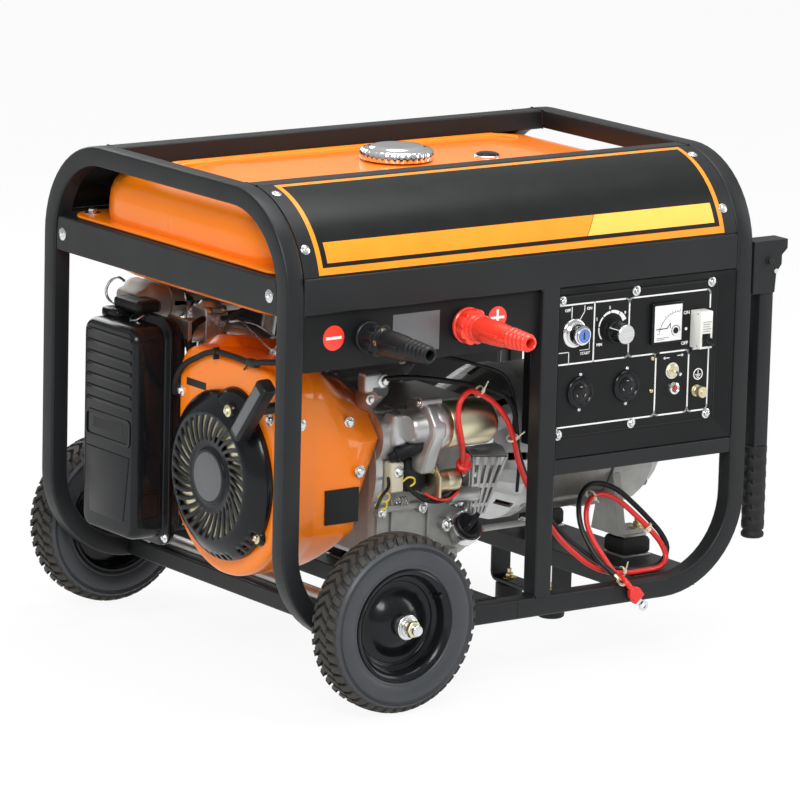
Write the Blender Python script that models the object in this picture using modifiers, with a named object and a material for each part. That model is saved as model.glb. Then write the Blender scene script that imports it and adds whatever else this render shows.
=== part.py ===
"""Open-frame engine driven welder on two wheels, as an assembly of separate parts.

Run it with: blender --background --python part.py

Local frame (child of the datum empty): x from the frame's left face towards the handles, y from the
frame's middle plane (front, with the controls, is -y), z up from the floor. The datum empty shifts
this frame so that the world origin is at the centre of the object's footprint. Metres throughout.
"""

import math

import bmesh
import bpy
from mathutils import Matrix, Vector

# ---------------------------------------------------------------- driving dimensions
GAP = 0.0003  # between faces that touch
FACET = 0.0013  # how far a bend's flat facets lie inside its true arc

FRAME_LENGTH = 0.715
FRAME_WIDTH = 0.550
FRAME_TOP = 0.635
RAIL_BOTTOM = 0.075  # underside of the bottom rails
TUBE = 0.025  # square frame tube
TUBE_WALL = 0.0015
TUBE_CORNER = 0.003
BEND_OUTER = 0.125  # outer radius of every tube bend
TALL_RAIL = 0.045  # height of the upper rails
UPPER_RAIL_TOP = 0.536
TANK_BAR_TOP = 0.534
PANEL_RAIL_TOP = 0.273
PANEL_RAIL_HEIGHT = 0.020
MID_POST_X = 0.383
TOP_RAIL_Y = 0.155  # middle of each top rail
VISOR_SHEET = 0.0015

AXLE_X = 0.134
AXLE_RADIUS = 0.008
AXLE_HALF = 0.374
TYRE_RADIUS = 0.111
TYRE_HALF = 0.028
WHEEL_Y = 0.322
RIM_LIP = 0.070

AXLE_MEMBER_X = 0.120
AXLE_MEMBER_WIDTH = 0.030
ENGINE_MEMBER_X = 0.262
ENGINE_MEMBER_WIDTH = 0.080
ALTERNATOR_MEMBER_X = 0.560
ALTERNATOR_MEMBER_WIDTH = 0.100
FOOT_X = 0.585
FOOT_Y = 0.046
FOOT_RADIUS = 0.018
FOOT_HEIGHT = 0.027
STRAP = 0.005

MOUNT_HEIGHT = 0.030  # rubber mounts under engine and alternator
CRANK_HEIGHT = 0.120  # crank axis above the engine's base
CRANK_Y = -0.055
SHAFT_RADIUS = 0.0125
SHAFT_CLEARANCE = 0.0004

CRANKCASE_X = 0.2263
CRANKCASE_END = 0.388
CRANKCASE_FRONT = 0.085  # from the crank axis
CRANKCASE_TOP = 0.080
CRANK_CHAMBER = 0.058
BEARING_WALL = 0.018
CYLINDER_TILT = 45.0  # degrees from vertical, towards the rear
CYLINDER_START = 0.085  # distance of the cylinder's foot from the crank axis
CYLINDER_X = (0.247, 0.367)
CYLINDER_HEAD = (0.156, 0.196)  # along the cylinder from the crank axis
ROCKER_COVER_END = 0.220
PORT_UP = 0.178  # both ports, along the cylinder

COWL_X = 0.062
COWL_HALF = 0.112
COWL_FOOT = 0.128  # radius of the lower part
COWL_TOP = 0.400
COWL_WALL = 0.002
FLYWHEEL_RADIUS = 0.096
FLYWHEEL_X = (0.108, 0.150)
RECOIL_FACE_X = 0.036
RECOIL_RADIUS = 0.107
RECOIL_WALL = 0.0025
RECOIL_SLOTS = 14
GRIP_LENGTH = 0.096

AIR_BOX_X = 0.020
AIR_BOX_DEPTH = 0.052
AIR_BOX_Y = (0.088, 0.210)
AIR_BOX_Z = (0.153, 0.408)
AIR_BOX_WALL = 0.0025
AIR_FLANGE = 0.010
CARB_Y = 0.112
CARB_Z = 0.398

MUFFLER_X = (0.098, 0.330)
MUFFLER_Y = (0.162, 0.236)
MUFFLER_Z = (0.402, 0.456)

STARTER_Z = 0.310
STARTER_Y = -0.172
STARTER_RADIUS = 0.030
STARTER_X = (0.322, 0.396)
SOLENOID_RADIUS = 0.014
SOLENOID_X = (0.300, 0.336)
SOLENOID_Z = 0.236

STATOR_RADIUS = 0.101
STATOR_BORE = 0.070
ROTOR_AIR_GAP = 0.001
DRIVE_BELL_END = 0.478
STATOR_END = 0.600
END_BELL_END = 0.693
SHELL_WALL = 0.004
ALTERNATOR_FOOT_Y = 0.092  # from the crank axis
ALTERNATOR_FOOT_X = 0.622

TANK_INSET = 0.024  # shell to frame end
TANK_HALF = 0.215
TANK_CORNER = 0.078
TANK_FLANGE_INSET = 0.011
TANK_FLANGE_HALF = 0.236
TANK_FLANGE = 0.004
TANK_BOTTOM = 0.477
TANK_CROWN = 0.615
TANK_WALL = 0.0015
CAP_X = 0.352
CAP_RADIUS = 0.047
NECK_RADIUS = 0.030

PANEL_SETBACK = 0.007
PANEL_SHEET = 0.002
PANEL_BOX_DEPTH = 0.072
WELD_PANEL_LOW = 0.420
PLUG_X = (0.119, 0.268)
PLUG_Z = 0.458
PLUG_LENGTH = 0.136
PLUG_RADIUS = 0.0175

# Places on the control panel: distance from the frame's right end, and height.
LEFT_SOCKET = (0.266, 0.3546)
RIGHT_SOCKET = (0.193, 0.3552)
KEY_PLACE = (0.2775, 0.4307)
KEY_PROUD = 0.019
KNOB_PLACE = (0.2165, 0.428)
KNOB_BUSH = 0.004
TOGGLE_PLACE = (0.120, 0.3675)
TOGGLE_BUSH = 0.004
LAMP_PLACE = (0.118, 0.345)
EARTH_PLACE = (0.0805, 0.338)
BREAKER_LEVER = (0.08325, 0.4075)
BREAKER_PROUD = 0.021
BREAKER_DROOP = 35.0  # degrees below level at rest

HANDLE_REACH = 0.055  # bracket's end past the frame
HANDLE_TUBE = 0.022
HANDLE_PIVOT_Z = 0.497
HANDLE_OFFSET = 0.026  # arm axis past the frame
HANDLE_GRIP = (0.134, 0.254)
GRIP_RADIUS = 0.015
HANDLE_PLATE = 0.0025

LEAD_RADIUS = 0.0035

# ---------------------------------------------------------------- derived places
HALF = FRAME_WIDTH / 2
RAIL_TOP = RAIL_BOTTOM + TUBE
BEND_CENTRE = BEND_OUTER - TUBE / 2  # radius of the tube's centre line
INNER_Y = HALF - TUBE
INNER_X = (TUBE + GAP, FRAME_LENGTH - TUBE - GAP)
BASE_Z = RAIL_TOP + MOUNT_HEIGHT
AXIS_Z = BASE_Z + CRANK_HEIGHT
PANEL_FACE_Y = -HALF + PANEL_SETBACK
PLUG_REACH = HALF - PANEL_SETBACK + PLUG_LENGTH
ARM_X = FRAME_LENGTH + HANDLE_OFFSET
ARM_Y = HALF - TUBE / 2
DATUM = Vector((-(FRAME_LENGTH + HANDLE_REACH) / 2, (PLUG_REACH - AXLE_HALF) / 2, 0))

PARTS = bpy.data.collections.new("engine_driven_welder")
TOOLS = bpy.data.collections.new("cutters")


# ---------------------------------------------------------------- helpers
def clear_scene():
    for obj in list(bpy.data.objects):
        bpy.data.objects.remove(obj, do_unlink=True)
    bpy.context.scene.collection.children.link(PARTS)
    bpy.context.scene.collection.children.link(TOOLS)
    datum = bpy.data.objects.new("datum", None)
    datum.location = DATUM
    PARTS.objects.link(datum)
    return datum


def tool_object(data):
    obj = bpy.data.objects.new("shape", data)
    obj.hide_render = True
    obj.display_type = "WIRE"
    TOOLS.objects.link(obj)
    return obj


def bake(obj):
    """Replaces the object's data with its evaluated mesh, welded and facing out."""
    bpy.context.view_layer.update()
    evaluated = obj.evaluated_get(bpy.context.evaluated_depsgraph_get())
    mesh = bpy.data.meshes.new_from_object(evaluated)
    bm = bmesh.new()
    bm.from_mesh(mesh)
    bmesh.ops.remove_doubles(bm, verts=bm.verts, dist=1e-6)
    bmesh.ops.recalc_face_normals(bm, faces=bm.faces)
    bm.to_mesh(mesh)
    bm.free()
    if obj.type == "MESH":
        obj.modifiers.clear()
        obj.data = mesh
        return obj
    baked = tool_object(mesh)
    baked.matrix_world = obj.matrix_world.copy()
    bpy.data.objects.remove(obj)
    return baked


def apply_matrix(obj, matrix):
    obj.data.transform(matrix)
    return obj


def boolean(target, tools, operation):
    for tool in tools:
        modifier = target.modifiers.new(operation.lower(), "BOOLEAN")
        modifier.operation = operation
        modifier.object = tool
    bake(target)
    for tool in tools:
        bpy.data.objects.remove(tool)
    return target


def join(target, *others):
    return boolean(target, others, "UNION")


def cut(target, *tools):
    return boolean(target, tools, "DIFFERENCE")


def box(x, y, z, bevel=0.0):
    """A box between the two limits on each axis, its edges rounded by bevel."""
    lows, highs = zip(x, y, z)
    size = Vector(highs) - Vector(lows)
    centre = (Vector(highs) + Vector(lows)) / 2
    bm = bmesh.new()
    bmesh.ops.create_cube(bm, size=1.0, matrix=Matrix.Translation(centre) @ Matrix.Diagonal((*size, 1)))
    mesh = bpy.data.meshes.new("box")
    bm.to_mesh(mesh)
    bm.free()
    obj = tool_object(mesh)
    if bevel:
        modifier = obj.modifiers.new("edges", "BEVEL")
        modifier.width = bevel
        modifier.segments = 2
        bake(obj)
    return obj


def rod(start, end, radius, end_radius=None, sides=20):
    """A cylinder or cone between two points."""
    start, end = Vector(start), Vector(end)
    turn = (end - start).to_track_quat("Z", "Y").to_matrix().to_4x4()
    bm = bmesh.new()
    bmesh.ops.create_cone(
        bm,
        cap_ends=True,
        segments=sides,
        radius1=radius,
        radius2=radius if end_radius is None else end_radius,
        depth=(end - start).length,
        matrix=Matrix.Translation((start + end) / 2) @ turn,
    )
    mesh = bpy.data.meshes.new("rod")
    bm.to_mesh(mesh)
    bm.free()
    return tool_object(mesh)


def turned(profile, start, direction, steps=32):
    """A profile of (radius, distance along direction) turned about the line through start."""
    closed = profile[0][0] > 0 and profile[-1][0] > 0
    bm = bmesh.new()
    verts = [bm.verts.new((radius, 0, along)) for radius, along in profile]
    for first, second in zip(verts, verts[1:]):
        bm.edges.new((first, second))
    if closed:
        bm.edges.new((verts[-1], verts[0]))
    mesh = bpy.data.meshes.new("turned")
    bm.to_mesh(mesh)
    bm.free()
    obj = tool_object(mesh)
    screw = obj.modifiers.new("turn", "SCREW")
    screw.axis = "Z"
    screw.steps = screw.render_steps = steps
    screw.use_merge_vertices = True
    screw.merge_threshold = 1e-6
    bake(obj)
    turn = Vector(direction).to_track_quat("Z", "Y").to_matrix().to_4x4()
    return apply_matrix(obj, Matrix.Translation(Vector(start)) @ turn)


def prism(outline, low, high, axis):
    """A flat outline extruded along an axis: for X it is (y, z), for Y it is (x, z), for Z (x, y)."""
    curve = bpy.data.curves.new("outline", "CURVE")
    curve.dimensions = "2D"
    curve.fill_mode = "BOTH"
    curve.extrude = (high - low) / 2
    spline = curve.splines.new("POLY")
    spline.points.add(len(outline) - 1)
    for point, (u, v) in zip(spline.points, outline):
        point.co = (u, v, 0, 1)
    spline.use_cyclic_u = True
    obj = bake(tool_object(curve))
    frames = {
        "X": Matrix(((0, 0, 1, 0), (1, 0, 0, 0), (0, 1, 0, 0), (0, 0, 0, 1))),
        "Y": Matrix(((1, 0, 0, 0), (0, 0, -1, 0), (0, 1, 0, 0), (0, 0, 0, 1))),
        "Z": Matrix.Identity(4),
    }
    middle = (low + high) / 2
    shift = {"X": (middle, 0, 0), "Y": (0, middle, 0), "Z": (0, 0, middle)}[axis]
    return apply_matrix(obj, Matrix.Translation(shift) @ frames[axis])


def arc(centre, radius, start, end, count):
    """Points on an arc, angles in degrees from the first axis towards the second."""
    points = []
    for step in range(count + 1):
        angle = math.radians(start + (end - start) * step / count)
        points.append((centre[0] + radius * math.cos(angle), centre[1] + radius * math.sin(angle)))
    return points


def rounded(x, y, radius, count=4):
    """Outline of a rectangle with round corners."""
    low_x, high_x = x[0] + radius, x[1] - radius
    low_y, high_y = y[0] + radius, y[1] - radius
    return (
        arc((high_x, high_y), radius, 0, 90, count)
        + arc((low_x, high_y), radius, 90, 180, count)
        + arc((low_x, low_y), radius, 180, 270, count)
        + arc((high_x, low_y), radius, 270, 360, count)
    )


def loft(sections):
    """Skins closed outlines of equal length, each a list of 3-D points, and caps both ends."""
    bm = bmesh.new()
    rings = [[bm.verts.new(point) for point in section] for section in sections]
    for ring, following in zip(rings, rings[1:]):
        for index in range(len(ring)):
            after = (index + 1) % len(ring)
            bm.faces.new((ring[index], ring[after], following[after], following[index]))
    bm.faces.new(list(reversed(rings[0])))
    bm.faces.new(rings[-1])
    mesh = bpy.data.meshes.new("loft")
    bm.to_mesh(mesh)
    bm.free()
    return bake(tool_object(mesh))


def tube_curve(points, radius):
    """A round wire with filled ends along a list of points."""
    curve = bpy.data.curves.new("wire", "CURVE")
    curve.dimensions = "3D"
    curve.bevel_depth = radius
    curve.bevel_resolution = 2
    curve.use_fill_caps = True
    spline = curve.splines.new("POLY")
    spline.points.add(len(points) - 1)
    for point, place in zip(spline.points, points):
        point.co = (*place, 1)
    return tool_object(curve)


def smooth_points(route, spacing):
    """Points about spacing apart on a smooth curve through the route's points (Catmull-Rom)."""
    places = [Vector(place) for place in route]
    places = [2 * places[0] - places[1], *places, 2 * places[-1] - places[-2]]
    points = []
    for before, start, end, after in zip(places, places[1:], places[2:], places[3:]):
        count = max(1, round((end - start).length / spacing))
        for step in range(count):
            t = step / count
            points.append(
                0.5
                * (
                    2 * start
                    + (end - before) * t
                    + (2 * before - 5 * start + 4 * end - after) * t**2
                    + (3 * start - before - 3 * end + after) * t**3
                )
            )
    points.append(places[-2])
    return points


def publish(obj, name, colour, roughness, metallic=0.0, pivot=(0, 0, 0), smooth=True):
    """Names a finished shape, gives it its material and origin, and hangs it on the datum."""
    obj.name = obj.data.name = name
    obj.hide_render = False
    obj.display_type = "TEXTURED"
    TOOLS.objects.unlink(obj)
    PARTS.objects.link(obj)
    pivot = Vector(pivot)
    obj.data.transform(Matrix.Translation(-pivot))
    obj.parent = bpy.data.objects["datum"]
    obj.location = pivot
    if smooth:
        obj.data.shade_smooth()
        obj.data.set_sharp_from_angle(angle=math.radians(35))
    material = bpy.data.materials.new(name)
    material.use_nodes = True
    shader = material.node_tree.nodes["Principled BSDF"]
    shader.inputs["Base Color"].default_value = (*colour, 1)
    shader.inputs["Roughness"].default_value = roughness
    shader.inputs["Metallic"].default_value = metallic
    obj.data.materials.clear()
    obj.data.materials.append(material)
    return obj


BLACK_PAINT = ((0.018, 0.020, 0.021), 0.42)
BLACK_PLASTIC = ((0.012, 0.013, 0.015), 0.35)
ORANGE = ((1.0, 0.20, 0.010), 0.25)
CAST = ((0.42, 0.42, 0.40), 0.45, 0.7)
ZINC = ((0.80, 0.68, 0.36), 0.30, 0.9)
RUBBER = ((0.015, 0.015, 0.015), 0.7)
STEEL = ((0.55, 0.55, 0.55), 0.35, 0.9)


# ---------------------------------------------------------------- frame
def loop_path():
    """Centre line of the left tube loop, from the middle of the rear rail round to the front rail."""
    rail_z = RAIL_BOTTOM + TUBE / 2
    side = ARM_Y
    rear = [(FRAME_LENGTH / 2 - GAP / 2, side, rail_z)]
    for x, z in arc((BEND_OUTER, RAIL_BOTTOM + BEND_OUTER), BEND_CENTRE, 270, 180, 5):
        rear.append((x, side, z))
    for y, z in arc((HALF - BEND_OUTER, FRAME_TOP - BEND_OUTER), BEND_CENTRE, 0, 90, 5):
        rear.append((TUBE / 2, y, z))
    return rear + [(x, -y, z) for x, y, z in reversed(rear)]


def bent_tube(points):
    """A hollow square tube with rounded corners, open at both ends, along the points."""
    half = TUBE / 2
    section = bpy.data.curves.new("section", "CURVE")
    section.dimensions = "2D"
    outline = rounded((-half, half), (-half, half), TUBE_CORNER, 1)
    spline = section.splines.new("POLY")
    spline.points.add(len(outline) - 1)
    for point, (u, v) in zip(spline.points, outline):
        point.co = (u, v, 0, 1)
    spline.use_cyclic_u = True
    guide = tool_object(section)
    path = tube_curve(points, 0)
    path.data.bevel_mode = "OBJECT"
    path.data.bevel_object = guide
    path.data.use_fill_caps = False
    tube = bake(path)
    bpy.data.objects.remove(guide)
    wall = tube.modifiers.new("wall", "SOLIDIFY")
    wall.thickness = TUBE_WALL
    wall.offset = -1
    return bake(tube)


def frame_loops():
    left = loop_path()
    publish(bent_tube(left), "left_frame_loop", *BLACK_PAINT)
    right = [(FRAME_LENGTH - x, y, z) for x, y, z in left]
    publish(bent_tube(right), "right_frame_loop", *BLACK_PAINT)


def upper_rails():
    rail_z = (UPPER_RAIL_TOP - TALL_RAIL, UPPER_RAIL_TOP)
    front_y = (-HALF, -INNER_Y)
    front = box(INNER_X, front_y, rail_z)
    post = box((MID_POST_X, MID_POST_X + TUBE), front_y, (RAIL_TOP + GAP, rail_z[0] + 0.01))
    panel_rail = box((MID_POST_X + 0.01, INNER_X[1]), front_y, (PANEL_RAIL_TOP - PANEL_RAIL_HEIGHT, PANEL_RAIL_TOP))
    publish(join(front, post, panel_rail), "front_panel_frame", *BLACK_PAINT, smooth=False)
    publish(box(INNER_X, (INNER_Y, HALF), rail_z, 0.002), "rear_upper_rail", *BLACK_PAINT)
    for name, side in (("front", -1), ("rear", 1)):
        y = sorted((side * (TOP_RAIL_Y - TUBE / 2), side * (TOP_RAIL_Y + TUBE / 2)))
        rail = box(INNER_X, y, (FRAME_TOP - TUBE - 0.001, FRAME_TOP - 0.001), 0.002)
        publish(rail, name + "_top_rail", *BLACK_PAINT)


def tank_bars():
    """Bars across the ends under the tank's flange, cut to the start of the hoops' bends."""
    low, high = TANK_BAR_TOP - TALL_RAIL, TANK_BAR_TOP
    bend_y, bend_z = HALF - BEND_OUTER, FRAME_TOP - BEND_OUTER
    rise = math.asin((high - bend_z) / (BEND_OUTER - TUBE))
    wide = INNER_Y - GAP
    narrow = bend_y + (BEND_OUTER - TUBE) * math.cos(rise) - FACET
    outline = [(-wide, low), (wide, low), (wide, bend_z), (narrow, high), (-narrow, high), (-wide, bend_z)]
    inset = 0.0023
    left = prism(outline, inset, TUBE - inset, "X")
    publish(left, "left_tank_bar", *BLACK_PAINT)
    right = prism(outline, FRAME_LENGTH - TUBE + inset, FRAME_LENGTH - inset, "X")
    publish(right, "right_tank_bar", *BLACK_PAINT)


def cross_members():
    y = (-INNER_Y + GAP, INNER_Y - GAP)
    z = (RAIL_BOTTOM + 0.002, RAIL_TOP)
    members = (
        ("axle_cross_member", AXLE_MEMBER_X, AXLE_MEMBER_WIDTH),
        ("engine_cross_member", ENGINE_MEMBER_X, ENGINE_MEMBER_WIDTH),
        ("alternator_cross_member", ALTERNATOR_MEMBER_X, ALTERNATOR_MEMBER_WIDTH),
    )
    for name, x, width in members:
        member = box((x, x + width), y, z)
        if name.startswith("alternator"):
            member = join(member, support_strap())
        publish(member, name, *BLACK_PAINT, smooth=False)


def support_strap():
    """Flat bar bent to a U under the alternator cross-member, carrying the two feet."""
    half = FOOT_Y + FOOT_RADIUS + STRAP
    bottom = FOOT_HEIGHT
    top = RAIL_BOTTOM + 0.004
    bend = 0.012
    inner = bend - STRAP
    outline = [(half, top), *arc((half - bend, bottom + bend), bend, 0, -90, 3)]
    outline += [*arc((-half + bend, bottom + bend), bend, -90, -180, 3), (-half, top)]
    outline += [(-half + STRAP, top), *arc((-half + bend, bottom + bend), inner, -180, -90, 3)]
    outline += [*arc((half - bend, bottom + bend), inner, -90, 0, 3), (half - STRAP, top)]
    return prism(outline, FOOT_X - 0.015, FOOT_X + 0.015, "X")


def feet():
    for name, side in (("front", -1), ("rear", 1)):
        profile = [(0, FOOT_HEIGHT - GAP), (FOOT_RADIUS, FOOT_HEIGHT - GAP), (FOOT_RADIUS, 0.002)]
        profile += [(FOOT_RADIUS - 0.002, 0), (0, 0)]
        foot = turned(profile, (FOOT_X, side * FOOT_Y, 0), (0, 0, 1), 24)
        publish(foot, name + "_support_foot", *RUBBER)


def visors():
    """Curved sheets that follow the hoops' bends, from each upper rail to each top rail."""
    outer = BEND_OUTER - 0.0005
    centre_y = HALF - BEND_OUTER
    centre_z = FRAME_TOP - BEND_OUTER
    low = math.degrees(math.asin((UPPER_RAIL_TOP + GAP - centre_z) / (outer - VISOR_SHEET)))
    high = math.degrees(math.acos((TOP_RAIL_Y + TUBE / 2 + GAP - centre_y) / outer))
    for name, side in (("front", -1), ("rear", 1)):
        outline = arc((centre_y, centre_z), outer, low, high, 10)
        outline += arc((centre_y, centre_z), outer - VISOR_SHEET, high, low, 10)
        outline = [(side * y, z) for y, z in outline]
        publish(prism(outline, *INNER_X, "X"), name + "_visor", *BLACK_PAINT)


# ---------------------------------------------------------------- wheels and handles
def axle():
    """Fixed axle with saddle pads, inner collars, and the spacer, washer and nut that hold each wheel."""
    radius = AXLE_RADIUS
    steps = [(WHEEL_Y - 0.030, 0.013), (WHEEL_Y - 0.022 - GAP, radius), (WHEEL_Y + 0.018 + GAP, 0.0125)]
    steps += [(WHEEL_Y + 0.029, 0.0155), (WHEEL_Y + 0.034, 0.011), (WHEEL_Y + 0.045, radius), (AXLE_HALF, 0)]
    half = [(radius, 0)]
    for along, following in steps:
        half += [(half[-1][0], along), (following, along)]
    profile = [(r, -along) for r, along in reversed(half[1:])] + half[1:]
    shape = turned(profile, (AXLE_X, 0, TYRE_RADIUS), (0, 1, 0), 18)
    pads = []
    for side in (-1, 1):
        pad_y = sorted((side * (INNER_Y - 0.045), side * (INNER_Y - 0.015)))
        pads.append(box((AXLE_X - 0.011, AXLE_X + 0.011), pad_y, (RAIL_TOP + GAP, TYRE_RADIUS)))
    publish(join(shape, *pads), "axle", *STEEL)


def wheels():
    clearance = 0.0005
    rim = [(AXLE_RADIUS + clearance, 0.018), (0.016, 0.018), (0.030, 0.013), (0.044, 0.002), (0.058, 0.002)]
    rim += [(0.060, 0.017), (RIM_LIP - 0.003, 0.0245), (RIM_LIP, 0.022), (0.0625, 0.014), (0.0625, -0.014)]
    rim += [(RIM_LIP, -0.022), (RIM_LIP - 0.003, -0.0245), (0.060, -0.016), (0.058, -0.001), (0.042, -0.001)]
    rim += [(0.014, 0.013), (0.014, -0.022), (AXLE_RADIUS + clearance, -0.022)]
    half = TYRE_HALF
    crown = TYRE_RADIUS
    sidewall = [(crown, 0.012), (crown - 0.004, 0.022), (crown - 0.014, half)]
    sidewall += [(RIM_LIP + 0.004, half - 0.004), (RIM_LIP + 0.001, 0.0228), (0.0632, 0.0139)]
    tyre = sidewall + [(radius, -along) for radius, along in reversed(sidewall)]
    for name, side in (("front", -1), ("rear", 1)):
        centre = (AXLE_X, side * WHEEL_Y, TYRE_RADIUS)
        for piece, profile, finish in (("_rim", rim, BLACK_PAINT), ("_tyre", tyre, RUBBER)):
            shape = turned(profile, centre, (0, side, 0), 28)
            publish(shape, name + piece, *finish, pivot=centre)


def handles():
    arm_half = HANDLE_TUBE / 2
    inner = arm_half + 0.0005
    outer = inner + HANDLE_PLATE
    x = (FRAME_LENGTH + GAP, FRAME_LENGTH + HANDLE_REACH)
    top, bottom = HANDLE_PIVOT_Z + 0.026, HANDLE_PIVOT_Z - 0.042
    plate_x = x[0] + HANDLE_PLATE
    for name, side in (("front", -1), ("rear", 1)):
        middle = side * ARM_Y
        pivot = (ARM_X, middle, HANDLE_PIVOT_Z)
        outline = [(x[0], bottom), (ARM_X + 0.010, bottom), (ARM_X + 0.012, HANDLE_PIVOT_Z - 0.016)]
        outline += [(ARM_X + 0.020, HANDLE_PIVOT_Z - 0.006), (ARM_X + 0.020, HANDLE_PIVOT_Z + 0.006)]
        outline += [(x[1], HANDLE_PIVOT_Z + 0.014), (x[1], top), (x[0], top)]
        block = prism(outline, middle - outer, middle + outer, "Y")
        opening = box((plate_x, x[1] + 0.01), (middle - inner, middle + inner), (bottom - 0.01, top - HANDLE_PLATE))
        bolt = rod((ARM_X, middle - outer, HANDLE_PIVOT_Z), (ARM_X, middle + outer, HANDLE_PIVOT_Z), 0.005)
        publish(join(cut(block, opening), bolt), name + "_handle_bracket", *BLACK_PAINT, smooth=False)
        arm = box(
            (ARM_X - arm_half, ARM_X + arm_half),
            (middle - arm_half, middle + arm_half),
            (HANDLE_GRIP[0] + 0.01, HANDLE_PIVOT_Z + 0.010),
        )
        profile = [(0, HANDLE_GRIP[1]), (GRIP_RADIUS, HANDLE_GRIP[1]), (GRIP_RADIUS, HANDLE_GRIP[0] + 0.003)]
        profile += [(GRIP_RADIUS - 0.003, HANDLE_GRIP[0]), (0, HANDLE_GRIP[0])]
        arm = join(arm, turned(profile, (ARM_X, middle, 0), (0, 0, 1), 24))
        hole = rod((ARM_X, middle - 0.02, HANDLE_PIVOT_Z), (ARM_X, middle + 0.02, HANDLE_PIVOT_Z), 0.0054)
        publish(cut(arm, hole), name + "_handle", *BLACK_PAINT, pivot=pivot)


# ---------------------------------------------------------------- fuel tank
def tank_section(inset, z, wall=0.0):
    x = (TANK_INSET + inset + wall, FRAME_LENGTH - TANK_INSET - inset - wall)
    y = (-TANK_HALF + inset + wall, TANK_HALF - inset - wall)
    radius = max(TANK_CORNER - inset - wall, 0.01)
    return [(u, v, z) for u, v in rounded(x, y, radius)]


def tank_levels(wall=0.0):
    """Insets and heights of the tank's outlines, from the bottom to the crown."""
    low, high = TANK_BOTTOM + wall, TANK_CROWN - wall
    flange = TANK_BAR_TOP + GAP
    return [
        tank_section(0.034, low, wall),
        tank_section(0.016, low + 0.004, wall),
        tank_section(0.005, low + 0.016, wall),
        tank_section(0.002, flange, wall),
        tank_section(0.000, flange + 0.014, wall),
        tank_section(0.002, 0.580, wall),
        tank_section(0.009, high - 0.026, wall),
        tank_section(0.026, high - 0.014, wall),
        tank_section(0.070, high - 0.0075, wall),
        tank_section(0.130, high, wall),
    ]


def fuel_tank():
    flange_x = (TANK_FLANGE_INSET, FRAME_LENGTH - TANK_FLANGE_INSET)
    flange_y = (-TANK_FLANGE_HALF, TANK_FLANGE_HALF)
    flange_low = TANK_BAR_TOP + GAP
    shell = loft(tank_levels())
    flange = prism(rounded(flange_x, flange_y, 0.03), flange_low, flange_low + TANK_FLANGE, "Z")
    neck = rod((CAP_X, 0, TANK_CROWN - 0.005), (CAP_X, 0, TANK_CROWN + 0.004), NECK_RADIUS + 0.003)
    cavity = loft(tank_levels(TANK_WALL))
    bore = rod((CAP_X, 0, TANK_CROWN - 0.01), (CAP_X, 0, TANK_CROWN + 0.01), NECK_RADIUS)
    publish(cut(join(shell, flange, neck), cavity, bore), "fuel_tank", *ORANGE)
    base = TANK_CROWN + 0.0043
    profile = [(0, base + 0.0155), (0.030, base + 0.0155), (0.036, base + 0.012), (CAP_RADIUS - 0.004, base + 0.012)]
    profile += [(CAP_RADIUS, base + 0.008), (CAP_RADIUS, base - 0.002), (CAP_RADIUS - 0.003, base - 0.002)]
    profile += [(CAP_RADIUS - 0.004, base), (0.028, base), (0.028, base - 0.010), (0, base - 0.010)]
    cap = turned(profile, (CAP_X, 0, 0), (0, 0, 1))
    publish(cap, "fuel_cap", (0.62, 0.62, 0.60), 0.25, 0.9, pivot=(CAP_X, 0, base))


# ---------------------------------------------------------------- engine
def cylinder_frame():
    """Maps x, sideways, up-the-cylinder coordinates to the local frame."""
    turn = Matrix.Rotation(math.radians(-CYLINDER_TILT), 4, "X")
    return Matrix.Translation((0, CRANK_Y, AXIS_Z)) @ turn


def crankcase():
    front, rear = CRANK_Y - CRANKCASE_FRONT, CRANK_Y + CRANKCASE_FRONT
    body = box((CRANKCASE_X, CRANKCASE_END), (front, rear), (BASE_Z + 0.006, AXIS_Z + CRANKCASE_TOP), 0.008)
    foot_x = (ENGINE_MEMBER_X - 0.010, ENGINE_MEMBER_X + ENGINE_MEMBER_WIDTH + 0.010)
    base = box(foot_x, (front - 0.012, rear + 0.012), (BASE_Z, BASE_Z + 0.012))
    neck_y, neck_z = front + 0.010, BASE_Z + 0.022
    mouth = Vector((0.366, neck_y - 0.0216, neck_z + 0.0162))
    outward = Vector((0, -0.8, 0.6))
    neck = rod(mouth - outward * 0.040, mouth, 0.019)
    chamber = rod(
        (CRANKCASE_X + BEARING_WALL, CRANK_Y, AXIS_Z), (CRANKCASE_END - BEARING_WALL, CRANK_Y, AXIS_Z), CRANK_CHAMBER
    )
    bore = rod((CRANKCASE_X - 0.01, CRANK_Y, AXIS_Z), (CRANKCASE_END + 0.01, CRANK_Y, AXIS_Z), SHAFT_RADIUS + 0.0006)
    slope = box((CRANKCASE_X - 0.01, CRANKCASE_END + 0.01), (-0.15, 0.15), (CYLINDER_START - GAP, 0.25))
    apply_matrix(slope, cylinder_frame())
    socket = rod(mouth - outward * 0.050, mouth + outward * 0.01, 0.0135)
    case = cut(join(body, base, neck), chamber, bore, slope, socket)
    publish(case, "crankcase", *CAST)
    cap = turned(
        [(0, 0.012), (0.015, 0.012), (0.017, 0.009), (0.017, GAP), (0.0125, GAP), (0.0125, -0.018), (0, -0.018)],
        mouth,
        outward,
        24,
    )
    tab = box((-0.003, 0.003), (-0.015, 0.015), (0.008, 0.022), 0.001)
    turn = outward.to_track_quat("Z", "Y").to_matrix().to_4x4()
    apply_matrix(tab, Matrix.Translation(mouth) @ turn)
    publish(join(cap, tab), "oil_filler_cap", *BLACK_PLASTIC, pivot=mouth)


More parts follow.
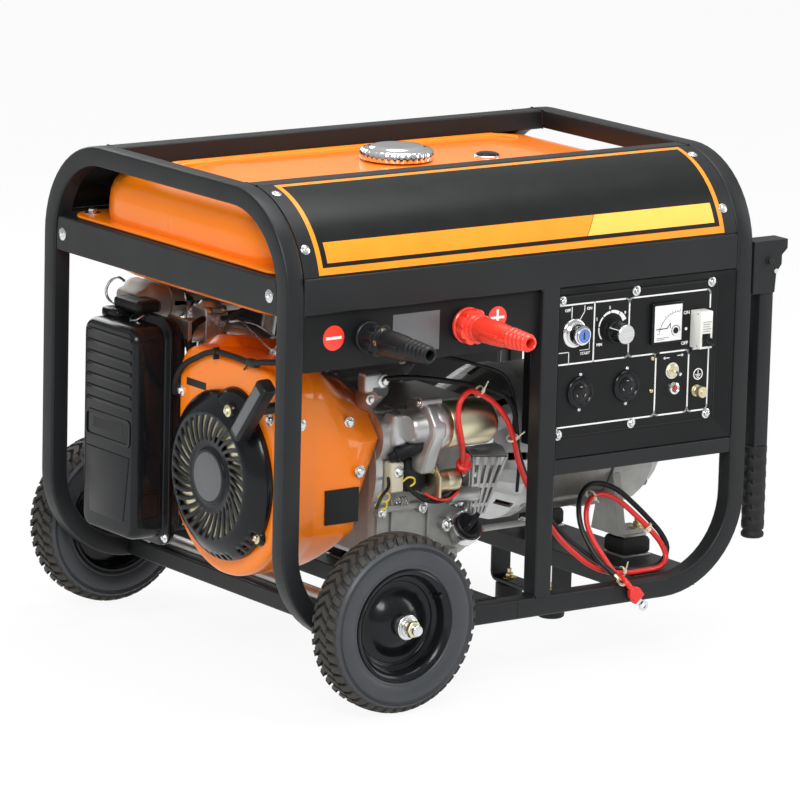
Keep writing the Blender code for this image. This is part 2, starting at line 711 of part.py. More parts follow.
def cylinder_head():
    """Finned barrel, head and rocker cover in one casting, leaning to the rear."""
    x = CYLINDER_X
    foot, top = CYLINDER_HEAD
    core = box((x[0] + 0.012, x[1] - 0.012), (-0.045, 0.045), (CYLINDER_START, foot + 0.004))
    fins = []
    for level in range(5):
        z = CYLINDER_START + 0.006 + level * 0.014
        fins.append(box(x, (-0.056, 0.056), (z, z + 0.004)))
    head = box(x, (-0.058, 0.058), (foot, top))
    cover = box((x[0] + 0.010, x[1] - 0.010), (-0.046, 0.046), (top - 0.004, ROCKER_COVER_END), 0.008)
    bore = rod((sum(x) / 2, 0, CYLINDER_START - 0.01), (sum(x) / 2, 0, foot - 0.006), 0.034)
    shape = cut(join(core, *fins, head, cover), bore)
    publish(apply_matrix(shape, cylinder_frame()), "cylinder_head", *CAST, smooth=False)


def cowl_outline(shrink=0.0):
    """Outline in (y, z): round at the foot, square-shouldered at the top."""
    foot = COWL_FOOT - shrink
    half = COWL_HALF - shrink
    top = COWL_TOP - shrink
    shoulder = 0.040
    lean = math.degrees(math.acos(half / foot))
    front = arc((CRANK_Y, AXIS_Z), foot, 180 + lean, 360 - lean, 14)
    rear_top = [(CRANK_Y + half, top - 0.045), (CRANK_Y + half - 0.045, top - 0.008)]
    front_top = arc((CRANK_Y - half + shoulder, top - shoulder), shoulder, 90, 180, 4)
    return front + rear_top + front_top


def fan_cowl():
    x = (COWL_X, CRANKCASE_X - GAP)
    shell = prism(cowl_outline(), *x, "X")
    inside = prism(cowl_outline(COWL_WALL), x[0] + COWL_WALL, x[1] - COWL_WALL, "X")
    fan_hole = rod((x[0] - 0.01, CRANK_Y, AXIS_Z), (x[0] + 0.01, CRANK_Y, AXIS_Z), RECOIL_RADIUS - 0.012, sides=32)
    back_hole = rod((x[1] - 0.01, CRANK_Y, AXIS_Z), (x[1] + 0.01, CRANK_Y, AXIS_Z), 0.070, sides=32)
    slant = prism([(x[1] - 0.075, 0.10), (x[1] + 0.02, 0.10), (x[1] + 0.02, AXIS_Z - 0.02)], -0.25, 0.12, "Y")
    slant_inside = prism(
        [(x[1] - 0.081, 0.10), (x[1] + 0.02, 0.10), (x[1] + 0.02, AXIS_Z - 0.006)], -0.25, 0.12, "Y"
    )
    inside = cut(inside, slant_inside)
    shell = cut(shell, slant)
    publish(cut(shell, inside, fan_hole, back_hole), "fan_cowl", *ORANGE)


def recoil_cover():
    """Domed starter cover with a ring of slanted air slots."""
    rim_x = COWL_X - GAP
    depth = rim_x - RECOIL_FACE_X
    outer = [(RECOIL_RADIUS, 0), (RECOIL_RADIUS, 0.005), (0.099, 0.014), (0.090, depth - 0.005), (0.082, depth - 0.001)]
    outer += [(0.036, depth - 0.004), (0.032, depth)]
    inner = [(0.030, depth - RECOIL_WALL), (0.036, depth - 0.004 - RECOIL_WALL), (0.081, depth - 0.001 - RECOIL_WALL)]
    inner += [(0.0875, depth - 0.007), (0.0955, 0.012), (0.1035, 0.0035), (0.1035, 0)]
    face = [(0, depth - RECOIL_WALL)]
    dome = turned([(0, depth), *reversed(outer), *reversed(inner), *face], (rim_x, CRANK_Y, AXIS_Z), (-1, 0, 0), 36)
    slots = []
    for index in range(RECOIL_SLOTS):
        slot = box((-0.05, 0.02), (-0.0022, 0.0022), (0.045, 0.079))
        swirl = Matrix.Translation((0, 0, 0.062)) @ Matrix.Rotation(math.radians(22), 4, "X")
        swirl @= Matrix.Translation((0, 0, -0.062))
        turn = Matrix.Rotation(math.tau * index / RECOIL_SLOTS, 4, "X")
        place = Matrix.Translation((rim_x - 0.005, CRANK_Y, AXIS_Z))
        slots.append(apply_matrix(slot, place @ turn @ swirl))
    publish(cut(dome, *slots), "recoil_cover", *BLACK_PLASTIC)


def recoil_grip():
    """T-shaped pull grip parked on the cover's front shoulder."""
    middle = Vector((RECOIL_FACE_X - 0.007, CRANK_Y - 0.108, AXIS_Z + 0.105))
    along = Vector((0, -0.625, 0.78)).normalized()
    turn = Matrix((Vector((1, 0, 0)), along.cross(Vector((1, 0, 0))), along)).transposed().to_4x4()
    bar = box((-0.011, 0.011), (-0.012, 0.012), (-GRIP_LENGTH / 2, GRIP_LENGTH / 2), 0.005)
    apply_matrix(bar, Matrix.Translation(middle) @ turn)
    seat = Vector((COWL_X - GAP * 2, middle.y, middle.z))
    stem = rod(middle, seat, 0.007, sides=16)
    publish(join(bar, stem), "recoil_grip", *BLACK_PLASTIC, pivot=middle)


def crank_train():
    start_x = RECOIL_FACE_X + 0.020
    shaft = rod((start_x, CRANK_Y, AXIS_Z), (END_BELL_END - 0.006, CRANK_Y, AXIS_Z), SHAFT_RADIUS, sides=32)
    middle = (CRANKCASE_X + CRANKCASE_END) / 2
    webs = []
    for side in (-1, 1):
        x = sorted((middle + side * 0.016, middle + side * 0.030))
        webs.append(box(x, (CRANK_Y - 0.024, CRANK_Y + 0.024), (AXIS_Z - 0.040, AXIS_Z + 0.040)))
    pin = rod((middle - 0.020, CRANK_Y, AXIS_Z + 0.024), (middle + 0.020, CRANK_Y, AXIS_Z + 0.024), 0.012)
    pivot = (start_x, CRANK_Y, AXIS_Z)
    publish(join(shaft, *webs, pin), "crankshaft", *STEEL, pivot=pivot)
    bore = SHAFT_RADIUS + SHAFT_CLEARANCE
    low, high = FLYWHEEL_X
    depth = high - low
    profile = [(bore, 0), (0.030, 0), (0.032, 0.020), (0.060, 0.026), (0.064, 0.004), (FLYWHEEL_RADIUS, 0.004)]
    profile += [(FLYWHEEL_RADIUS, 0.012), (0.080, 0.030), (0.080, depth), (bore, depth)]
    flywheel = turned(profile, (low, CRANK_Y, AXIS_Z), (1, 0, 0), 28)
    publish(flywheel, "flywheel_fan", *ZINC, pivot=pivot)
    radius = STATOR_BORE - ROTOR_AIR_GAP
    rotor_x = (DRIVE_BELL_END + 0.004, STATOR_END - 0.004)
    depth = rotor_x[1] - rotor_x[0]
    profile = [(bore, -0.020), (0.050, -0.020), (0.062, -0.004), (radius, 0), (radius, depth), (0.040, depth)]
    profile += [(0.030, depth + 0.015), (0.030, depth + 0.040), (bore, depth + 0.040)]
    rotor = turned(profile, (rotor_x[0], CRANK_Y, AXIS_Z), (1, 0, 0), 28)
    publish(rotor, "alternator_rotor", (0.35, 0.18, 0.08), 0.5, 0.5, pivot=pivot)


def air_cleaner():
    depth_x = (AIR_BOX_X, AIR_BOX_X + AIR_BOX_DEPTH)
    wide_y = (AIR_BOX_Y[0] - AIR_FLANGE, AIR_BOX_Y[1] + AIR_FLANGE)
    tall_z = (AIR_BOX_Z[0] - AIR_FLANGE, AIR_BOX_Z[1] + AIR_FLANGE)

    def at(x, y, z, radius):
        return [(x, u, v) for u, v in rounded(y, z, radius)]

    def shrunk(limits, amount):
        return (limits[0] + amount, limits[1] - amount)

    shell = loft(
        [
            at(depth_x[0], shrunk(AIR_BOX_Y, 0.008), shrunk(AIR_BOX_Z, 0.008), 0.012),
            at(depth_x[0] + 0.006, AIR_BOX_Y, AIR_BOX_Z, 0.018),
            at(depth_x[1] - 0.004, AIR_BOX_Y, AIR_BOX_Z, 0.018),
            at(depth_x[1] - 0.004, wide_y, tall_z, 0.022),
            at(depth_x[1] + 0.004, wide_y, tall_z, 0.022),
        ]
    )
    inside_y, inside_z = shrunk(AIR_BOX_Y, AIR_BOX_WALL), shrunk(AIR_BOX_Z, AIR_BOX_WALL)
    hollow = loft(
        [
            at(depth_x[0] + AIR_BOX_WALL, shrunk(inside_y, 0.008), shrunk(inside_z, 0.008), 0.010),
            at(depth_x[0] + 0.008, inside_y, inside_z, 0.015),
            at(depth_x[1] + 0.010, inside_y, inside_z, 0.015),
        ]
    )
    publish(cut(shell, hollow), "air_cleaner_cover", *BLACK_PLASTIC)
    back = depth_x[1] + 0.004 + GAP
    case = loft(
        [
            at(back, wide_y, tall_z, 0.022),
            at(back + 0.006, wide_y, tall_z, 0.022),
            at(back + 0.006, AIR_BOX_Y, AIR_BOX_Z, 0.018),
            at(back + 0.022, shrunk(AIR_BOX_Y, 0.006), shrunk(AIR_BOX_Z, 0.006), 0.018),
        ]
    )
    port = rod((back - 0.01, CARB_Y, CARB_Z), (back + 0.03, CARB_Y, CARB_Z), 0.011)
    snorkel = box((back - 0.020, back + 0.018), (0.140, 0.200), (tall_z[1] - 0.001, tall_z[1] + 0.016), 0.006)
    snorkel = cut(snorkel, box((back - 0.03, back - GAP), (0.1, 0.25), (tall_z[0], tall_z[1] + GAP)))
    publish(cut(join(case, snorkel), port), "air_cleaner_case", *BLACK_PLASTIC)
    return back + 0.022


def carburettor(start_x):
    """Throttle body and float bowl on a pipe from the air cleaner's port to the head's inlet port."""
    port = cylinder_frame() @ Vector((CYLINDER_X[0] - GAP, 0.018, PORT_UP))
    start = Vector((start_x + GAP, CARB_Y, CARB_Z))
    ahead = Vector((0.012, 0, 0))
    bend = [start, start + ahead, Vector((0.180, CARB_Y, CARB_Z)), port - ahead, port]
    pipe = bake(tube_curve(smooth_points(bend, 0.016), 0.014))
    throat = bake(tube_curve(smooth_points([start - ahead, *bend, port + ahead], 0.016), 0.010))
    body = box((0.130, 0.165), (CARB_Y - 0.018, CARB_Y + 0.018), (CARB_Z - 0.016, CARB_Z + 0.028), 0.003)
    bowl = rod((0.147, CARB_Y, CARB_Z - 0.036), (0.147, CARB_Y, CARB_Z - 0.014), 0.016)
    flange = box((start.x, start.x + 0.008), (CARB_Y - 0.024, CARB_Y + 0.024), (CARB_Z - 0.018, CARB_Z + 0.018))
    shape = cut(join(pipe, body, bowl, flange), throat)
    publish(shape, "carburettor", *CAST)
    pivot = Vector((0.149, CARB_Y - 0.018 - GAP, CARB_Z + 0.008))
    boss = rod(pivot, pivot + Vector((0, -0.006, 0)), 0.006, sides=16)
    blade = box(
        (pivot.x - 0.003, pivot.x + 0.003), (pivot.y - 0.006, pivot.y - 0.003), (pivot.z - 0.034, pivot.z), 0.001
    )
    publish(join(boss, blade), "choke_lever", *STEEL, pivot=pivot)


def muffler():
    low_x, high_x = MUFFLER_X

    def oval(x, inset):
        outline = rounded(
            (MUFFLER_Y[0] + inset, MUFFLER_Y[1] - inset), (MUFFLER_Z[0] + inset, MUFFLER_Z[1] - inset), 0.022 - inset
        )
        return [(x, y, z) for y, z in outline]

    can = loft([oval(low_x, 0.006), oval(low_x + 0.006, 0), oval(high_x - 0.006, 0), oval(high_x, 0.006)])
    # The exhaust pipe leaves the head's lower face square to it, then turns up into the can.
    side = cylinder_frame() @ Vector((CYLINDER_X[1] - 0.022, 0.058 + GAP, PORT_UP))
    out = (cylinder_frame().to_3x3() @ Vector((0, 1, 0))).normalized()
    knee = side + out * 0.030
    rise = Vector((high_x - 0.030, sum(MUFFLER_Y) / 2, knee.z + 0.010))
    route = smooth_points([side, side + out * 0.012, knee, rise, Vector((rise.x, rise.y, MUFFLER_Z[0] + 0.01))], 0.012)
    pipe = bake(tube_curve(route, 0.011))
    publish(join(can, pipe), "muffler", (0.20, 0.19, 0.17), 0.55, 0.6)


def starter():
    front = CRANK_Y - CRANKCASE_FRONT - GAP
    low, high = STARTER_X
    can = turned(
        [(0, high), (STARTER_RADIUS - 0.006, high), (STARTER_RADIUS, high - 0.005), (STARTER_RADIUS, low), (0, low)],
        (0, STARTER_Y, STARTER_Z),
        (1, 0, 0),
        32,
    )
    gearcase = turned(
        [(0, low + 0.004), (0.028, low + 0.004), (0.028, low - 0.030), (0.018, low - 0.040), (0, low - 0.040)],
        (0, STARTER_Y, STARTER_Z),
        (1, 0, 0),
        24,
    )
    lug = box((low - 0.028, low - 0.002), (STARTER_Y, front), (STARTER_Z - 0.026, STARTER_Z - 0.002))
    publish(join(can, gearcase, lug), "starter_motor", *ZINC)
    y = STARTER_Y + 0.006
    low, high = SOLENOID_X
    body = rod((low, y, SOLENOID_Z), (high, y, SOLENOID_Z), SOLENOID_RADIUS)
    bracket = box((low, low + 0.003), (y - 0.016, front), (SOLENOID_Z - 0.018, SOLENOID_Z + 0.018))
    foot = box((low, low + 0.022), (front - 0.003, front), (SOLENOID_Z - 0.018, SOLENOID_Z + 0.018))
    stud = rod((high - 0.002, y, SOLENOID_Z + 0.005), (high + 0.010, y, SOLENOID_Z + 0.005), 0.003, sides=12)
    publish(join(body, bracket, foot, stud), "starter_solenoid", *ZINC)


def rubber_mounts():
    front, rear = CRANK_Y - CRANKCASE_FRONT + 0.008, CRANK_Y + CRANKCASE_FRONT - 0.008
    engine_x = ENGINE_MEMBER_X + ENGINE_MEMBER_WIDTH / 2
    foot_y = ALTERNATOR_FOOT_Y
    for name, x, y, size in (
        ("front_engine_mount", engine_x, front, 0.018),
        ("rear_engine_mount", engine_x, rear, 0.018),
        ("front_alternator_mount", ALTERNATOR_FOOT_X + 0.006, CRANK_Y - foot_y, 0.022),
        ("rear_alternator_mount", ALTERNATOR_FOOT_X + 0.006, CRANK_Y + foot_y, 0.022),
    ):
        z = (RAIL_TOP + GAP, BASE_Z - GAP)
        publish(box((x - size, x + size), (y - size, y + size), z, 0.004), name, *RUBBER)


# ---------------------------------------------------------------- alternator
def alternator():
    """Hollow drive housing, stator and end bell on the crank axis, each open at both ends."""
    start = CRANKCASE_END + GAP
    radius = STATOR_RADIUS
    depth = DRIVE_BELL_END - start
    profile = [(0.074, 0), (0.074, 0.008), (radius - 0.004, depth - 0.030), (radius, depth - 0.020), (radius, depth)]
    profile += [(radius - SHELL_WALL, depth), (radius - SHELL_WALL, depth - 0.020), (0.0705, 0.0085)]
    profile += [(0.030, 0.0085), (0.030, 0)]
    housing = turned(profile, (start, CRANK_Y, AXIS_Z), (1, 0, 0), 32)
    slots = []
    for index in range(8):
        slot = box((0.045, 0.068), (-0.005, 0.005), (0.07, 0.12))
        turn = Matrix.Rotation(math.tau * index / 8, 4, "X")
        slots.append(apply_matrix(slot, Matrix.Translation((start, CRANK_Y, AXIS_Z)) @ turn))
    publish(cut(housing, *slots), "alternator_drive_housing", *CAST)

    start = DRIVE_BELL_END + GAP
    depth = STATOR_END - start
    profile = [(radius - 0.003, 0), (radius - 0.003, depth), (STATOR_BORE, depth), (STATOR_BORE, 0)]
    publish(turned(profile, (start, CRANK_Y, AXIS_Z), (1, 0, 0), 40), "alternator_stator", *BLACK_PAINT)

    start = STATOR_END + GAP
    depth = END_BELL_END - start
    bore = SHAFT_RADIUS + 0.0006
    profile = [(radius, 0), (radius, depth - 0.030), (radius - 0.012, depth - 0.010), (radius - 0.030, depth)]
    profile += [(bore, depth), (bore, depth - 0.016), (0.024, depth - 0.016), (0.024, depth - SHELL_WALL)]
    profile += [(radius - 0.032, depth - SHELL_WALL), (radius - 0.015, depth - 0.013)]
    profile += [(radius - SHELL_WALL, depth - 0.031), (radius - SHELL_WALL, 0)]
    bell = turned(profile, (start, CRANK_Y, AXIS_Z), (1, 0, 0), 32)
    legs = []
    for side in (-1, 1):
        outer = CRANK_Y + side * (ALTERNATOR_FOOT_Y + 0.016)
        inner = CRANK_Y + side * (radius * 0.62)
        outline = [(outer, BASE_Z), (outer, BASE_Z + 0.008), (CRANK_Y + side * (radius - 0.008), AXIS_Z - 0.040)]
        outline += [(CRANK_Y + side * (radius - 0.040), AXIS_Z - 0.074), (inner - side * 0.012, BASE_Z)]
        legs.append(prism(outline, start, start + 0.012, "X"))
        pad_y = sorted((outer, CRANK_Y + side * (ALTERNATOR_FOOT_Y - 0.018)))
        legs.append(box((start, start + 0.046), pad_y, (BASE_Z, BASE_Z + 0.006)))
    inside = rod((start - 0.01, CRANK_Y, AXIS_Z), (start + 0.1, CRANK_Y, AXIS_Z), radius - SHELL_WALL / 2, sides=32)
    legs = cut(join(*legs), inside)
    bell = join(bell, legs)
    louvres = []
    for level in range(3):
        for side in (-1, 1):
            z = AXIS_Z - 0.030 + level * 0.022
            y = sorted((CRANK_Y + side * 0.060, CRANK_Y + side * 0.120))
            louvres.append(box((start + 0.020, start + 0.052), y, (z, z + 0.006)))
    publish(cut(bell, *louvres), "alternator_end_bell", *CAST)


# ---------------------------------------------------------------- panels
def control_panel():
    """Front plate with the electrics box behind it, and the fixed instruments standing on it."""
    x = (MID_POST_X + TUBE + GAP, INNER_X[1])
    z = (PANEL_RAIL_TOP + GAP, UPPER_RAIL_TOP - TALL_RAIL - GAP)
    face = PANEL_FACE_Y
    plate = box(x, (face, face + PANEL_SHEET), z)
    tray_x = (x[0] + 0.008, x[1] - 0.008)
    tray_z = (z[0] + 0.006, TANK_BOTTOM - 0.006)
    deep = face + PANEL_SHEET + PANEL_BOX_DEPTH
    tray = box(tray_x, (face + 0.001, deep), tray_z)
    hollow = box(
        (tray_x[0] + PANEL_SHEET, tray_x[1] - PANEL_SHEET),
        (face + PANEL_SHEET, deep + 0.01),
        (tray_z[0] + PANEL_SHEET, tray_z[1] - PANEL_SHEET),
    )
    fittings = []
    right = FRAME_LENGTH
    for (offset, height), radius, proud in (
        (LEFT_SOCKET, 0.020, 0.004),
        (RIGHT_SOCKET, 0.020, 0.004),
        (KEY_PLACE, 0.019, 0.004),
        (KEY_PLACE, 0.013, KEY_PROUD),
        (KNOB_PLACE, 0.007, KNOB_BUSH),
        (TOGGLE_PLACE, 0.0085, TOGGLE_BUSH),
        (LAMP_PLACE, 0.0073, 0.006),
        (EARTH_PLACE, 0.0075, 0.018),
    ):
        centre = (right - offset, face + 0.001, height)
        fittings.append(rod(centre, (centre[0], face - proud, height), radius))
    meter_x = (right - 0.1575, right - 0.1085)
    fittings.append(box(meter_x, (face - 0.005, face + 0.001), (0.4045, 0.457), 0.001))
    breaker_x = (right - 0.093, right - 0.0735)
    fittings.append(box(breaker_x, (face - BREAKER_PROUD, face + 0.001), (0.3955, 0.4435), 0.001))
    panel = join(cut(join(plate, tray), hollow), *fittings)
    publish(panel, "control_panel", *BLACK_PAINT, smooth=False)
    controls(right, face)


def controls(right, face):
    """The parts of the panel's switches that a hand moves."""
    pivot = Vector((right - KEY_PLACE[0], face - KEY_PROUD - GAP, KEY_PLACE[1]))
    head = rod(pivot, pivot + Vector((0, -0.003, 0)), 0.0105, sides=24)
    blade = box(
        (pivot.x - 0.0015, pivot.x + 0.0015), (pivot.y - 0.007, pivot.y), (pivot.z - 0.008, pivot.z + 0.008)
    )
    publish(join(head, blade), "key_switch", (0.10, 0.20, 0.55), 0.35, pivot=pivot)

    pivot = Vector((right - KNOB_PLACE[0], face - KNOB_BUSH - GAP, KNOB_PLACE[1]))
    profile = [(0, 0.025), (0.011, 0.025), (0.0125, 0.0235), (0.0130, 0.004), (0.014, 0), (0, 0)]
    publish(turned(profile, pivot, (0, -1, 0), 32), "current_knob", *BLACK_PLASTIC, pivot=pivot)

    barrel = 0.0022
    pivot = Vector((right - BREAKER_LEVER[0], face - BREAKER_PROUD - barrel - GAP, BREAKER_LEVER[1]))
    hinge = rod(pivot - Vector((0.006, 0, 0)), pivot + Vector((0.006, 0, 0)), barrel, sides=16)
    lever = box((-0.005, 0.005), (-0.010, 0), (-0.0018, 0.0018), 0.0006)
    droop = Matrix.Rotation(math.radians(BREAKER_DROOP), 4, "X")
    apply_matrix(lever, Matrix.Translation(pivot) @ droop)
    publish(join(hinge, lever), "breaker_lever", *BLACK_PLASTIC, pivot=pivot)

    pivot = Vector((right - TOGGLE_PLACE[0], face - TOGGLE_BUSH - 3 * GAP, TOGGLE_PLACE[1]))
    lever = rod(pivot, pivot + Vector((0.001, -0.012, -0.002)), 0.0016, 0.0026, 16)
    publish(lever, "toggle_lever", *STEEL, pivot=pivot)


def weld_panel():
    x = (INNER_X[0], MID_POST_X - GAP)
    z = (WELD_PANEL_LOW, UPPER_RAIL_TOP - TALL_RAIL - GAP)
    face = PANEL_FACE_Y
    plate = box(x, (face, face + PANEL_SHEET), z)
    lip = box(x, (face, face + 0.020), (z[0], z[0] + PANEL_SHEET))
    bosses = [rod((px, face - 0.003, PLUG_Z), (px, face + 0.024, PLUG_Z), 0.016, sides=32) for px in PLUG_X]
    bores = [rod((px, face - 0.02, PLUG_Z), (px, face + 0.020, PLUG_Z), 0.0072) for px in PLUG_X]
    panel = cut(join(plate, lip, *bosses), *bores)
    publish(panel, "weld_panel", *BLACK_PAINT, smooth=False)
    start = 0.003 + GAP
    profile = [(0, PLUG_LENGTH), (0.008, PLUG_LENGTH), (0.011, 0.082), (0.0145, 0.076), (0.0155, 0.030)]
    profile += [(PLUG_RADIUS, 0.026), (PLUG_RADIUS, 0.010), (0.0225, 0.010), (0.0225, start)]
    profile += [(0.0066, start), (0.0066, -0.018), (0, -0.018)]
    for name, px, colour in (
        ("negative_plug", PLUG_X[0], BLACK_PLASTIC[0]),
        ("positive_plug", PLUG_X[1], (0.75, 0.03, 0.02)),
    ):
        pivot = (px, face, PLUG_Z)
        publish(turned(profile, pivot, (0, -1, 0), 24), name, colour, 0.35, pivot=pivot)


# ---------------------------------------------------------------- battery leads
# Route points in millimetres in the local frame, chosen by hand along each lead.
RED_ROUTE = (
    (336, -180, 262), (316, -205, 291), (304, -211, 328), (308, -211, 348), (322, -210, 358),
    (340, -209, 352), (362, -209, 338), (381, -210, 315), (396, -206, 286), (408, -200, 258),
    (421, -199, 231), (435, -201, 203), (452, -206, 176), (466, -214, 154), (480, -222, 138),
    (497, -232, 122), (518, -239, 111), (548, -243, 105), (584, -244, 104.5), (608, -241, 105),
    (622, -236, 114), (619, -229, 132), (605, -220, 152), (587, -210, 172), (568, -203, 189),
    (548, -199, 199), (528, -201, 199), (514, -207, 187), (509, -215, 167), (512, -226, 147),
    (518, -238, 130), (524, -250, 114), (526, -262, 107.3), (525, -271, 106.8), (525.2, -278, 104.2),
    (526.8, -281.5, 99.95), (530.7, -281.5, 95.35),
)
BLACK_ROUTE = (
    (234, -150, 371), (250, -168, 375), (270, -184, 375), (293, -190, 371), (317, -190, 366),
    (341, -190, 360), (364, -194, 353), (387, -199, 342), (403, -197, 320), (410, -188, 290),
    (420, -187, 258), (432, -189, 228), (446, -194, 200), (460, -202, 176), (474, -210, 158),
    (490, -220, 142), (507, -229, 127), (530, -231, 113), (560, -233, 105.5), (592, -234, 105),
    (620, -229, 108), (632, -225, 124), (627, -218, 142), (612, -209, 162), (594, -200, 182),
    (574, -193, 200), (552, -189, 210), (530, -190, 211), (512, -196, 200), (503, -205, 180),
    (502, -216, 158), (505, -233, 137), (511, -246, 122), (516, -262, 112),
)


def battery_leads():
    for name, route, colour in (
        ("red_battery_lead", RED_ROUTE, (0.75, 0.02, 0.02)),
        ("black_battery_lead", BLACK_ROUTE, BLACK_PLASTIC[0]),
    ):
        places = [Vector(place) / 1000 for place in route]
        wire = bake(tube_curve(smooth_points(places, 0.018), LEAD_RADIUS))
        publish(wire, name, colour, 0.4)
    boot = box((-0.009, 0.009), (-0.004, 0.004), (-0.020, 0), 0.002)
    lug = rod((0, -0.001, -0.032), (0, 0.001, -0.032), 0.007, sides=20)
    neck = box((-0.003, 0.003), (-0.001, 0.001), (-0.030, -0.015))
    hole = rod((0, -0.01, -0.032), (0, 0.01, -0.032), 0.0035, sides=16)
    shape = cut(join(boot, lug, neck), hole)
    end = Vector((0.5310, -0.2815, 0.0950))
    turn = Matrix.Rotation(math.radians(-40), 4, "Y")
    publish(apply_matrix(shape, Matrix.Translation(end) @ turn), "red_lead_boot", (0.75, 0.02, 0.02), 0.4)


def build():
    clear_scene()
    frame_loops()
    upper_rails()
    tank_bars()
    cross_members()
    feet()
    visors()
    axle()
    wheels()
    handles()
    fuel_tank()
    crankcase()
    cylinder_head()
    fan_cowl()
    recoil_cover()
    recoil_grip()
    crank_train()
    carburettor(air_cleaner())
    muffler()
    starter()
    rubber_mounts()
    alternator()
    control_panel()
    weld_panel()
    battery_leads()


build()
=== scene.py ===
"""Looks of the engine driven welder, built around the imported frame.

Lengths are metres in the part's local frame: x from the frame's left outer face,
y from the machine's middle plane (front is negative), z from the floor.
"""
import math
import random

import bmesh
import bpy
from mathutils import Matrix, Vector


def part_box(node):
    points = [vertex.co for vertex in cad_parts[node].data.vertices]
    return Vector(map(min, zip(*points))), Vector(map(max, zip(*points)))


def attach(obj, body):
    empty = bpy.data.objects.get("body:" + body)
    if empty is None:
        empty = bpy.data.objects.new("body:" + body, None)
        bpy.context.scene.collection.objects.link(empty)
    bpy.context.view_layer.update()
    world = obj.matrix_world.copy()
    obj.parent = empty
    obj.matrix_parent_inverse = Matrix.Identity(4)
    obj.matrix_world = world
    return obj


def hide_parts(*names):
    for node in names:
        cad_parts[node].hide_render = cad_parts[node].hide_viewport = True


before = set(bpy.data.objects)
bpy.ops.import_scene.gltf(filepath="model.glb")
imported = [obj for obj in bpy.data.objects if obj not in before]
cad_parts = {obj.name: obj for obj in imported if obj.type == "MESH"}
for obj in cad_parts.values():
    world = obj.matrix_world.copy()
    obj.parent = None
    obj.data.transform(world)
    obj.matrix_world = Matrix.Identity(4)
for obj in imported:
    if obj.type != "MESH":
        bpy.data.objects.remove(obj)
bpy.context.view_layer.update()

random.seed(7)

# ---------------------------------------------------------------- sizes
LENGTH = 0.715
HALF = 0.275
TOP = 0.635
TUBE = 0.025
TUBE_CORNER = 0.0032
BEND = 0.125
RAIL_LOW = 0.075
RAIL_HIGH = 0.100
INNER_Y = HALF - TUBE
CRANK_Y = -0.055
CRANK_Z = 0.250
FACE = -0.268  # front of both panels
AXLE_X = 0.134
AXLE_Z = 0.111
WHEEL_Y = 0.322
ARM_Y = HALF - TUBE / 2

_low, _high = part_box("left_frame_loop")
ORIGIN = Vector((_low.x, (_low.y + _high.y) / 2, 0))


def local_box(node):
    """The lowest and highest corner of a CAD node in the local frame."""
    low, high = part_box(node)
    return low - ORIGIN, high - ORIGIN


# ---------------------------------------------------------------- camera
def add_camera():
    """The camera at the solved viewing angle: azimuth, elevation, roll and distance."""
    azimuth, elevation, roll = (math.radians(a) for a in (-35.81, 12.01, 1.46))
    distance, aside, raised = 7.02718, 0.00731, 0.00353
    back = Vector(
        (math.sin(azimuth) * math.cos(elevation), -math.cos(azimuth) * math.cos(elevation), math.sin(elevation))
    )
    right = Vector((0, 0, 1)).cross(back).normalized()
    up = back.cross(right)
    rolled = math.cos(roll) * right + math.sin(roll) * up
    rolled_up = -math.sin(roll) * right + math.cos(roll) * up
    target = ORIGIN + Vector((0.358, 0, 0.300))
    place = target + back * distance + rolled * aside + rolled_up * raised
    data = bpy.data.cameras.new("camera")
    data.sensor_width = 36.0
    data.lens = 247.49
    data.clip_end = 60.0
    camera = bpy.data.objects.new("camera", data)
    camera.matrix_world = Matrix.Translation(place) @ Matrix((rolled, rolled_up, back)).transposed().to_4x4()
    bpy.context.scene.collection.objects.link(camera)
    bpy.context.scene.camera = camera


add_camera()


# ---------------------------------------------------------------- materials
FINISH = {}


def node(tree, kind, **values):
    made = tree.nodes.new(kind)
    for key, value in values.items():
        if key.startswith("_"):
            setattr(made, key[1:], value)
        else:
            made.inputs[key.replace("_", " ")].default_value = value
    return made


def noise(tree, vector, scale, detail=3.0, rough=0.55):
    made = node(tree, "ShaderNodeTexNoise", Scale=scale, Detail=detail, Roughness=rough)
    tree.links.new(vector, made.inputs["Vector"])
    return made.outputs["Fac"]


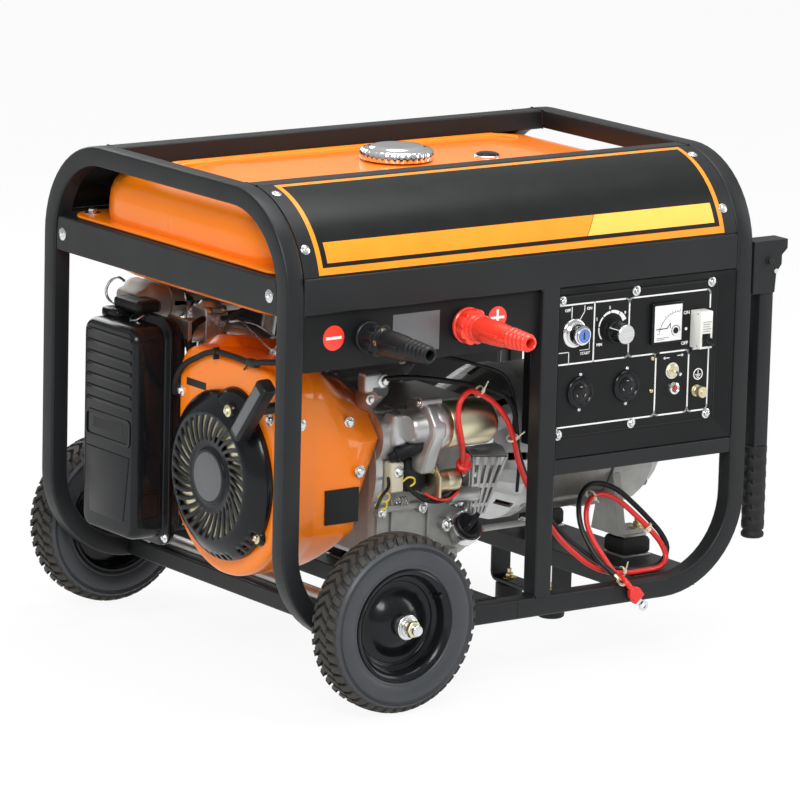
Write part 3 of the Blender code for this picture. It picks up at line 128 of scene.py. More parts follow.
def finish(
    name,
    colour,
    rough,
    metal=0.0,
    coat=0.0,
    coat_rough=0.06,
    other=None,
    patch=22.0,
    contrast=0.5,
    spread=0.05,
    grain=1100.0,
    depth=0.00004,
    wave=0.0,
    stretch=(1, 1, 1),
    specular=0.5,
    glow=0.0,
):
    """A procedural finish: two close colours in patches, uneven roughness and a fine grain."""
    material = bpy.data.materials.new(name)
    material.use_nodes = True
    tree = material.node_tree
    shader = tree.nodes["Principled BSDF"]
    shader.inputs["Metallic"].default_value = metal
    shader.inputs["Coat Weight"].default_value = coat
    shader.inputs["Coat Roughness"].default_value = coat_rough
    shader.inputs["Specular IOR Level"].default_value = specular
    coords = node(tree, "ShaderNodeTexCoord").outputs["Object"]
    mapping = node(tree, "ShaderNodeMapping", Scale=stretch)
    tree.links.new(coords, mapping.inputs["Vector"])
    vector = mapping.outputs["Vector"]
    patches = noise(tree, vector, patch, 4.0)
    low, high = 0.5 - contrast / 2, 0.5 + contrast / 2
    curve = node(tree, "ShaderNodeMapRange", From_Min=low, From_Max=high)
    tree.links.new(patches, curve.inputs["Value"])
    other = other or tuple(min(1.0, c * 1.18) for c in colour)
    mix = node(tree, "ShaderNodeMix", _data_type="RGBA")
    mix.inputs[6].default_value = (*colour, 1)
    mix.inputs[7].default_value = (*other, 1)
    tree.links.new(curve.outputs["Result"], mix.inputs["Factor"])
    tree.links.new(mix.outputs[2], shader.inputs["Base Color"])
    gloss = node(
        tree, "ShaderNodeMapRange", From_Min=low, From_Max=high, To_Min=rough - spread, To_Max=rough + spread
    )
    tree.links.new(noise(tree, vector, patch * 2.7, 3.0), gloss.inputs["Value"])
    tree.links.new(gloss.outputs["Result"], shader.inputs["Roughness"])
    bump = node(tree, "ShaderNodeBump", Strength=1.0, Distance=depth)
    height = noise(tree, vector, grain, 2.0)
    if wave:
        ripple = node(tree, "ShaderNodeMath", _operation="MULTIPLY_ADD")
        ripple.inputs[1].default_value = wave
        tree.links.new(noise(tree, vector, 60.0, 2.0), ripple.inputs[0])
        tree.links.new(height, ripple.inputs[2])
        height = ripple.outputs[0]
    tree.links.new(height, bump.inputs["Height"])
    tree.links.new(bump.outputs["Normal"], shader.inputs["Normal"])
    if glow:
        shader.inputs["Emission Color"].default_value = (*colour, 1)
        shader.inputs["Emission Strength"].default_value = glow
    FINISH[name] = material


finish("paint_black", (0.0095, 0.0108, 0.0115), 0.42, other=(0.014, 0.0155, 0.0165), patch=9,
       grain=1500, depth=0.00003, specular=0.30)
finish("panel_black", (0.0065, 0.0070, 0.0075), 0.46, other=(0.0095, 0.0100, 0.0110), patch=12,
       grain=1700, depth=0.00003, specular=0.20)
finish("plastic_black", (0.008, 0.009, 0.0105), 0.42, other=(0.013, 0.014, 0.016), grain=2200,
       depth=0.00003, specular=0.28)
finish("plastic_gloss", (0.005, 0.006, 0.007), 0.22, coat=0.14, coat_rough=0.05,
       other=(0.008, 0.009, 0.011), wave=2.0, depth=0.00002, specular=0.20)
finish("orange", (1.0, 0.215, 0.003), 0.30, coat=0.38, coat_rough=0.05,
       other=(1.0, 0.250, 0.005), patch=7, wave=2.5, grain=800, depth=0.00002, spread=0.03, specular=0.25)
finish("cast", (0.33, 0.33, 0.32), 0.48, 0.75, other=(0.43, 0.43, 0.41), patch=30, grain=700,
       depth=0.00016, spread=0.08)
finish("cast_bright", (0.50, 0.51, 0.51), 0.36, 0.8, other=(0.62, 0.62, 0.61), patch=36, grain=900,
       depth=0.00010, spread=0.07)
finish("machined", (0.66, 0.67, 0.67), 0.24, 1.0, other=(0.80, 0.80, 0.79), patch=60,
       stretch=(1, 1, 6), grain=1600, depth=0.00005)
finish("gold", (0.74, 0.67, 0.44), 0.36, 1.0, other=(0.80, 0.75, 0.55), patch=18, grain=900,
       depth=0.00001, spread=0.03)
finish("brass", (0.64, 0.50, 0.25), 0.30, 1.0, other=(0.74, 0.63, 0.38), patch=50, grain=900,
       depth=0.00004)
finish("zinc", (0.68, 0.70, 0.71), 0.26, 1.0, other=(0.82, 0.83, 0.83), patch=70, grain=1300,
       depth=0.00004)
finish("chrome", (0.82, 0.82, 0.82), 0.10, 1.0, other=(0.88, 0.88, 0.88), patch=30, spread=0.03,
       grain=1500, depth=0.00001)
finish("steel", (0.36, 0.35, 0.33), 0.38, 0.9, other=(0.50, 0.48, 0.45), patch=60, grain=900,
       depth=0.00008)
finish("rubber", (0.010, 0.010, 0.011), 0.62, other=(0.017, 0.017, 0.018), grain=900, depth=0.00010,
       specular=0.30)
finish("tread", (0.028, 0.025, 0.021), 0.72, other=(0.048, 0.043, 0.036), patch=40, grain=700,
       depth=0.00022, spread=0.08)
finish("sidewall", (0.030, 0.034, 0.040), 0.47, other=(0.044, 0.048, 0.055), patch=14, grain=1000,
       depth=0.00006)
finish("winding", (0.30, 0.12, 0.04), 0.40, 0.7, other=(0.42, 0.20, 0.07), stretch=(30, 1, 1),
       patch=30, depth=0.0001)
finish("heat_steel", (0.34, 0.33, 0.31), 0.50, 0.70, other=(0.44, 0.42, 0.39), patch=13,
       grain=700, depth=0.00012, spread=0.09)
finish("red", (0.80, 0.035, 0.018), 0.30, coat=0.3, other=(0.88, 0.055, 0.028), grain=1500,
       depth=0.00003)
finish("lens", (0.30, 0.012, 0.008), 0.16, coat=0.5, other=(0.38, 0.020, 0.012), depth=0.00001)
finish("blue", (0.060, 0.140, 0.46), 0.28, coat=0.3, other=(0.10, 0.20, 0.56), patch=90)
finish("red_lead", (0.72, 0.020, 0.016), 0.34, other=(0.80, 0.035, 0.026), grain=1500, depth=0.00004)
finish("black_lead", (0.009, 0.010, 0.011), 0.40, other=(0.015, 0.016, 0.017), grain=1500,
       depth=0.00004, specular=0.35)
finish("white", (0.80, 0.80, 0.79), 0.45, other=(0.86, 0.86, 0.85), depth=0.00001)
finish("ivory", (0.72, 0.73, 0.68), 0.38, other=(0.78, 0.79, 0.74), depth=0.00002)
finish("label_orange", (1.0, 0.27, 0.006), 0.34, other=(1.0, 0.31, 0.010), depth=0.00001)
finish("label_yellow", (0.95, 0.52, 0.070), 0.36, other=(0.98, 0.56, 0.09), depth=0.00001)
finish("label_black", (0.006, 0.007, 0.007), 0.32, other=(0.009, 0.010, 0.010), depth=0.00001,
       specular=0.25)
finish("label_grey", (0.10, 0.105, 0.11), 0.42, other=(0.12, 0.125, 0.13), depth=0.00001)
finish("cream", (0.70, 0.66, 0.48), 0.45, other=(0.76, 0.72, 0.55), depth=0.00003)
finish("yellow", (0.86, 0.66, 0.03), 0.35, other=(0.90, 0.72, 0.06), depth=0.00003)


# ---------------------------------------------------------------- mesh building
def arc(centre, radius, start, end, count):
    """Points on an arc, angles in degrees from the first axis towards the second."""
    points = []
    for step in range(count + 1):
        angle = math.radians(start + (end - start) * step / count)
        points.append((centre[0] + radius * math.cos(angle), centre[1] + radius * math.sin(angle)))
    return points


def rounded(x, y, radius, count=6):
    """Outline of a rectangle with round corners."""
    low_x, high_x = x[0] + radius, x[1] - radius
    low_y, high_y = y[0] + radius, y[1] - radius
    return (
        arc((high_x, high_y), radius, 0, 90, count)
        + arc((low_x, high_y), radius, 90, 180, count)
        + arc((low_x, low_y), radius, 180, 270, count)
        + arc((high_x, low_y), radius, 270, 360, count)
    )


def smooth(route, spacing=0.006):
    """Points about spacing apart on a smooth curve through the route's points (Catmull-Rom)."""
    places = [Vector(place) for place in route]
    places = [2 * places[0] - places[1], *places, 2 * places[-1] - places[-2]]
    points = []
    for before, start, end, after in zip(places, places[1:], places[2:], places[3:]):
        count = max(1, round((end - start).length / spacing))
        for step in range(count):
            t = step / count
            points.append(
                0.5
                * (
                    2 * start
                    + (end - before) * t
                    + (2 * before - 5 * start + 4 * end - after) * t**2
                    + (3 * start - before - 3 * end + after) * t**3
                )
            )
    points.append(places[-2])
    return points


def facing(direction):
    """Turns Z to a direction, with Y kept as upright as it can be."""
    return Vector(direction).to_track_quat("Z", "Y").to_matrix().to_4x4()


class Shape:
    """Collects solids in the local frame, each in one of the named finishes, into one piece."""

    def __init__(self, name, *finishes):
        self.name = name
        self.finishes = finishes
        self.bm = bmesh.new()
        self.paint = 0
        self.matrix = Matrix.Identity(4)

    def use(self, name):
        self.paint = self.finishes.index(name)
        return self

    def at(self, matrix=None):
        """Later solids are placed by this matrix."""
        self.matrix = matrix or Matrix.Identity(4)
        return self

    def point(self, place):
        return self.bm.verts.new(self.matrix @ Vector(place))

    def face(self, corners):
        if len(set(corners)) < 3:
            return None
        try:
            made = self.bm.faces.new(corners)
        except ValueError:
            return None
        made.material_index = self.paint
        made.smooth = True
        return made

    def skin(self, rings, caps=(True, True), closed=True):
        """Skins rings of points of equal length; a ring of one point is a pole."""
        rings = [[self.point(place) for place in ring] for ring in rings]
        faces = []
        for ring, after in zip(rings, rings[1:]):
            count = max(len(ring), len(after))
            for index in range(count if closed else count - 1):
                following = (index + 1) % count
                corners = [ring[index % len(ring)], ring[following % len(ring)]]
                corners += [after[following % len(after)], after[index % len(after)]]
                unique = [c for i, c in enumerate(corners) if c not in corners[:i]]
                faces.append(self.face(unique))
        for wanted, ring in zip(caps, (rings[0], rings[-1])):
            if wanted and len(ring) > 2:
                faces.append(self.face(ring))
        return [face for face in faces if face]

    def soften(self, faces, width, segments=3, angle=30):
        """Rounds the sharp edges of these faces."""
        bmesh.ops.recalc_face_normals(self.bm, faces=faces)
        edges = {edge for face in faces for edge in face.edges if len(edge.link_faces) == 2}
        sharp = [edge for edge in edges if edge.calc_face_angle(0) > math.radians(angle)]
        if sharp and width:
            bmesh.ops.bevel(
                self.bm, geom=sharp, offset=width, segments=segments, profile=0.5, affect="EDGES", clamp_overlap=True,
                material=-1,
            )
        return self

    def box(self, x, y, z, bevel=0.001, segments=2):
        rings = [[(x[0], y[0], h), (x[1], y[0], h), (x[1], y[1], h), (x[0], y[1], h)] for h in z]
        return self.soften(self.skin(rings), bevel, segments)

    def prism(self, outline, low, high, axis, bevel=0.0, segments=2, angle=30):
        """A flat outline extruded along an axis: for X it is (y, z), for Y it is (x, z), for Z (x, y)."""
        order = {"X": lambda u, v, w: (w, u, v), "Y": lambda u, v, w: (u, w, v), "Z": lambda u, v, w: (u, v, w)}
        rings = [[order[axis](u, v, w) for u, v in outline] for w in (low, high)]
        return self.soften(self.skin(rings), bevel, segments, angle)

    def turned(self, profile, start, direction, steps=48, bevel=0.0, closed_profile=False):
        """A profile of (radius, distance along direction) turned about the line through start."""
        turn = Matrix.Translation(Vector(start)) @ facing(direction)
        if closed_profile:
            profile = [*profile, profile[0]]
        rings = []
        for radius, along in profile:
            if radius < 1e-7:
                rings.append([turn @ Vector((0, 0, along))])
                continue
            angles = [math.tau * step / steps for step in range(steps)]
            rings.append([turn @ Vector((radius * math.cos(a), radius * math.sin(a), along)) for a in angles])
        faces = self.skin(rings, caps=(not closed_profile, not closed_profile))
        if closed_profile:
            bmesh.ops.remove_doubles(self.bm, verts=list({v for f in faces for v in f.verts}), dist=1e-7)
            return self
        return self.soften(faces, bevel, 2) if bevel else self

    def rod(self, start, end, radius, end_radius=None, steps=24, bevel=0.0):
        start, end = Vector(start), Vector(end)
        length = (end - start).length
        last = radius if end_radius is None else end_radius
        return self.turned([(0, 0), (radius, 0), (last, length), (0, length)], start, end - start, steps, bevel)

    def tube(self, points, radius, sides=12, caps=(True, True), flat=1.0):
        """A round wire along points; radius may be a list, and flat squeezes it across."""
        points = [Vector(place) for place in points]
        radii = radius if isinstance(radius, (list, tuple)) else [radius] * len(points)
        outline = [(math.cos(math.tau * s / sides), flat * math.sin(math.tau * s / sides)) for s in range(sides)]
        return self.sweep(points, [[(u * r, v * r) for u, v in outline] for r in radii], caps)

    def sweep(self, points, outlines, caps=(True, True), upright=None):
        """Carries an outline, or one for each point, along points without twist."""
        points = [Vector(place) for place in points]
        if not isinstance(outlines[0], list):
            outlines = [outlines] * len(points)
        tangents = []
        for index in range(len(points)):
            before, after = points[max(index - 1, 0)], points[min(index + 1, len(points) - 1)]
            tangents.append((after - before).normalized())
        side = upright or (Vector((0, 0, 1)) if abs(tangents[0].z) < 0.9 else Vector((0, 1, 0)))
        side = (side - tangents[0] * side.dot(tangents[0])).normalized()
        rings = []
        previous = tangents[0]
        for place, tangent, outline in zip(points, tangents, outlines):
            side = previous.rotation_difference(tangent) @ side
            side = (side - tangent * side.dot(tangent)).normalized()
            across = tangent.cross(side)
            rings.append([place + across * u + side * v for u, v in outline])
            previous = tangent
        self.skin(rings, caps)
        return self

    def hexagon(self, start, direction, radius, height, dome=0.0):
        """A hexagon head or nut, with its corners turned down."""
        turn = Matrix.Translation(Vector(start)) @ facing(direction)
        corners = [(math.cos(math.tau * s / 6), math.sin(math.tau * s / 6)) for s in range(6)]
        rings = []
        for scale, level in ((1, 0), (1, height * 0.82), (0.86, height)):
            rings.append([turn @ Vector((radius * scale * u, radius * scale * v, level)) for u, v in corners])
        if dome:
            rings.append([turn @ Vector((radius * 0.5 * u, radius * 0.5 * v, height + dome)) for u, v in corners])
        self.soften(self.skin(rings), radius * 0.05, 2)
        return self

    def bolt(self, place, direction, radius=0.005, washer=None, height=None, kind="hex"):
        """A bolt head with a washer, standing on a surface at place."""
        place, direction = Vector(place), Vector(direction).normalized()
        washer = washer or radius * 1.7
        thick = radius * 0.24
        rim = [(0, 0), (washer, 0), (washer, thick * 0.7), (washer * 0.94, thick), (0, thick)]
        self.turned(rim, place, direction, 24)
        top = place + direction * thick
        height = height or radius * 0.8
        if kind == "hex":
            return self.hexagon(top, direction, radius, height)
        dome = [(0, 0), (radius, 0), (radius, height * 0.35), (radius * 0.85, height * 0.75), (radius * 0.5, height)]
        if kind == "pan":
            return self.turned([*dome, (0, height)], top, direction, 24)
        socket = radius * 0.42
        dome += [(socket, height), (socket, height * 0.45), (0, height * 0.45)]
        return self.turned(dome, top, direction, 24)

    def slab(self, corners, thick, normal, bevel=0.0, segments=2):
        """A flat plate from its corner points and its thickness along a normal."""
        normal = Vector(normal).normalized() * thick
        rings = [[Vector(corner) for corner in corners], [Vector(corner) + normal for corner in corners]]
        return self.soften(self.skin(rings), bevel, segments)

    def done(self, body="frame", replaces=(), slot=None, sharp=38, bevel=None, weld=True):
        """Makes the piece, rides it on its body and hides the CAD parts it replaces."""
        bmesh.ops.recalc_face_normals(self.bm, faces=self.bm.faces)
        self.bm.transform(Matrix.Translation(ORIGIN))
        mesh = bpy.data.meshes.new(self.name)
        self.bm.to_mesh(mesh)
        self.bm.free()
        for name in self.finishes:
            mesh.materials.append(FINISH[name])
        mesh.set_sharp_from_angle(angle=math.radians(sharp))
        obj = bpy.data.objects.new(self.name, mesh)
        bpy.context.scene.collection.objects.link(obj)
        if bevel:
            modifier = obj.modifiers.new("edges", "BEVEL")
            modifier.width, modifier.segments = bevel, 3
            modifier.limit_method = "ANGLE"
            modifier.harden_normals = True
        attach(obj, body)
        if replaces:
            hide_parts(*replaces)
        return obj


def restyle(name, finish_name, bevel=0.0, segments=3, angle=30):
    """Keeps a CAD node's shape, with rounded edges and a better finish."""
    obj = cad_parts[name]
    for slot in obj.material_slots:
        slot.material = FINISH[finish_name]
    if bevel:
        weld = obj.modifiers.new("weld", "WELD")
        weld.merge_threshold = 0.00002
        edges = obj.modifiers.new("edges", "BEVEL")
        edges.width, edges.segments = bevel, segments
        edges.limit_method = "ANGLE"
        edges.angle_limit = math.radians(angle)
        edges.harden_normals = True
        edges.use_clamp_overlap = True
    return obj


# ---------------------------------------------------------------- battery leads
# Route points in millimetres in the local frame, the same as in part.py.
RED_ROUTE = (
    (336, -180, 262), (316, -205, 291), (304, -211, 328), (308, -211, 348), (322, -210, 358),
    (340, -209, 352), (362, -209, 338), (381, -210, 315), (396, -206, 286), (408, -200, 258),
    (421, -199, 231), (435, -201, 203), (452, -206, 176), (466, -214, 154), (480, -222, 138),
    (497, -232, 122), (518, -239, 111), (548, -243, 105), (584, -244, 104.5), (608, -241, 105),
    (622, -236, 114), (619, -229, 132), (605, -220, 152), (587, -210, 172), (568, -203, 189),
    (548, -199, 199), (528, -201, 199), (514, -207, 187), (509, -215, 167), (512, -226, 147),
    (518, -238, 130), (524, -250, 114), (526, -262, 107.3), (525, -271, 106.8), (525.2, -278, 104.2),
    (526.8, -281.5, 99.95), (530.7, -281.5, 95.35),
)
BLACK_ROUTE = (
    (234, -150, 371), (250, -168, 375), (270, -184, 375), (293, -190, 371), (317, -190, 366),
    (341, -190, 360), (364, -194, 353), (387, -199, 342), (403, -197, 320), (410, -188, 290),
    (420, -187, 258), (432, -189, 228), (446, -194, 200), (460, -202, 176), (474, -210, 158),
    (490, -220, 142), (507, -229, 127), (530, -231, 113), (560, -233, 105.5), (592, -234, 105),
    (620, -229, 108), (632, -225, 124), (627, -218, 142), (612, -209, 162), (594, -200, 182),
    (574, -193, 200), (552, -189, 210), (530, -190, 211), (512, -196, 200), (503, -205, 180),
    (502, -216, 158), (505, -233, 137), (511, -246, 122), (516, -262, 112),
)
LEAD_RADIUS = 0.0035


def metres(route):
    return [Vector(place) / 1000 for place in route]


def add_lead(name, route, finish_name, pieces):
    """One lead as a curve along its route."""
    points = smooth(metres(route), 0.007)
    curve = bpy.data.curves.new(name, "CURVE")
    curve.dimensions = "3D"
    curve.bevel_depth = LEAD_RADIUS
    curve.bevel_resolution = 5
    curve.use_fill_caps = True
    spline = curve.splines.new("POLY")
    spline.points.add(len(points) - 1)
    for point, place in zip(spline.points, points):
        point.co = (*(place + ORIGIN), 1)
    spline.use_smooth = True
    curve.materials.append(FINISH[finish_name])
    obj = bpy.data.objects.new(name, curve)
    bpy.context.scene.collection.objects.link(obj)
    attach(obj, "frame")
    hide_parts(name.replace("_cable", "_battery_lead"))
    return obj


def lead_boot():
    """Flat rubber boot with a ring lug on the red lead's far end."""
    end = Vector((0.5310, -0.2815, 0.0950))
    shape = Shape("red_boot", "red_lead", "zinc")
    tilt = Matrix.Translation(end) @ Matrix.Rotation(math.radians(-40), 4, "Y")
    shape.at(tilt).use("red_lead")
    outline = [(-0.0048, 0.0), (-0.0085, -0.006), (-0.009, -0.020), (0.009, -0.020), (0.0085, -0.006), (0.0048, 0.0)]
    shape.prism(outline, -0.004, 0.004, "Y", 0.0016, 3)
    for level in (-0.009, -0.013, -0.017):
        shape.box((-0.0092, 0.0092), (-0.0042, 0.0042), (level - 0.0006, level + 0.0006), 0.0005)
    shape.use("zinc")
    shape.box((-0.003, 0.003), (-0.001, 0.001), (-0.028, -0.015), 0.0003)
    ring = [(0.0035, -0.001), (0.0069, -0.001), (0.0069, 0.001), (0.0035, 0.001)]
    shape.turned(ring, (0, 0, -0.032), (0, 1, 0), 28, closed_profile=True)
    return shape.done(replaces=("red_lead_boot",))


def black_lug():
    """Heat-shrink sleeve and ring lug on the black lead's far end."""
    end, before = Vector(BLACK_ROUTE[-1]) / 1000, Vector(BLACK_ROUTE[-2]) / 1000
    ahead = (end - before).normalized()
    shape = Shape("black_lug", "black_lead", "gold")
    shape.use("black_lead").rod(end - ahead * 0.010, end + ahead * 0.004, 0.0043, 0.0040, 20)
    shape.use("gold").rod(end + ahead * 0.003, end + ahead * 0.010, 0.0033, 0.0030, 18)
    centre = end + ahead * 0.0165
    ring = [(0.0034, -0.0008), (0.0068, -0.0008), (0.0068, 0.0008), (0.0034, 0.0008)]
    shape.turned(ring, centre, ahead.cross(Vector((1, 0, 0))), 28, closed_profile=True)
    return shape.done()


add_lead("red_cable", RED_ROUTE, "red_lead", [lead_boot()])
add_lead("black_cable", BLACK_ROUTE, "black_lead", [black_lug()])


# ---------------------------------------------------------------- floor, world and lamps
def white_shader(tree, shader, share):
    """Mixes a shader with plain white for the camera, glossy and transmission rays."""
    white = node(tree, "ShaderNodeEmission", Color=(1, 1, 1, 1), Strength=1.0)
    rays = node(tree, "ShaderNodeLightPath")
    seen = node(tree, "ShaderNodeMath", _operation="MAXIMUM")
    tree.links.new(rays.outputs["Is Camera Ray"], seen.inputs[0])
    tree.links.new(rays.outputs["Is Glossy Ray"], seen.inputs[1])
    all_seen = node(tree, "ShaderNodeMath", _operation="MAXIMUM")
    tree.links.new(seen.outputs[0], all_seen.inputs[0])
    tree.links.new(rays.outputs["Is Transmission Ray"], all_seen.inputs[1])
    fade = node(tree, "ShaderNodeMath", _operation="MULTIPLY")
    fade.inputs[1].default_value = share
    tree.links.new(all_seen.outputs[0], fade.inputs[0])
    mix = node(tree, "ShaderNodeMixShader")
    tree.links.new(fade.outputs[0], mix.inputs["Fac"])
    tree.links.new(shader, mix.inputs[1])
    tree.links.new(white.outputs[0], mix.inputs[2])
    return mix.outputs[0]


def add_floor():
    bm = bmesh.new()
    bmesh.ops.create_grid(bm, x_segments=1, y_segments=1, size=14)
    mesh = bpy.data.meshes.new("floor")
    bm.to_mesh(mesh)
    bm.free()
    floor = bpy.data.objects.new("floor", mesh)
    bpy.context.scene.collection.objects.link(floor)
    material = bpy.data.materials.new("floor")
    material.use_nodes = True
    tree = material.node_tree
    shader = tree.nodes["Principled BSDF"]
    shader.inputs["Base Color"].default_value = (0.86, 0.86, 0.86, 1)
    shader.inputs["Roughness"].default_value = 0.9
    output = tree.nodes["Material Output"]
    tree.links.new(white_shader(tree, shader.outputs[0], 0.92), output.inputs["Surface"])
    mesh.materials.append(material)


def add_world():
    """White to the camera; a softer grey sky, brighter above, to light the object."""
    world = bpy.data.worlds.new("studio")
    bpy.context.scene.world = world
    world.use_nodes = True
    tree = world.node_tree
    tree.nodes.clear()
    direction = node(tree, "ShaderNodeTexCoord").outputs["Generated"]
    split = node(tree, "ShaderNodeSeparateXYZ")
    tree.links.new(direction, split.inputs[0])
    sky = node(tree, "ShaderNodeMapRange", From_Min=-0.1, From_Max=0.9, To_Min=0.34, To_Max=0.62)
    tree.links.new(split.outputs["Z"], sky.inputs["Value"])
    ambient = node(tree, "ShaderNodeBackground", Color=(1, 1, 1, 1))
    tree.links.new(sky.outputs["Result"], ambient.inputs["Strength"])
    white = node(tree, "ShaderNodeBackground", Color=(1, 1, 1, 1), Strength=1.0)
    rays = node(tree, "ShaderNodeLightPath")
    mix = node(tree, "ShaderNodeMixShader")
    tree.links.new(rays.outputs["Is Camera Ray"], mix.inputs["Fac"])
    tree.links.new(ambient.outputs[0], mix.inputs[1])
    tree.links.new(white.outputs[0], mix.inputs[2])
    output = node(tree, "ShaderNodeOutputWorld")
    tree.links.new(mix.outputs[0], output.inputs["Surface"])


def add_lamp(name, place, target, size, power):
    data = bpy.data.lights.new(name, "AREA")
    data.shape = "RECTANGLE"
    data.size, data.size_y = size
    data.energy = power
    lamp = bpy.data.objects.new(name, data)
    lamp.location = place
    lamp.rotation_euler = (Vector(target) - Vector(place)).to_track_quat("-Z", "Y").to_euler()
    bpy.context.scene.collection.objects.link(lamp)


add_floor()
add_world()
add_lamp("key_softbox", (-1.7, -2.1, 2.3), (0, 0, 0.30), (1.5, 1.1), 70)
add_lamp("top_softbox", (0.3, 0.1, 2.9), (0, 0, 0.30), (2.2, 1.6), 50)
add_lamp("side_softbox", (2.2, -1.3, 1.2), (0, 0, 0.30), (0.8, 1.6), 16)
add_lamp("rear_softbox", (0.2, 2.8, 1.5), (0, 0, 0.30), (1.6, 1.2), 22)
bpy.context.scene.view_settings.view_transform = "Standard"


# ---------------------------------------------------------------- frame
def hoop_path():
    """Centre line of the left hoop, from the middle of the rear rail round to the front rail."""
    bend = BEND - TUBE / 2
    rail_z = RAIL_LOW + TUBE / 2
    rear = [(LENGTH / 2 - 0.0002, ARM_Y, rail_z), (BEND + 0.02, ARM_Y, rail_z)]
    rear += [(x, ARM_Y, z) for x, z in arc((BEND, RAIL_LOW + BEND), bend, 270, 180, 14)]
    rear += [(TUBE / 2, ARM_Y, z) for z in (0.27, 0.36, 0.45)]
    rear += [(TUBE / 2, y, z) for y, z in arc((HALF - BEND, TOP - BEND), bend, 0, 90, 14)]
    rear += [(TUBE / 2, 0.075, TOP - TUBE / 2)]
    return rear + [(x, -y, z) for x, y, z in reversed(rear)]


def frame_loops():
    half = TUBE / 2
    outline = rounded((-half, half), (-half, half), TUBE_CORNER, 4)
    for name, mirrored in (("left", False), ("right", True)):
        path = [(LENGTH - x if mirrored else x, y, z) for x, y, z in hoop_path()]
        shape = Shape(name + "_hoop", "paint_black")
        shape.sweep(path, outline)
        shape.done(replaces=(name + "_frame_loop",), sharp=50)


def weld_bead(shape, corners, radius=0.0016):
    """A rippled bead along straight runs between corner points."""
    for start, end in zip(corners, corners[1:]):
        start, end = Vector(start), Vector(end)
        count = max(4, int((end - start).length / 0.0022))
        points = [start.lerp(end, i / count) for i in range(count + 1)]
        radii = [radius * (1.0 + 0.22 * math.sin(i * 2.1) + random.uniform(-0.10, 0.10)) for i in range(count + 1)]
        shape.tube(points, radii, 8)


def frame_details():
    shape = Shape("weld_beads", "paint_black")
    for x in (TUBE + 0.0004, LENGTH - TUBE - 0.0004):
        for y_out, y_in in ((-HALF + 0.001, -INNER_Y), (HALF - 0.001, INNER_Y)):
            weld_bead(shape, [(x, y_in, 0.5362), (x, y_out, 0.5362), (x, y_out, 0.4912), (x, y_in, 0.4912)])
        for side in (-1, 1):
            y_out, y_in = side * 0.1672, side * 0.1425
            weld_bead(shape, [(x, y_out, 0.6095), (x, y_out, 0.6335), (x, y_in, 0.6335), (x, y_in, 0.6095)])
    for x in (0.383, 0.408):
        weld_bead(shape, [(x, -INNER_Y, 0.4906), (x, -HALF + 0.0015, 0.4906)])
        weld_bead(shape, [(x, -HALF + 0.0015, 0.1004), (x, -INNER_Y, 0.1004)])
    weld_bead(shape, [(0.385, -HALF + 0.0012, 0.1006), (0.406, -HALF + 0.0012, 0.1006)])
    for x in (0.4085, LENGTH - TUBE - 0.0004):
        weld_bead(shape, [(x, -INNER_Y, 0.2735), (x, -HALF + 0.001, 0.2735), (x, -HALF + 0.001, 0.2530)])
    for low_x, wide in ((0.120, 0.030), (0.262, 0.080), (0.560, 0.100)):
        for side in (-1, 1):
            y = side * (INNER_Y + 0.0002)
            weld_bead(shape, [(low_x, y, 0.1002), (low_x + wide, y, 0.1002)])
    for end in (0.0023, LENGTH - TUBE + 0.0023):
        for x in (end, end + TUBE - 0.0046):
            for side in (-1, 1):
                weld_bead(shape, [(x, side * INNER_Y, 0.490), (x, side * INNER_Y, 0.518)], 0.0013)
    shape.done()

    for name in ("front_panel_frame", "rear_upper_rail", "front_top_rail", "rear_top_rail", "left_tank_bar",
                 "right_tank_bar", "axle_cross_member", "engine_cross_member", "alternator_cross_member"):
        restyle(name, "paint_black", 0.0026)

    shape = Shape("frame_bolts", "zinc", "paint_black")
    for x, y, z, direction in (
        (0.0, 0.143, 0.6225, (-1, 0, 0)),
        (0.0, -0.143, 0.6225, (-1, 0, 0)),
        (LENGTH, 0.143, 0.6225, (1, 0, 0)),
        (LENGTH, -0.143, 0.6225, (1, 0, 0)),
        (0.0023, 0.2335, 0.5115, (-1, 0, 0)),
        (0.0023, -0.2325, 0.5115, (-1, 0, 0)),
        (LENGTH - 0.0023, 0.2335, 0.5115, (1, 0, 0)),
        (LENGTH - 0.0023, -0.2325, 0.5115, (1, 0, 0)),
    ):
        on_hoop = abs(y) < 0.2
        place = Vector((x, y, z)) - Vector(direction) * (0.0026 if on_hoop else 0)
        shape.use("zinc").bolt(place, direction, 0.0032 if on_hoop else 0.0048, height=0.0016, kind="socket")
    shape.done()


def visor_point(side, radius, angle, x):
    """A point on a visor's curve; angle is in degrees above the horizontal."""
    angle = math.radians(angle)
    return (x, side * (0.150 + radius * math.cos(angle)), 0.510 + radius * math.sin(angle))


def visor_sheet(shape, side, corners, radius, thick, steps=18):
    """A curved zone from its corners (x, angle): low left, low right, high right, high left."""
    low_left, low_right, high_right, high_left = corners
    rings = []
    for step in range(steps + 1):
        t = step / steps
        left = [low_left[i] + (high_left[i] - low_left[i]) * t for i in (0, 1)]
        right = [low_right[i] + (high_right[i] - low_right[i]) * t for i in (0, 1)]
        rings.append(
            [
                visor_point(side, radius, left[1], left[0]),
                visor_point(side, radius, right[1], right[0]),
                visor_point(side, radius - thick, right[1], right[0]),
                visor_point(side, radius - thick, left[1], left[0]),
            ]
        )
    shape.skin(rings)


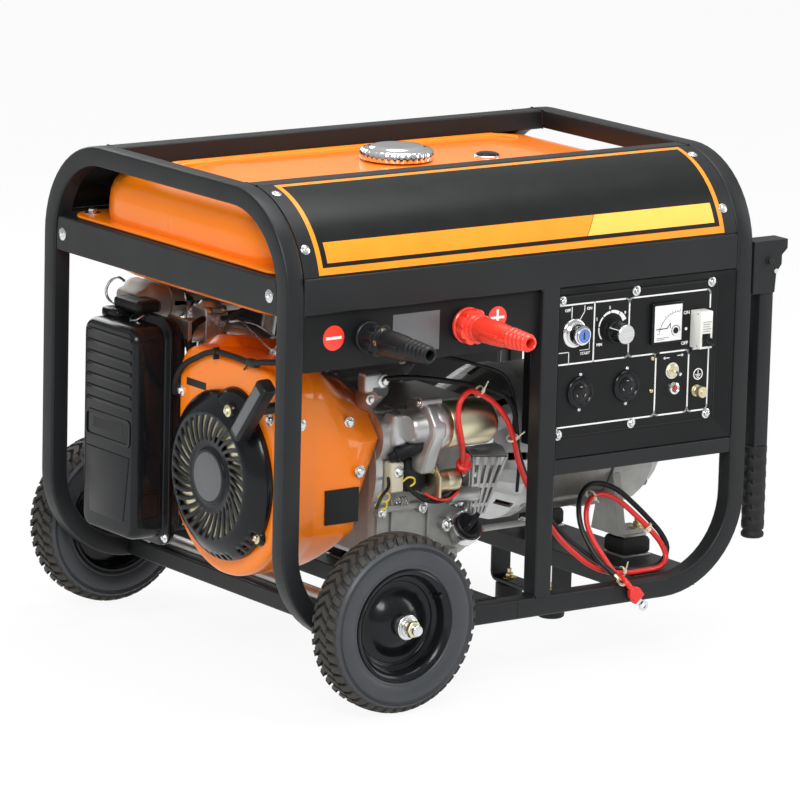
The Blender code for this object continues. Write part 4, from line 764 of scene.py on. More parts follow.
def visors():
    span = ((0.0256, 12.3), (LENGTH - 0.0256, 12.3), (LENGTH - 0.0256, 81.9), (0.0256, 81.9))
    for name, side in (("front", -1), ("rear", 1)):
        shape = Shape(name + "_visor_sheet", "paint_black")
        visor_sheet(shape, side, span, 0.1243, 0.0016, 26)
        shape.done(replaces=(name + "_visor",))
        shape = Shape(name + "_visor_bolts", "zinc")
        for x, angle in ((0.0345, 28.5), (0.0370, 70.0), (LENGTH - 0.0395, 69.2), (LENGTH - 0.0410, 27.6)):
            place = visor_point(side, 0.1243, angle, x)
            outward = Vector(visor_point(side, 1.0, angle, x)) - Vector(place)
            shape.bolt(place, outward, 0.0038, washer=0.0062, height=0.0020, kind="socket")
        shape.done()
    label = Shape("front_visor_label", "label_black", "label_orange", "label_yellow")
    left, right = 0.0475, 0.6695
    low, high = 13.2, 80.5
    label.use("label_orange")
    visor_sheet(label, -1, ((left, low), (right, low), (right, high), (left, high)), 0.12455, 0.0003, 26)
    label.use("label_black")
    inner_left, inner_right, inner_low, inner_high = left + 0.0066, right - 0.0066, 17.2, 77.0
    visor_sheet(
        label, -1, ((inner_left, inner_low), (inner_right, inner_low), (inner_right, inner_high),
                    (inner_left, inner_high)), 0.12475, 0.0003, 26,
    )
    stripe_low, stripe_high = 19.6, 31.6
    stripe_left, stripe_right = inner_left + 0.0075, inner_right - 0.0075
    label.use("label_orange")
    visor_sheet(
        label, -1, ((stripe_left, stripe_low), (0.4535, stripe_low), (0.4710, stripe_high),
                    (stripe_left, stripe_high)), 0.12492, 0.0003, 10,
    )
    label.use("label_yellow")
    visor_sheet(
        label, -1, ((0.4545, stripe_low), (stripe_right, stripe_low), (stripe_right, stripe_high),
                    (0.4720, stripe_high)), 0.12492, 0.0003, 10,
    )
    label.done()


frame_loops()
frame_details()
visors()


# ---------------------------------------------------------------- feet, axle and wheels
def feet():
    for name, side in (("front", -1), ("rear", 1)):
        profile = [(0, 0.0266), (0.0165, 0.0266), (0.0180, 0.0250), (0.0180, 0.004), (0.0172, 0.0012), (0.0155, 0)]
        shape = Shape(name + "_foot", "rubber", "brass")
        shape.use("rubber").turned([*profile, (0, 0)], (0.585, side * 0.046, 0), (0, 0, 1), 40)
        shape.use("brass").bolt((0.585, side * 0.046, 0.0322), (0, 0, 1), 0.0055, height=0.0060)
        shape.rod((0.585, side * 0.046, 0.038), (0.585, side * 0.046, 0.045), 0.0030)
        shape.done(replaces=(name + "_support_foot",))


def axle():
    shape = Shape("axle_shaft", "steel", "zinc", "brass", "gold")
    shape.use("steel").rod((AXLE_X, -0.3560, AXLE_Z), (AXLE_X, 0.3560, AXLE_Z), 0.0080, steps=32)
    for side in (-1, 1):
        shape.use("steel").box(
            (AXLE_X - 0.011, AXLE_X + 0.011),
            tuple(sorted((side * 0.205, side * 0.235))),
            (RAIL_HIGH + 0.0003, AXLE_Z),
            0.001,
        )
        shape.use("zinc")
        out = Vector((0, side, 0))
        hub = Vector((AXLE_X, side * WHEEL_Y, AXLE_Z))
        shape.rod(hub - out * 0.030, hub - out * 0.0225, 0.013, steps=32, bevel=0.0006)
        shape.use("steel").turned([(0, 0.0182), (0.0120, 0.0182), (0.0125, 0.0188), (0.0125, 0.0292), (0, 0.0292)],
                                  hub, out, 40)
        washer = [(0, 0.0288), (0.0153, 0.0288), (0.0155, 0.0294), (0.0155, 0.0302), (0.0148, 0.0308), (0.0118, 0.0308)]
        washer += [(0.0115, 0.0314), (0.0112, 0.0336), (0.0104, 0.0342), (0, 0.0342)]
        shape.use("zinc").turned(washer, hub, out, 48)
        shape.use("brass").turned([(0, 0.034), (0.0080, 0.034), (0.0080, 0.0368), (0, 0.0368)], hub, out, 32)
        shape.use("gold").hexagon(hub + out * 0.0366, out, 0.0110, 0.0084)
        shape.use("zinc").turned(
            [(0, 0.044), (0.0070, 0.044), (0.0070, 0.0502), (0.0062, 0.0512), (0.0036, 0.0516), (0, 0.0516)],
            hub, out, 32, bevel=0.0,
        )
    shape.done(replaces=("axle",))


def tread_block(shape, centre, side, pitch, start, ends, radii, width, lean):
    """A slanted tread bar from one width to another, following the tyre's crown."""
    rings = []
    steps = 4
    for step in range(steps + 1):
        t = step / steps
        y = ends[0] + (ends[1] - ends[0]) * t
        top = radii[0] + (radii[1] - radii[0]) * t * t
        middle = start + lean * t
        ring = []
        for offset, radius in ((-width / 2, top - 0.0062), (-width * 0.42, top), (width * 0.42, top),
                               (width / 2, top - 0.0062)):
            angle = middle + offset
            ring.append(centre + Vector((radius * math.cos(angle), side * y, radius * math.sin(angle))))
        rings.append(ring)
    shape.skin(rings)


def wheels():
    carcass = [(0.1058, 0), (0.1056, 0.010), (0.1045, 0.017), (0.1022, 0.0232), (0.0998, 0.0256)]
    for level in (0.0985, 0.0968, 0.0951):
        carcass += [(level + 0.0007, 0.0262), (level + 0.0003, 0.0271), (level - 0.0003, 0.0271),
                    (level - 0.0007, 0.0264)]
    carcass += [(0.0930, 0.0271), (0.0900, 0.0278), (0.0865, 0.0280), (0.0825, 0.0276), (0.0785, 0.0265)]
    carcass += [(0.0762, 0.0254), (0.0748, 0.0246), (0.0738, 0.0248), (0.0726, 0.0244), (0.0712, 0.0232)]
    carcass += [(0.0704, 0.0222), (0.0650, 0.0180), (0.0632, 0.0139)]
    rim = [(0.0084, 0.0180), (0.0140, 0.0182), (0.0175, 0.0176), (0.0215, 0.0163), (0.0260, 0.0143)]
    rim += [(0.0305, 0.0115), (0.0345, 0.0082), (0.0380, 0.0048), (0.0410, 0.0026), (0.0435, 0.0017)]
    rim += [(0.0480, 0.0016), (0.0510, 0.0018), (0.0525, 0.0030), (0.0532, 0.0050), (0.0545, 0.0058)]
    rim += [(0.0572, 0.0062), (0.0588, 0.0072), (0.0596, 0.0100), (0.0602, 0.0160), (0.0612, 0.0195)]
    rim += [(0.0636, 0.0218), (0.0664, 0.0240), (0.0684, 0.0244), (0.0698, 0.0236), (0.0701, 0.0222)]
    rim += [(0.0694, 0.0205), (0.0640, 0.0160), (0.0625, 0.0130)]
    back = [(0.0625, -0.0130), (0.0694, -0.0205), (0.0701, -0.0222), (0.0690, -0.0240), (0.0664, -0.0240)]
    back += [(0.0620, -0.0200), (0.0596, -0.0120), (0.0586, -0.0010), (0.0430, -0.0012), (0.0390, 0.0020)]
    back += [(0.0300, 0.0090), (0.0145, 0.0130), (0.0140, -0.0220), (0.0084, -0.0220)]
    blocks = 46
    for name, side in (("front", -1), ("rear", 1)):
        centre = Vector((AXLE_X, side * WHEEL_Y, AXLE_Z))
        shape = Shape(name + "_tyre_tread", "sidewall", "tread")
        shape.use("sidewall")
        profile = carcass + [(radius, -along) for radius, along in reversed(carcass[1:])]
        shape.turned(profile, centre, (0, side, 0), 96, closed_profile=True)
        shape.use("tread")
        pitch = math.tau / blocks
        for index in range(blocks):
            start = index * pitch
            for half in (-1, 1):
                ends = (half * 0.0002 if half > 0 else -0.0002, half * 0.0118)
                tread_block(shape, centre, 1, pitch, start, ends, (0.1109, 0.1104), pitch * 0.66, pitch * 0.62)
                ends = (half * 0.0132, half * 0.0232)
                tread_block(shape, centre, 1, pitch, start + pitch * 0.86, ends, (0.1102, 0.1055), pitch * 0.62,
                            pitch * 0.30)
        shape.done(name + "_wheel", (name + "_tyre",), slot="tyre")
        shape = Shape(name + "_wheel_rim", "plastic_gloss")
        shape.turned(rim + back, centre, (0, side, 0), 96, closed_profile=True)
        shape.rod(centre + Vector((0.050, side * 0.012, 0.028)), centre + Vector((0.053, side * 0.024, 0.031)),
                  0.0032, 0.0028, 16)
        shape.done(name + "_wheel", (name + "_rim",))


feet()
axle()
wheels()


# ---------------------------------------------------------------- fuel tank
TANK_INSET = 0.024
TANK_HALF = 0.215
TANK_CORNER = 0.078
CAP = Vector((0.352, 0, 0.6193))


def tank_ring(inset, z, corner=TANK_CORNER):
    x = (TANK_INSET + inset, LENGTH - TANK_INSET - inset)
    y = (-TANK_HALF + inset, TANK_HALF - inset)
    return [(u, v, z) for u, v in rounded(x, y, max(corner - inset, 0.012), 12)]


def fuel_tank():
    shape = Shape("tank_shell", "orange", "label_black")
    levels = [(0.046, 0.4680), (0.030, 0.4692), (0.016, 0.4760), (0.007, 0.4900), (0.003, 0.5020), (0.002, 0.5240)]
    levels += [(0.0015, 0.5385), (0.0005, 0.5430), (0.0000, 0.5520), (0.0004, 0.5640), (0.0020, 0.5760)]
    levels += [(0.0058, 0.5860), (0.0120, 0.5940), (0.0200, 0.5995), (0.0300, 0.6030), (0.0430, 0.6052)]
    levels += [(0.0600, 0.6066), (0.0800, 0.6080), (0.1050, 0.6110), (0.1300, 0.6140), (0.1500, 0.6150)]
    shape.use("orange").skin([tank_ring(*level) for level in levels])
    flange = rounded((0.011, LENGTH - 0.011), (-0.236, 0.236), 0.030, 10)
    shape.prism(flange, 0.5345, 0.5384, "Z", 0.0014, 3)
    edge = [(0.0125, 0.0), (0.0125, 0.0)]
    for y in (0.112, 0.136, -0.112, -0.136):
        height = 0.6098 if abs(y) < 0.12 else 0.6074
        route = smooth([(0.085, y, height - 0.004), (0.105, y, height), (0.6, y, height), (0.625, y, height - 0.004)],
                       0.02)
        shape.tube(route, 0.0042, 12, flat=1.0)
    shape.use("label_black")
    gasket = rounded((0.0125, LENGTH - 0.0125), (-0.2345, 0.2345), 0.029, 10)
    shape.prism(gasket, 0.5312, 0.5346, "Z", 0.0008)
    shape.use("orange").rod((CAP.x, CAP.y, 0.611), (CAP.x, CAP.y, 0.6188), 0.040, 0.034, 48)
    shape.done(replaces=("fuel_tank",))
    shape = Shape("tank_bolts", "zinc")
    for x in (0.036, LENGTH - 0.036):
        for y in (-0.2165, 0.2165):
            shape.bolt((x, y, 0.5384), (0, 0, 1), 0.0062, height=0.0050)
    shape.done()


def fuel_cap():
    shape = Shape("fuel_cap_chrome", "chrome", "steel")
    base = CAP
    steps = 144
    rings = []
    for radius, level, knurl in (
        (0.0430, -0.0020, 0), (0.0462, -0.0018, 0), (0.0470, -0.0008, 1), (0.0470, 0.0070, 1), (0.0458, 0.0092, 1),
        (0.0436, 0.0108, 0), (0.0400, 0.0116, 0), (0.0365, 0.0120, 0), (0.0345, 0.0132, 0), (0.0320, 0.0148, 0),
        (0.0270, 0.0153, 0), (0.0120, 0.0155, 0),
    ):
        ring = []
        for step in range(steps):
            angle = math.tau * step / steps
            r = radius - (0.0010 if knurl and step % 4 in (0, 1) else 0)
            ring.append(base + Vector((r * math.cos(angle), r * math.sin(angle), level)))
        rings.append(ring)
    shape.use("chrome").skin([[base + Vector((0, 0, -0.002))], *rings, [base + Vector((0, 0, 0.0155))]])
    shape.use("steel").rod(base - Vector((0, 0, 0.010)), base, 0.028, steps=40)
    shape.done("fuel_cap", ("fuel_cap",))
    gauge = Shape("fuel_gauge", "plastic_gloss", "zinc", "white", "red")
    centre = Vector((0.4720, -0.0310, 0.6105))
    gauge.use("zinc").turned([(0, 0), (0.0170, 0), (0.0170, 0.0058), (0.0158, 0.0068), (0, 0.0068)], centre, (0, 0, 1), 40)
    gauge.use("plastic_gloss").turned(
        [(0, 0.0064), (0.0152, 0.0064), (0.0148, 0.0082), (0.0115, 0.0098), (0.0060, 0.0108), (0, 0.0110)],
        centre, (0, 0, 1), 40,
    )
    gauge.done()


fuel_tank()
fuel_cap()


# ---------------------------------------------------------------- fan cowl and recoil starter
def cowl_ring(x, shrink):
    foot, half, top, shoulder = 0.128 - shrink, 0.112 - shrink, 0.400 - shrink, 0.046
    lean = math.degrees(math.acos(half / foot))
    ring = arc((CRANK_Y, CRANK_Z), foot, 180 + lean, 360 - lean, 30)
    right = CRANK_Y + half - 0.006
    ring += [(right, 0.225), (right + 0.002, 0.290), (right + 0.002, 0.340)]
    ring += arc((right - 0.036, top - 0.038), 0.038, 0, 90, 8)
    ring += arc((CRANK_Y - half + shoulder, top - shoulder), shoulder, 90, 180, 12)
    ring += [(CRANK_Y - half, 0.300), (CRANK_Y - half, 0.230)]
    return [(x, y, z) for y, z in ring]


COWL_EDGE = (
    (0.120, 0.126), (0.140, 0.146), (0.163, 0.168), (0.182, 0.184), (0.207, 0.196), (0.238, 0.195), (0.248, 0.198),
    (0.281, 0.216), (0.295, 0.226), (0.500, 0.226),
)  # (z, x) along the cowl's right edge


def cowl_place(x, y, z):
    """Draws the cowl's back part in to its right edge and rounds its top towards the crankcase."""
    start = 0.118
    if x <= start:
        return Vector((x, y, z))
    share = (x - start) / (0.226 - start)
    edge = COWL_EDGE[0][1]
    for (low, low_x), (high, high_x) in zip(COWL_EDGE, COWL_EDGE[1:]):
        if low <= z <= high:
            edge = low_x + (high_x - low_x) * (z - low) / (high - low)
    blend = share * share * (3 - 2 * share)
    rise = min(1.0, max(0.0, (z - 0.270) / 0.060))
    blend *= rise * rise * (3 - 2 * rise)
    aside = Vector((y - CRANK_Y, z - CRANK_Z))
    if aside.length > 0.104:
        aside = aside.lerp(aside.normalized() * 0.104, blend)
    return Vector((start + share * (edge - start), CRANK_Y + aside.x, CRANK_Z + aside.y))


def fan_cowl():
    shape = Shape("cowl_shell", "orange")

    def well(x, radius, like):
        ring = []
        for _, y, z in like:
            angle = math.atan2(z - CRANK_Z, y - CRANK_Y)
            ring.append((x, CRANK_Y + radius * math.cos(angle), CRANK_Z + radius * math.sin(angle)))
        return ring

    like = cowl_ring(0.0, 0.0)
    rings = [well(0.1560, 0.0985, like), well(0.0660, 0.0985, like), well(0.0620, 0.0960, like)]
    for x, shrink in ((0.0620, 0.0100), (0.0622, 0.0070), (0.0632, 0.0040), (0.0655, 0.0016), (0.0690, 0.0003)):
        rings.append(cowl_ring(x, shrink))
    for x, shrink in ((0.0740, 0.0), (0.1160, 0.0), (0.1180, 0.0010), (0.1300, 0.0010), (0.1450, 0.0010),
                      (0.1600, 0.0010), (0.1750, 0.0010), (0.1900, 0.0010), (0.2080, 0.0010)):
        rings.append(cowl_ring(x, shrink))
    rings += [cowl_ring(0.2170, 0.0035), cowl_ring(0.2245, 0.0100), cowl_ring(0.2260, 0.0150)]
    shape.skin([[cowl_place(*place) for place in ring] for ring in rings])
    shape.done(replaces=("fan_cowl",), sharp=32)

    shroud = Shape("cylinder_shroud", "orange", "zinc")
    section = [(-0.030, 0.392), (0.000, 0.414), (0.030, 0.411), (0.056, 0.400), (0.060, 0.310), (-0.030, 0.310)]
    rings = []
    for x, drop, shrink in ((0.0700, 0.028, 0.003), (0.0730, 0.026, 0.0), (0.1080, 0.002, 0.0), (0.1400, 0.007, 0.0),
                            (0.2180, 0.023, 0.0), (0.2250, 0.027, 0.003)):
        rings.append([(x, y, max(0.310, z - drop - shrink)) for y, z in section])
    shroud.soften(shroud.skin(rings), 0.005, 3)
    shroud.use("zinc").bolt((0.1900, 0.0300, 0.3930), (0.12, 0.2, 1), 0.0044, height=0.0034)
    shroud.done()

    shape = Shape("cowl_labels", "label_black")
    shape.prism([(0.0335, 0.3575), (-0.0100, 0.3575), (-0.0100, 0.3482), (0.0335, 0.3482)], 0.0617, 0.0621, "X")
    shape.prism([(0.1360, 0.2430), (0.1870, 0.2430), (0.1870, 0.1990), (0.1360, 0.1990)], -0.1674, -0.1668, "Y")
    shape.done()

    shape = Shape("cowl_bolts", "zinc", "gold")
    for y, z in ((-0.152, 0.338), (0.046, 0.338), (0.050, 0.206)):
        shape.use("zinc").bolt((0.0621, y, z), (-1, 0, 0), 0.0045, height=0.0034)
    for x, z in ((0.098, 0.330), (0.180, 0.322), (0.188, 0.262)):
        place = cowl_place(x, -0.1669, z)
        shape.use("zinc").bolt((x, place.y, z), (0, -1, 0), 0.0046, height=0.0034)
    shape.done()


def recoil_cover():
    """The slotted dome as one sheet; the slots are gaps between its swirled columns."""
    rim_x = 0.0617
    slots, columns = 33, 6
    steps = slots * columns
    profile = [(0.1070, 0.0000, 0), (0.1070, 0.0050, 0), (0.1058, 0.0080, 1), (0.1015, 0.0120, 1), (0.0985, 0.0145, 0)]
    profile += [(0.0945, 0.0178, 0), (0.0905, 0.0206, 0), (0.0870, 0.0228, 0), (0.0835, 0.0244, 0)]
    profile += [(0.0800, 0.0252, 0), (0.0775, 0.0254, 2), (0.0660, 0.0250, 2), (0.0560, 0.0240, 2), (0.0470, 0.0228, 0)]
    profile += [(0.0440, 0.0222, 0), (0.0400, 0.0216, 0), (0.0375, 0.0216, 0), (0.0360, 0.0226, 0), (0.0352, 0.0246, 0)]
    profile += [(0.0340, 0.0254, 0), (0.0320, 0.0254, 0), (0.0180, 0.0250, 0)]
    shape = Shape("recoil_dome", "plastic_gloss", "label_grey")
    rings = []
    for radius, along, _ in profile:
        twist = math.radians(15.0) * min(1.0, max(0.0, (radius - 0.045) / 0.0345))
        ring = []
        for step in range(steps):
            angle = math.tau * step / steps + twist
            ring.append((rim_x - along, CRANK_Y + radius * math.cos(angle), CRANK_Z + radius * math.sin(angle)))
        rings.append(ring)
    verts = [[shape.point(place) for place in ring] for ring in rings]
    centre = shape.point((rim_x - 0.0250, CRANK_Y, CRANK_Z))
    for level, (ring, after) in enumerate(zip(verts, verts[1:])):
        band = profile[level][2]
        for step in range(steps):
            following = (step + 1) % steps
            degrees = 360.0 * step / steps
            if band == 2 and step % columns in (1, 2, 3):
                continue
            louvre = 236 < degrees < 304 or 196 < degrees < 222 or 318 < degrees < 344
            if band == 1 and louvre and step % 4 in (1, 2):
                continue
            shape.face([ring[step], ring[following], after[following], after[step]])
    for step in range(steps):
        shape.face([verts[-1][step], verts[-1][(step + 1) % steps], centre])
    obj = shape.done(replaces=("recoil_cover",), sharp=40)
    wall = obj.modifiers.new("wall", "SOLIDIFY")
    wall.thickness = 0.0022
    wall.offset = -1

    shape = Shape("recoil_details", "plastic_gloss", "label_grey", "gold", "brass")
    shape.use("label_grey").turned(
        [(0, 0.0), (0.0305, 0.0), (0.0305, 0.0008), (0.0295, 0.0012), (0, 0.0012)],
        (rim_x - 0.0248, CRANK_Y, CRANK_Z), (-1, 0, 0), 64,
    )
    # Gold ring just behind the slots: partly the gold fan brought close, partly a painted sheen so that every slot
    # shows gold.
    shape.use("gold").turned([(0.0430, 0.0170), (0.0560, 0.0185), (0.0800, 0.0192), (0.0800, 0.0180), (0.0430, 0.0158)],
                              (rim_x, CRANK_Y, CRANK_Z), (-1, 0, 0), 72, closed_profile=True)
    shape.use("plastic_gloss").turned(
        [(0, 0.0185), (0.022, 0.0182), (0.036, 0.0168), (0.045, 0.0128), (0.0505, 0.0070), (0.0525, 0.0015), (0.0525, 0)],
        (rim_x + 0.0002, -0.0790, 0.3130), (-1, 0, 0), 56,
    )
    for y, z in ((-0.0914, 0.3399), (-0.137, 0.187), (0.046, 0.262), (-0.018, 0.158)):
        lobe = (y, z) != (-0.0914, 0.3399)
        base = Vector((rim_x + 0.0002 if lobe else rim_x - 0.0150, y, z))
        shape.use("plastic_gloss").turned(
            [(0, 0.0065), (0.0085, 0.0065), (0.0102, 0.0050), (0.0112, 0), (0, 0)], base, (-1, 0, 0), 28
        )
        shape.use("gold").bolt(base + Vector((-0.0065, 0, 0)), (-1, 0, 0), 0.0045, height=0.0032)
    shape.done()


def fan_blades():
    """Curved vanes of the flywheel fan, seen through the cover's slots."""
    shape = Shape("fan_vanes", "brass")
    count = 22
    for index in range(count):
        start = math.tau * index / count
        rings = []
        for step in range(5):
            t = step / 4
            radius = 0.058 + 0.036 * t
            angle = start + 0.30 * t
            y, z = CRANK_Y + radius * math.cos(angle), CRANK_Z + radius * math.sin(angle)
            thick = Vector((0, -math.sin(angle), math.cos(angle))) * 0.0009
            low, high = Vector((0.082, y, z)), Vector((0.110, y, z))
            rings.append([low - thick, low + thick, high + thick, high - thick])
        shape.skin(rings)
    ring = [(0.056, 0.0), (0.0945, 0.0), (0.0945, 0.0025), (0.056, 0.0025)]
    shape.turned(ring, (0.1095, CRANK_Y, CRANK_Z), (1, 0, 0), 64, closed_profile=True)
    # Brass screen in front of the vanes: partly a guessed screen, partly a painted brass sheen seen through the slots.
    screen = [(0.0300, 0.0), (0.0905, 0.0), (0.0905, 0.0012), (0.0300, 0.0012)]
    shape.turned(screen, (0.0790, CRANK_Y, CRANK_Z), (1, 0, 0), 64, closed_profile=True)
    shape.turned([(0, 0), (0.031, 0), (0.034, 0.012), (0.034, 0.030), (0, 0.030)], (0.0700, CRANK_Y, CRANK_Z),
                 (1, 0, 0), 40)
    shape.done("crank_train")


def recoil_grip():
    middle = Vector((0.029, CRANK_Y - 0.108, CRANK_Z + 0.105))
    along = Vector((0, -0.625, 0.78)).normalized()
    turn = Matrix((Vector((1, 0, 0)), along.cross(Vector((1, 0, 0))), along)).transposed().to_4x4()
    shape = Shape("recoil_handle", "plastic_black", "label_grey")
    shape.at(Matrix.Translation(middle) @ turn).use("plastic_black")
    rings = []
    for level, half_x, half_y, corner in (
        (-0.0480, 0.0070, 0.0080, 0.0040), (-0.0470, 0.0090, 0.0100, 0.0045), (-0.0440, 0.0104, 0.0114, 0.0048),
        (-0.0250, 0.0100, 0.0108, 0.0046), (0.0, 0.0108, 0.0118, 0.0048), (0.0250, 0.0100, 0.0108, 0.0046),
        (0.0440, 0.0104, 0.0114, 0.0048), (0.0470, 0.0090, 0.0100, 0.0045), (0.0480, 0.0070, 0.0080, 0.0040),
    ):
        rings.append([(u, v, level) for u, v in rounded((-half_x, half_x), (-half_y, half_y), corner, 5)])
    shape.skin(rings)
    shape.use("label_grey")
    shape.box((-0.0112, -0.0098), (-0.0068, 0.0068), (-0.0400, 0.0400), 0.0006)
    shape.at().use("plastic_black")
    seat = Vector((0.0612, middle.y, middle.z))
    shape.turned([(0, 0), (0.0105, 0), (0.0095, 0.006), (0.0072, 0.012), (0.0072, 0.0345), (0, 0.0345)],
                 middle + Vector((0.0, 0, 0)), seat - middle, 28)
    shape.done("recoil_grip", ("recoil_grip",))


fan_cowl()
recoil_cover()
fan_blades()
recoil_grip()
restyle("flywheel_fan", "gold")
restyle("crankshaft", "steel")


# ---------------------------------------------------------------- air cleaner
def air_ring(x, y, z, shrink, corner):
    return [(x, u, v) for u, v in rounded((y[0] + shrink, y[1] - shrink), (z[0] + shrink, z[1] - shrink), corner, 7)]


def air_cleaner():
    y, z = (0.088, 0.210), (0.137, 0.410)
    shape = Shape("air_cover", "plastic_gloss", "label_black", "zinc")
    rings = [air_ring(0.0762, y, z, -0.010, 0.022), air_ring(0.0722, y, z, -0.0100, 0.022)]
    rings += [air_ring(0.0716, y, z, -0.0080, 0.021), air_ring(0.0706, y, z, -0.0080, 0.021)]
    rings += [air_ring(0.0700, y, z, -0.0100, 0.022), air_ring(0.0672, y, z, -0.0098, 0.022)]
    rings += [air_ring(0.0664, y, z, -0.0085, 0.021), air_ring(0.0658, y, z, -0.0020, 0.019)]
    rings += [air_ring(0.0640, y, z, 0.0, 0.018), air_ring(0.0400, y, z, 0.0, 0.018), air_ring(0.0300, y, z, 0.0004, 0.018)]
    rings += [air_ring(0.0250, y, z, 0.0018, 0.017), air_ring(0.0220, y, z, 0.0034, 0.016)]
    rings += [air_ring(0.0205, y, z, 0.0052, 0.014), air_ring(0.0200, y, z, 0.0074, 0.012)]
    shape.use("plastic_gloss").skin(rings)
    for level in (0.3955, 0.3805, 0.3660, 0.3515, 0.3370, 0.3220, 0.3068):
        outline = rounded((0.0960, 0.2010), (level - 0.0026, level + 0.0026), 0.0025, 4)
        shape.prism(outline, 0.0182, 0.0206, "X", 0.0010, 2)
    outer = rounded((0.0965, 0.2010), (0.2570, 0.2925), 0.0080, 6)
    inner = rounded((0.1000, 0.1975), (0.2610, 0.2885), 0.0050, 6)
    rings = [[(0.0204, *p) for p in outer], [(0.0190, *p) for p in outer], [(0.0184, *p) for p in outer]]
    rings += [[(0.0184, *p) for p in inner], [(0.0204, *p) for p in inner]]
    shape.skin(rings, caps=(False, False))
    tapered = [(0.0980, 0.2450), (0.2000, 0.2450), (0.1880, 0.1600), (0.1100, 0.1600)]
    shape.prism(tapered, 0.0188, 0.0206, "X", 0.0016, 3)
    shape.use("label_black").prism(
        [(0.1145, 0.2705), (0.1835, 0.2705), (0.1835, 0.2835), (0.1145, 0.2835)], 0.0198, 0.0203, "X"
    )
    shape.use("plastic_gloss")
    for low, high in ((0.1670, 0.1955), (0.2015, 0.2465)):
        outer = rounded((0.0335, 0.0590), (low - 0.002, high + 0.002), 0.0035, 4)
        inner = rounded((0.0355, 0.0570), (low, high), 0.0025, 4)
        rings = [[(u, 0.0882, v) for u, v in outer], [(u, 0.0868, v) for u, v in outer]]
        rings += [[(u, 0.0868, v) for u, v in inner], [(u, 0.0882, v) for u, v in inner]]
        shape.skin(rings, caps=(False, False))
    shape.use("zinc").bolt((0.0664, 0.0850, 0.1400), (-1, 0, 0), 0.0040, height=0.0030)
    shape.use("plastic_gloss").box((0.0440, 0.0700), (0.1700, 0.2080), (0.4060, 0.4200), 0.0050, 3)
    shape.done(replaces=("air_cleaner_cover",))
    restyle("air_cleaner_case", "plastic_black", 0.0012)

    wires = Shape("air_cover_clips", "zinc")
    for middle in (0.150, 0.182):
        route = [(0.0780, -0.0090, 0.4165), (0.0710, -0.0090, 0.4180), (0.0610, -0.0084, 0.4140)]
        route += [(0.0560, -0.0060, 0.4105), (0.0545, 0.0, 0.4095), (0.0560, 0.0060, 0.4105)]
        route += [(0.0610, 0.0084, 0.4140), (0.0710, 0.0090, 0.4180), (0.0780, 0.0090, 0.4165)]
        wires.tube(smooth([(x, middle + y, z) for x, y, z in route], 0.003), 0.0013, 8)
        wires.tube(smooth([(x, middle + y, 0.547 - z) for x, y, z in route], 0.003), 0.0013, 8)
    hook = [(0.0600, 0.1780, 0.4555), (0.0600, 0.1900, 0.4575), (0.0600, 0.2030, 0.4540), (0.0600, 0.2140, 0.4460)]
    hook += [(0.0600, 0.2200, 0.4360), (0.0600, 0.2160, 0.4270), (0.0600, 0.2020, 0.4230), (0.0600, 0.1800, 0.4280)]
    wires.tube(smooth(hook, 0.003), 0.0019, 10)
    wires.done()


def muffler():
    x, y, z = (0.098, 0.330), (0.162, 0.236), (0.402, 0.456)

    def oval(place, inset):
        """A section of the can, whose top falls away to the right."""
        fall = min(1.0, max(0.0, (place - 0.113) / 0.055))
        top = z[1] - 0.008 - 0.016 * fall
        ring = rounded((y[0] + inset, y[1] - inset), (z[0] + inset, top - inset), 0.018 - inset, 8)
        return [(place, u, v) for u, v in ring]

    shape = Shape("muffler_can", "heat_steel", "plastic_black", "chrome", "steel")
    rings = [oval(x[0], 0.012), oval(x[0] + 0.001, 0.006), oval(x[0] + 0.004, 0.0015), oval(x[0] + 0.008, 0)]
    for seam in (0.124, 0.300):
        rings += [oval(seam - 0.003, 0), oval(seam - 0.002, -0.0016), oval(seam + 0.002, -0.0016), oval(seam + 0.003, 0)]
    rings += [oval(x[1] - 0.008, 0), oval(x[1] - 0.004, 0.0015), oval(x[1] - 0.001, 0.006), oval(x[1], 0.012)]
    shape.use("heat_steel").skin(rings)
    shape.use("heat_steel").skin([oval(0.1075, -0.0010), oval(0.0995, -0.0010), oval(0.0945, 0.0020), oval(0.0900, 0.0070),
                                      oval(0.0800, 0.0100), oval(0.0780, 0.0125)])
    shape.use("chrome").skin([oval(0.1420, -0.0012), oval(0.1430, -0.0026), oval(0.1540, -0.0026), oval(0.1550, -0.0012)],
                             caps=(False, False))
    shape.box((0.141, 0.155), (0.1550, 0.1625), (0.390, 0.426), 0.001)
    shape.bolt((0.148, 0.1550, 0.414), (0, -1, 0), 0.0042, height=0.0034)
    lift = 0.178
    side = Vector((0.345, CRANK_Y + math.sin(math.radians(45)) * lift + 0.0583 * math.cos(math.radians(45)),
                   CRANK_Z + math.cos(math.radians(45)) * lift - 0.0583 * math.sin(math.radians(45))))
    out = Vector((0, 1, -1)).normalized()
    knee = side + out * 0.030
    rise = Vector((0.300, 0.199, knee.z + 0.010))
    route = [side, side + out * 0.012, knee, rise, Vector((0.300, 0.199, 0.410))]
    shape.use("steel").tube(smooth(route, 0.005), 0.011, 20)
    shape.rod((0.118, 0.205, 0.402), (0.118, 0.205, 0.385), 0.011, 0.012, 24)
    shape.done(replaces=("muffler",))


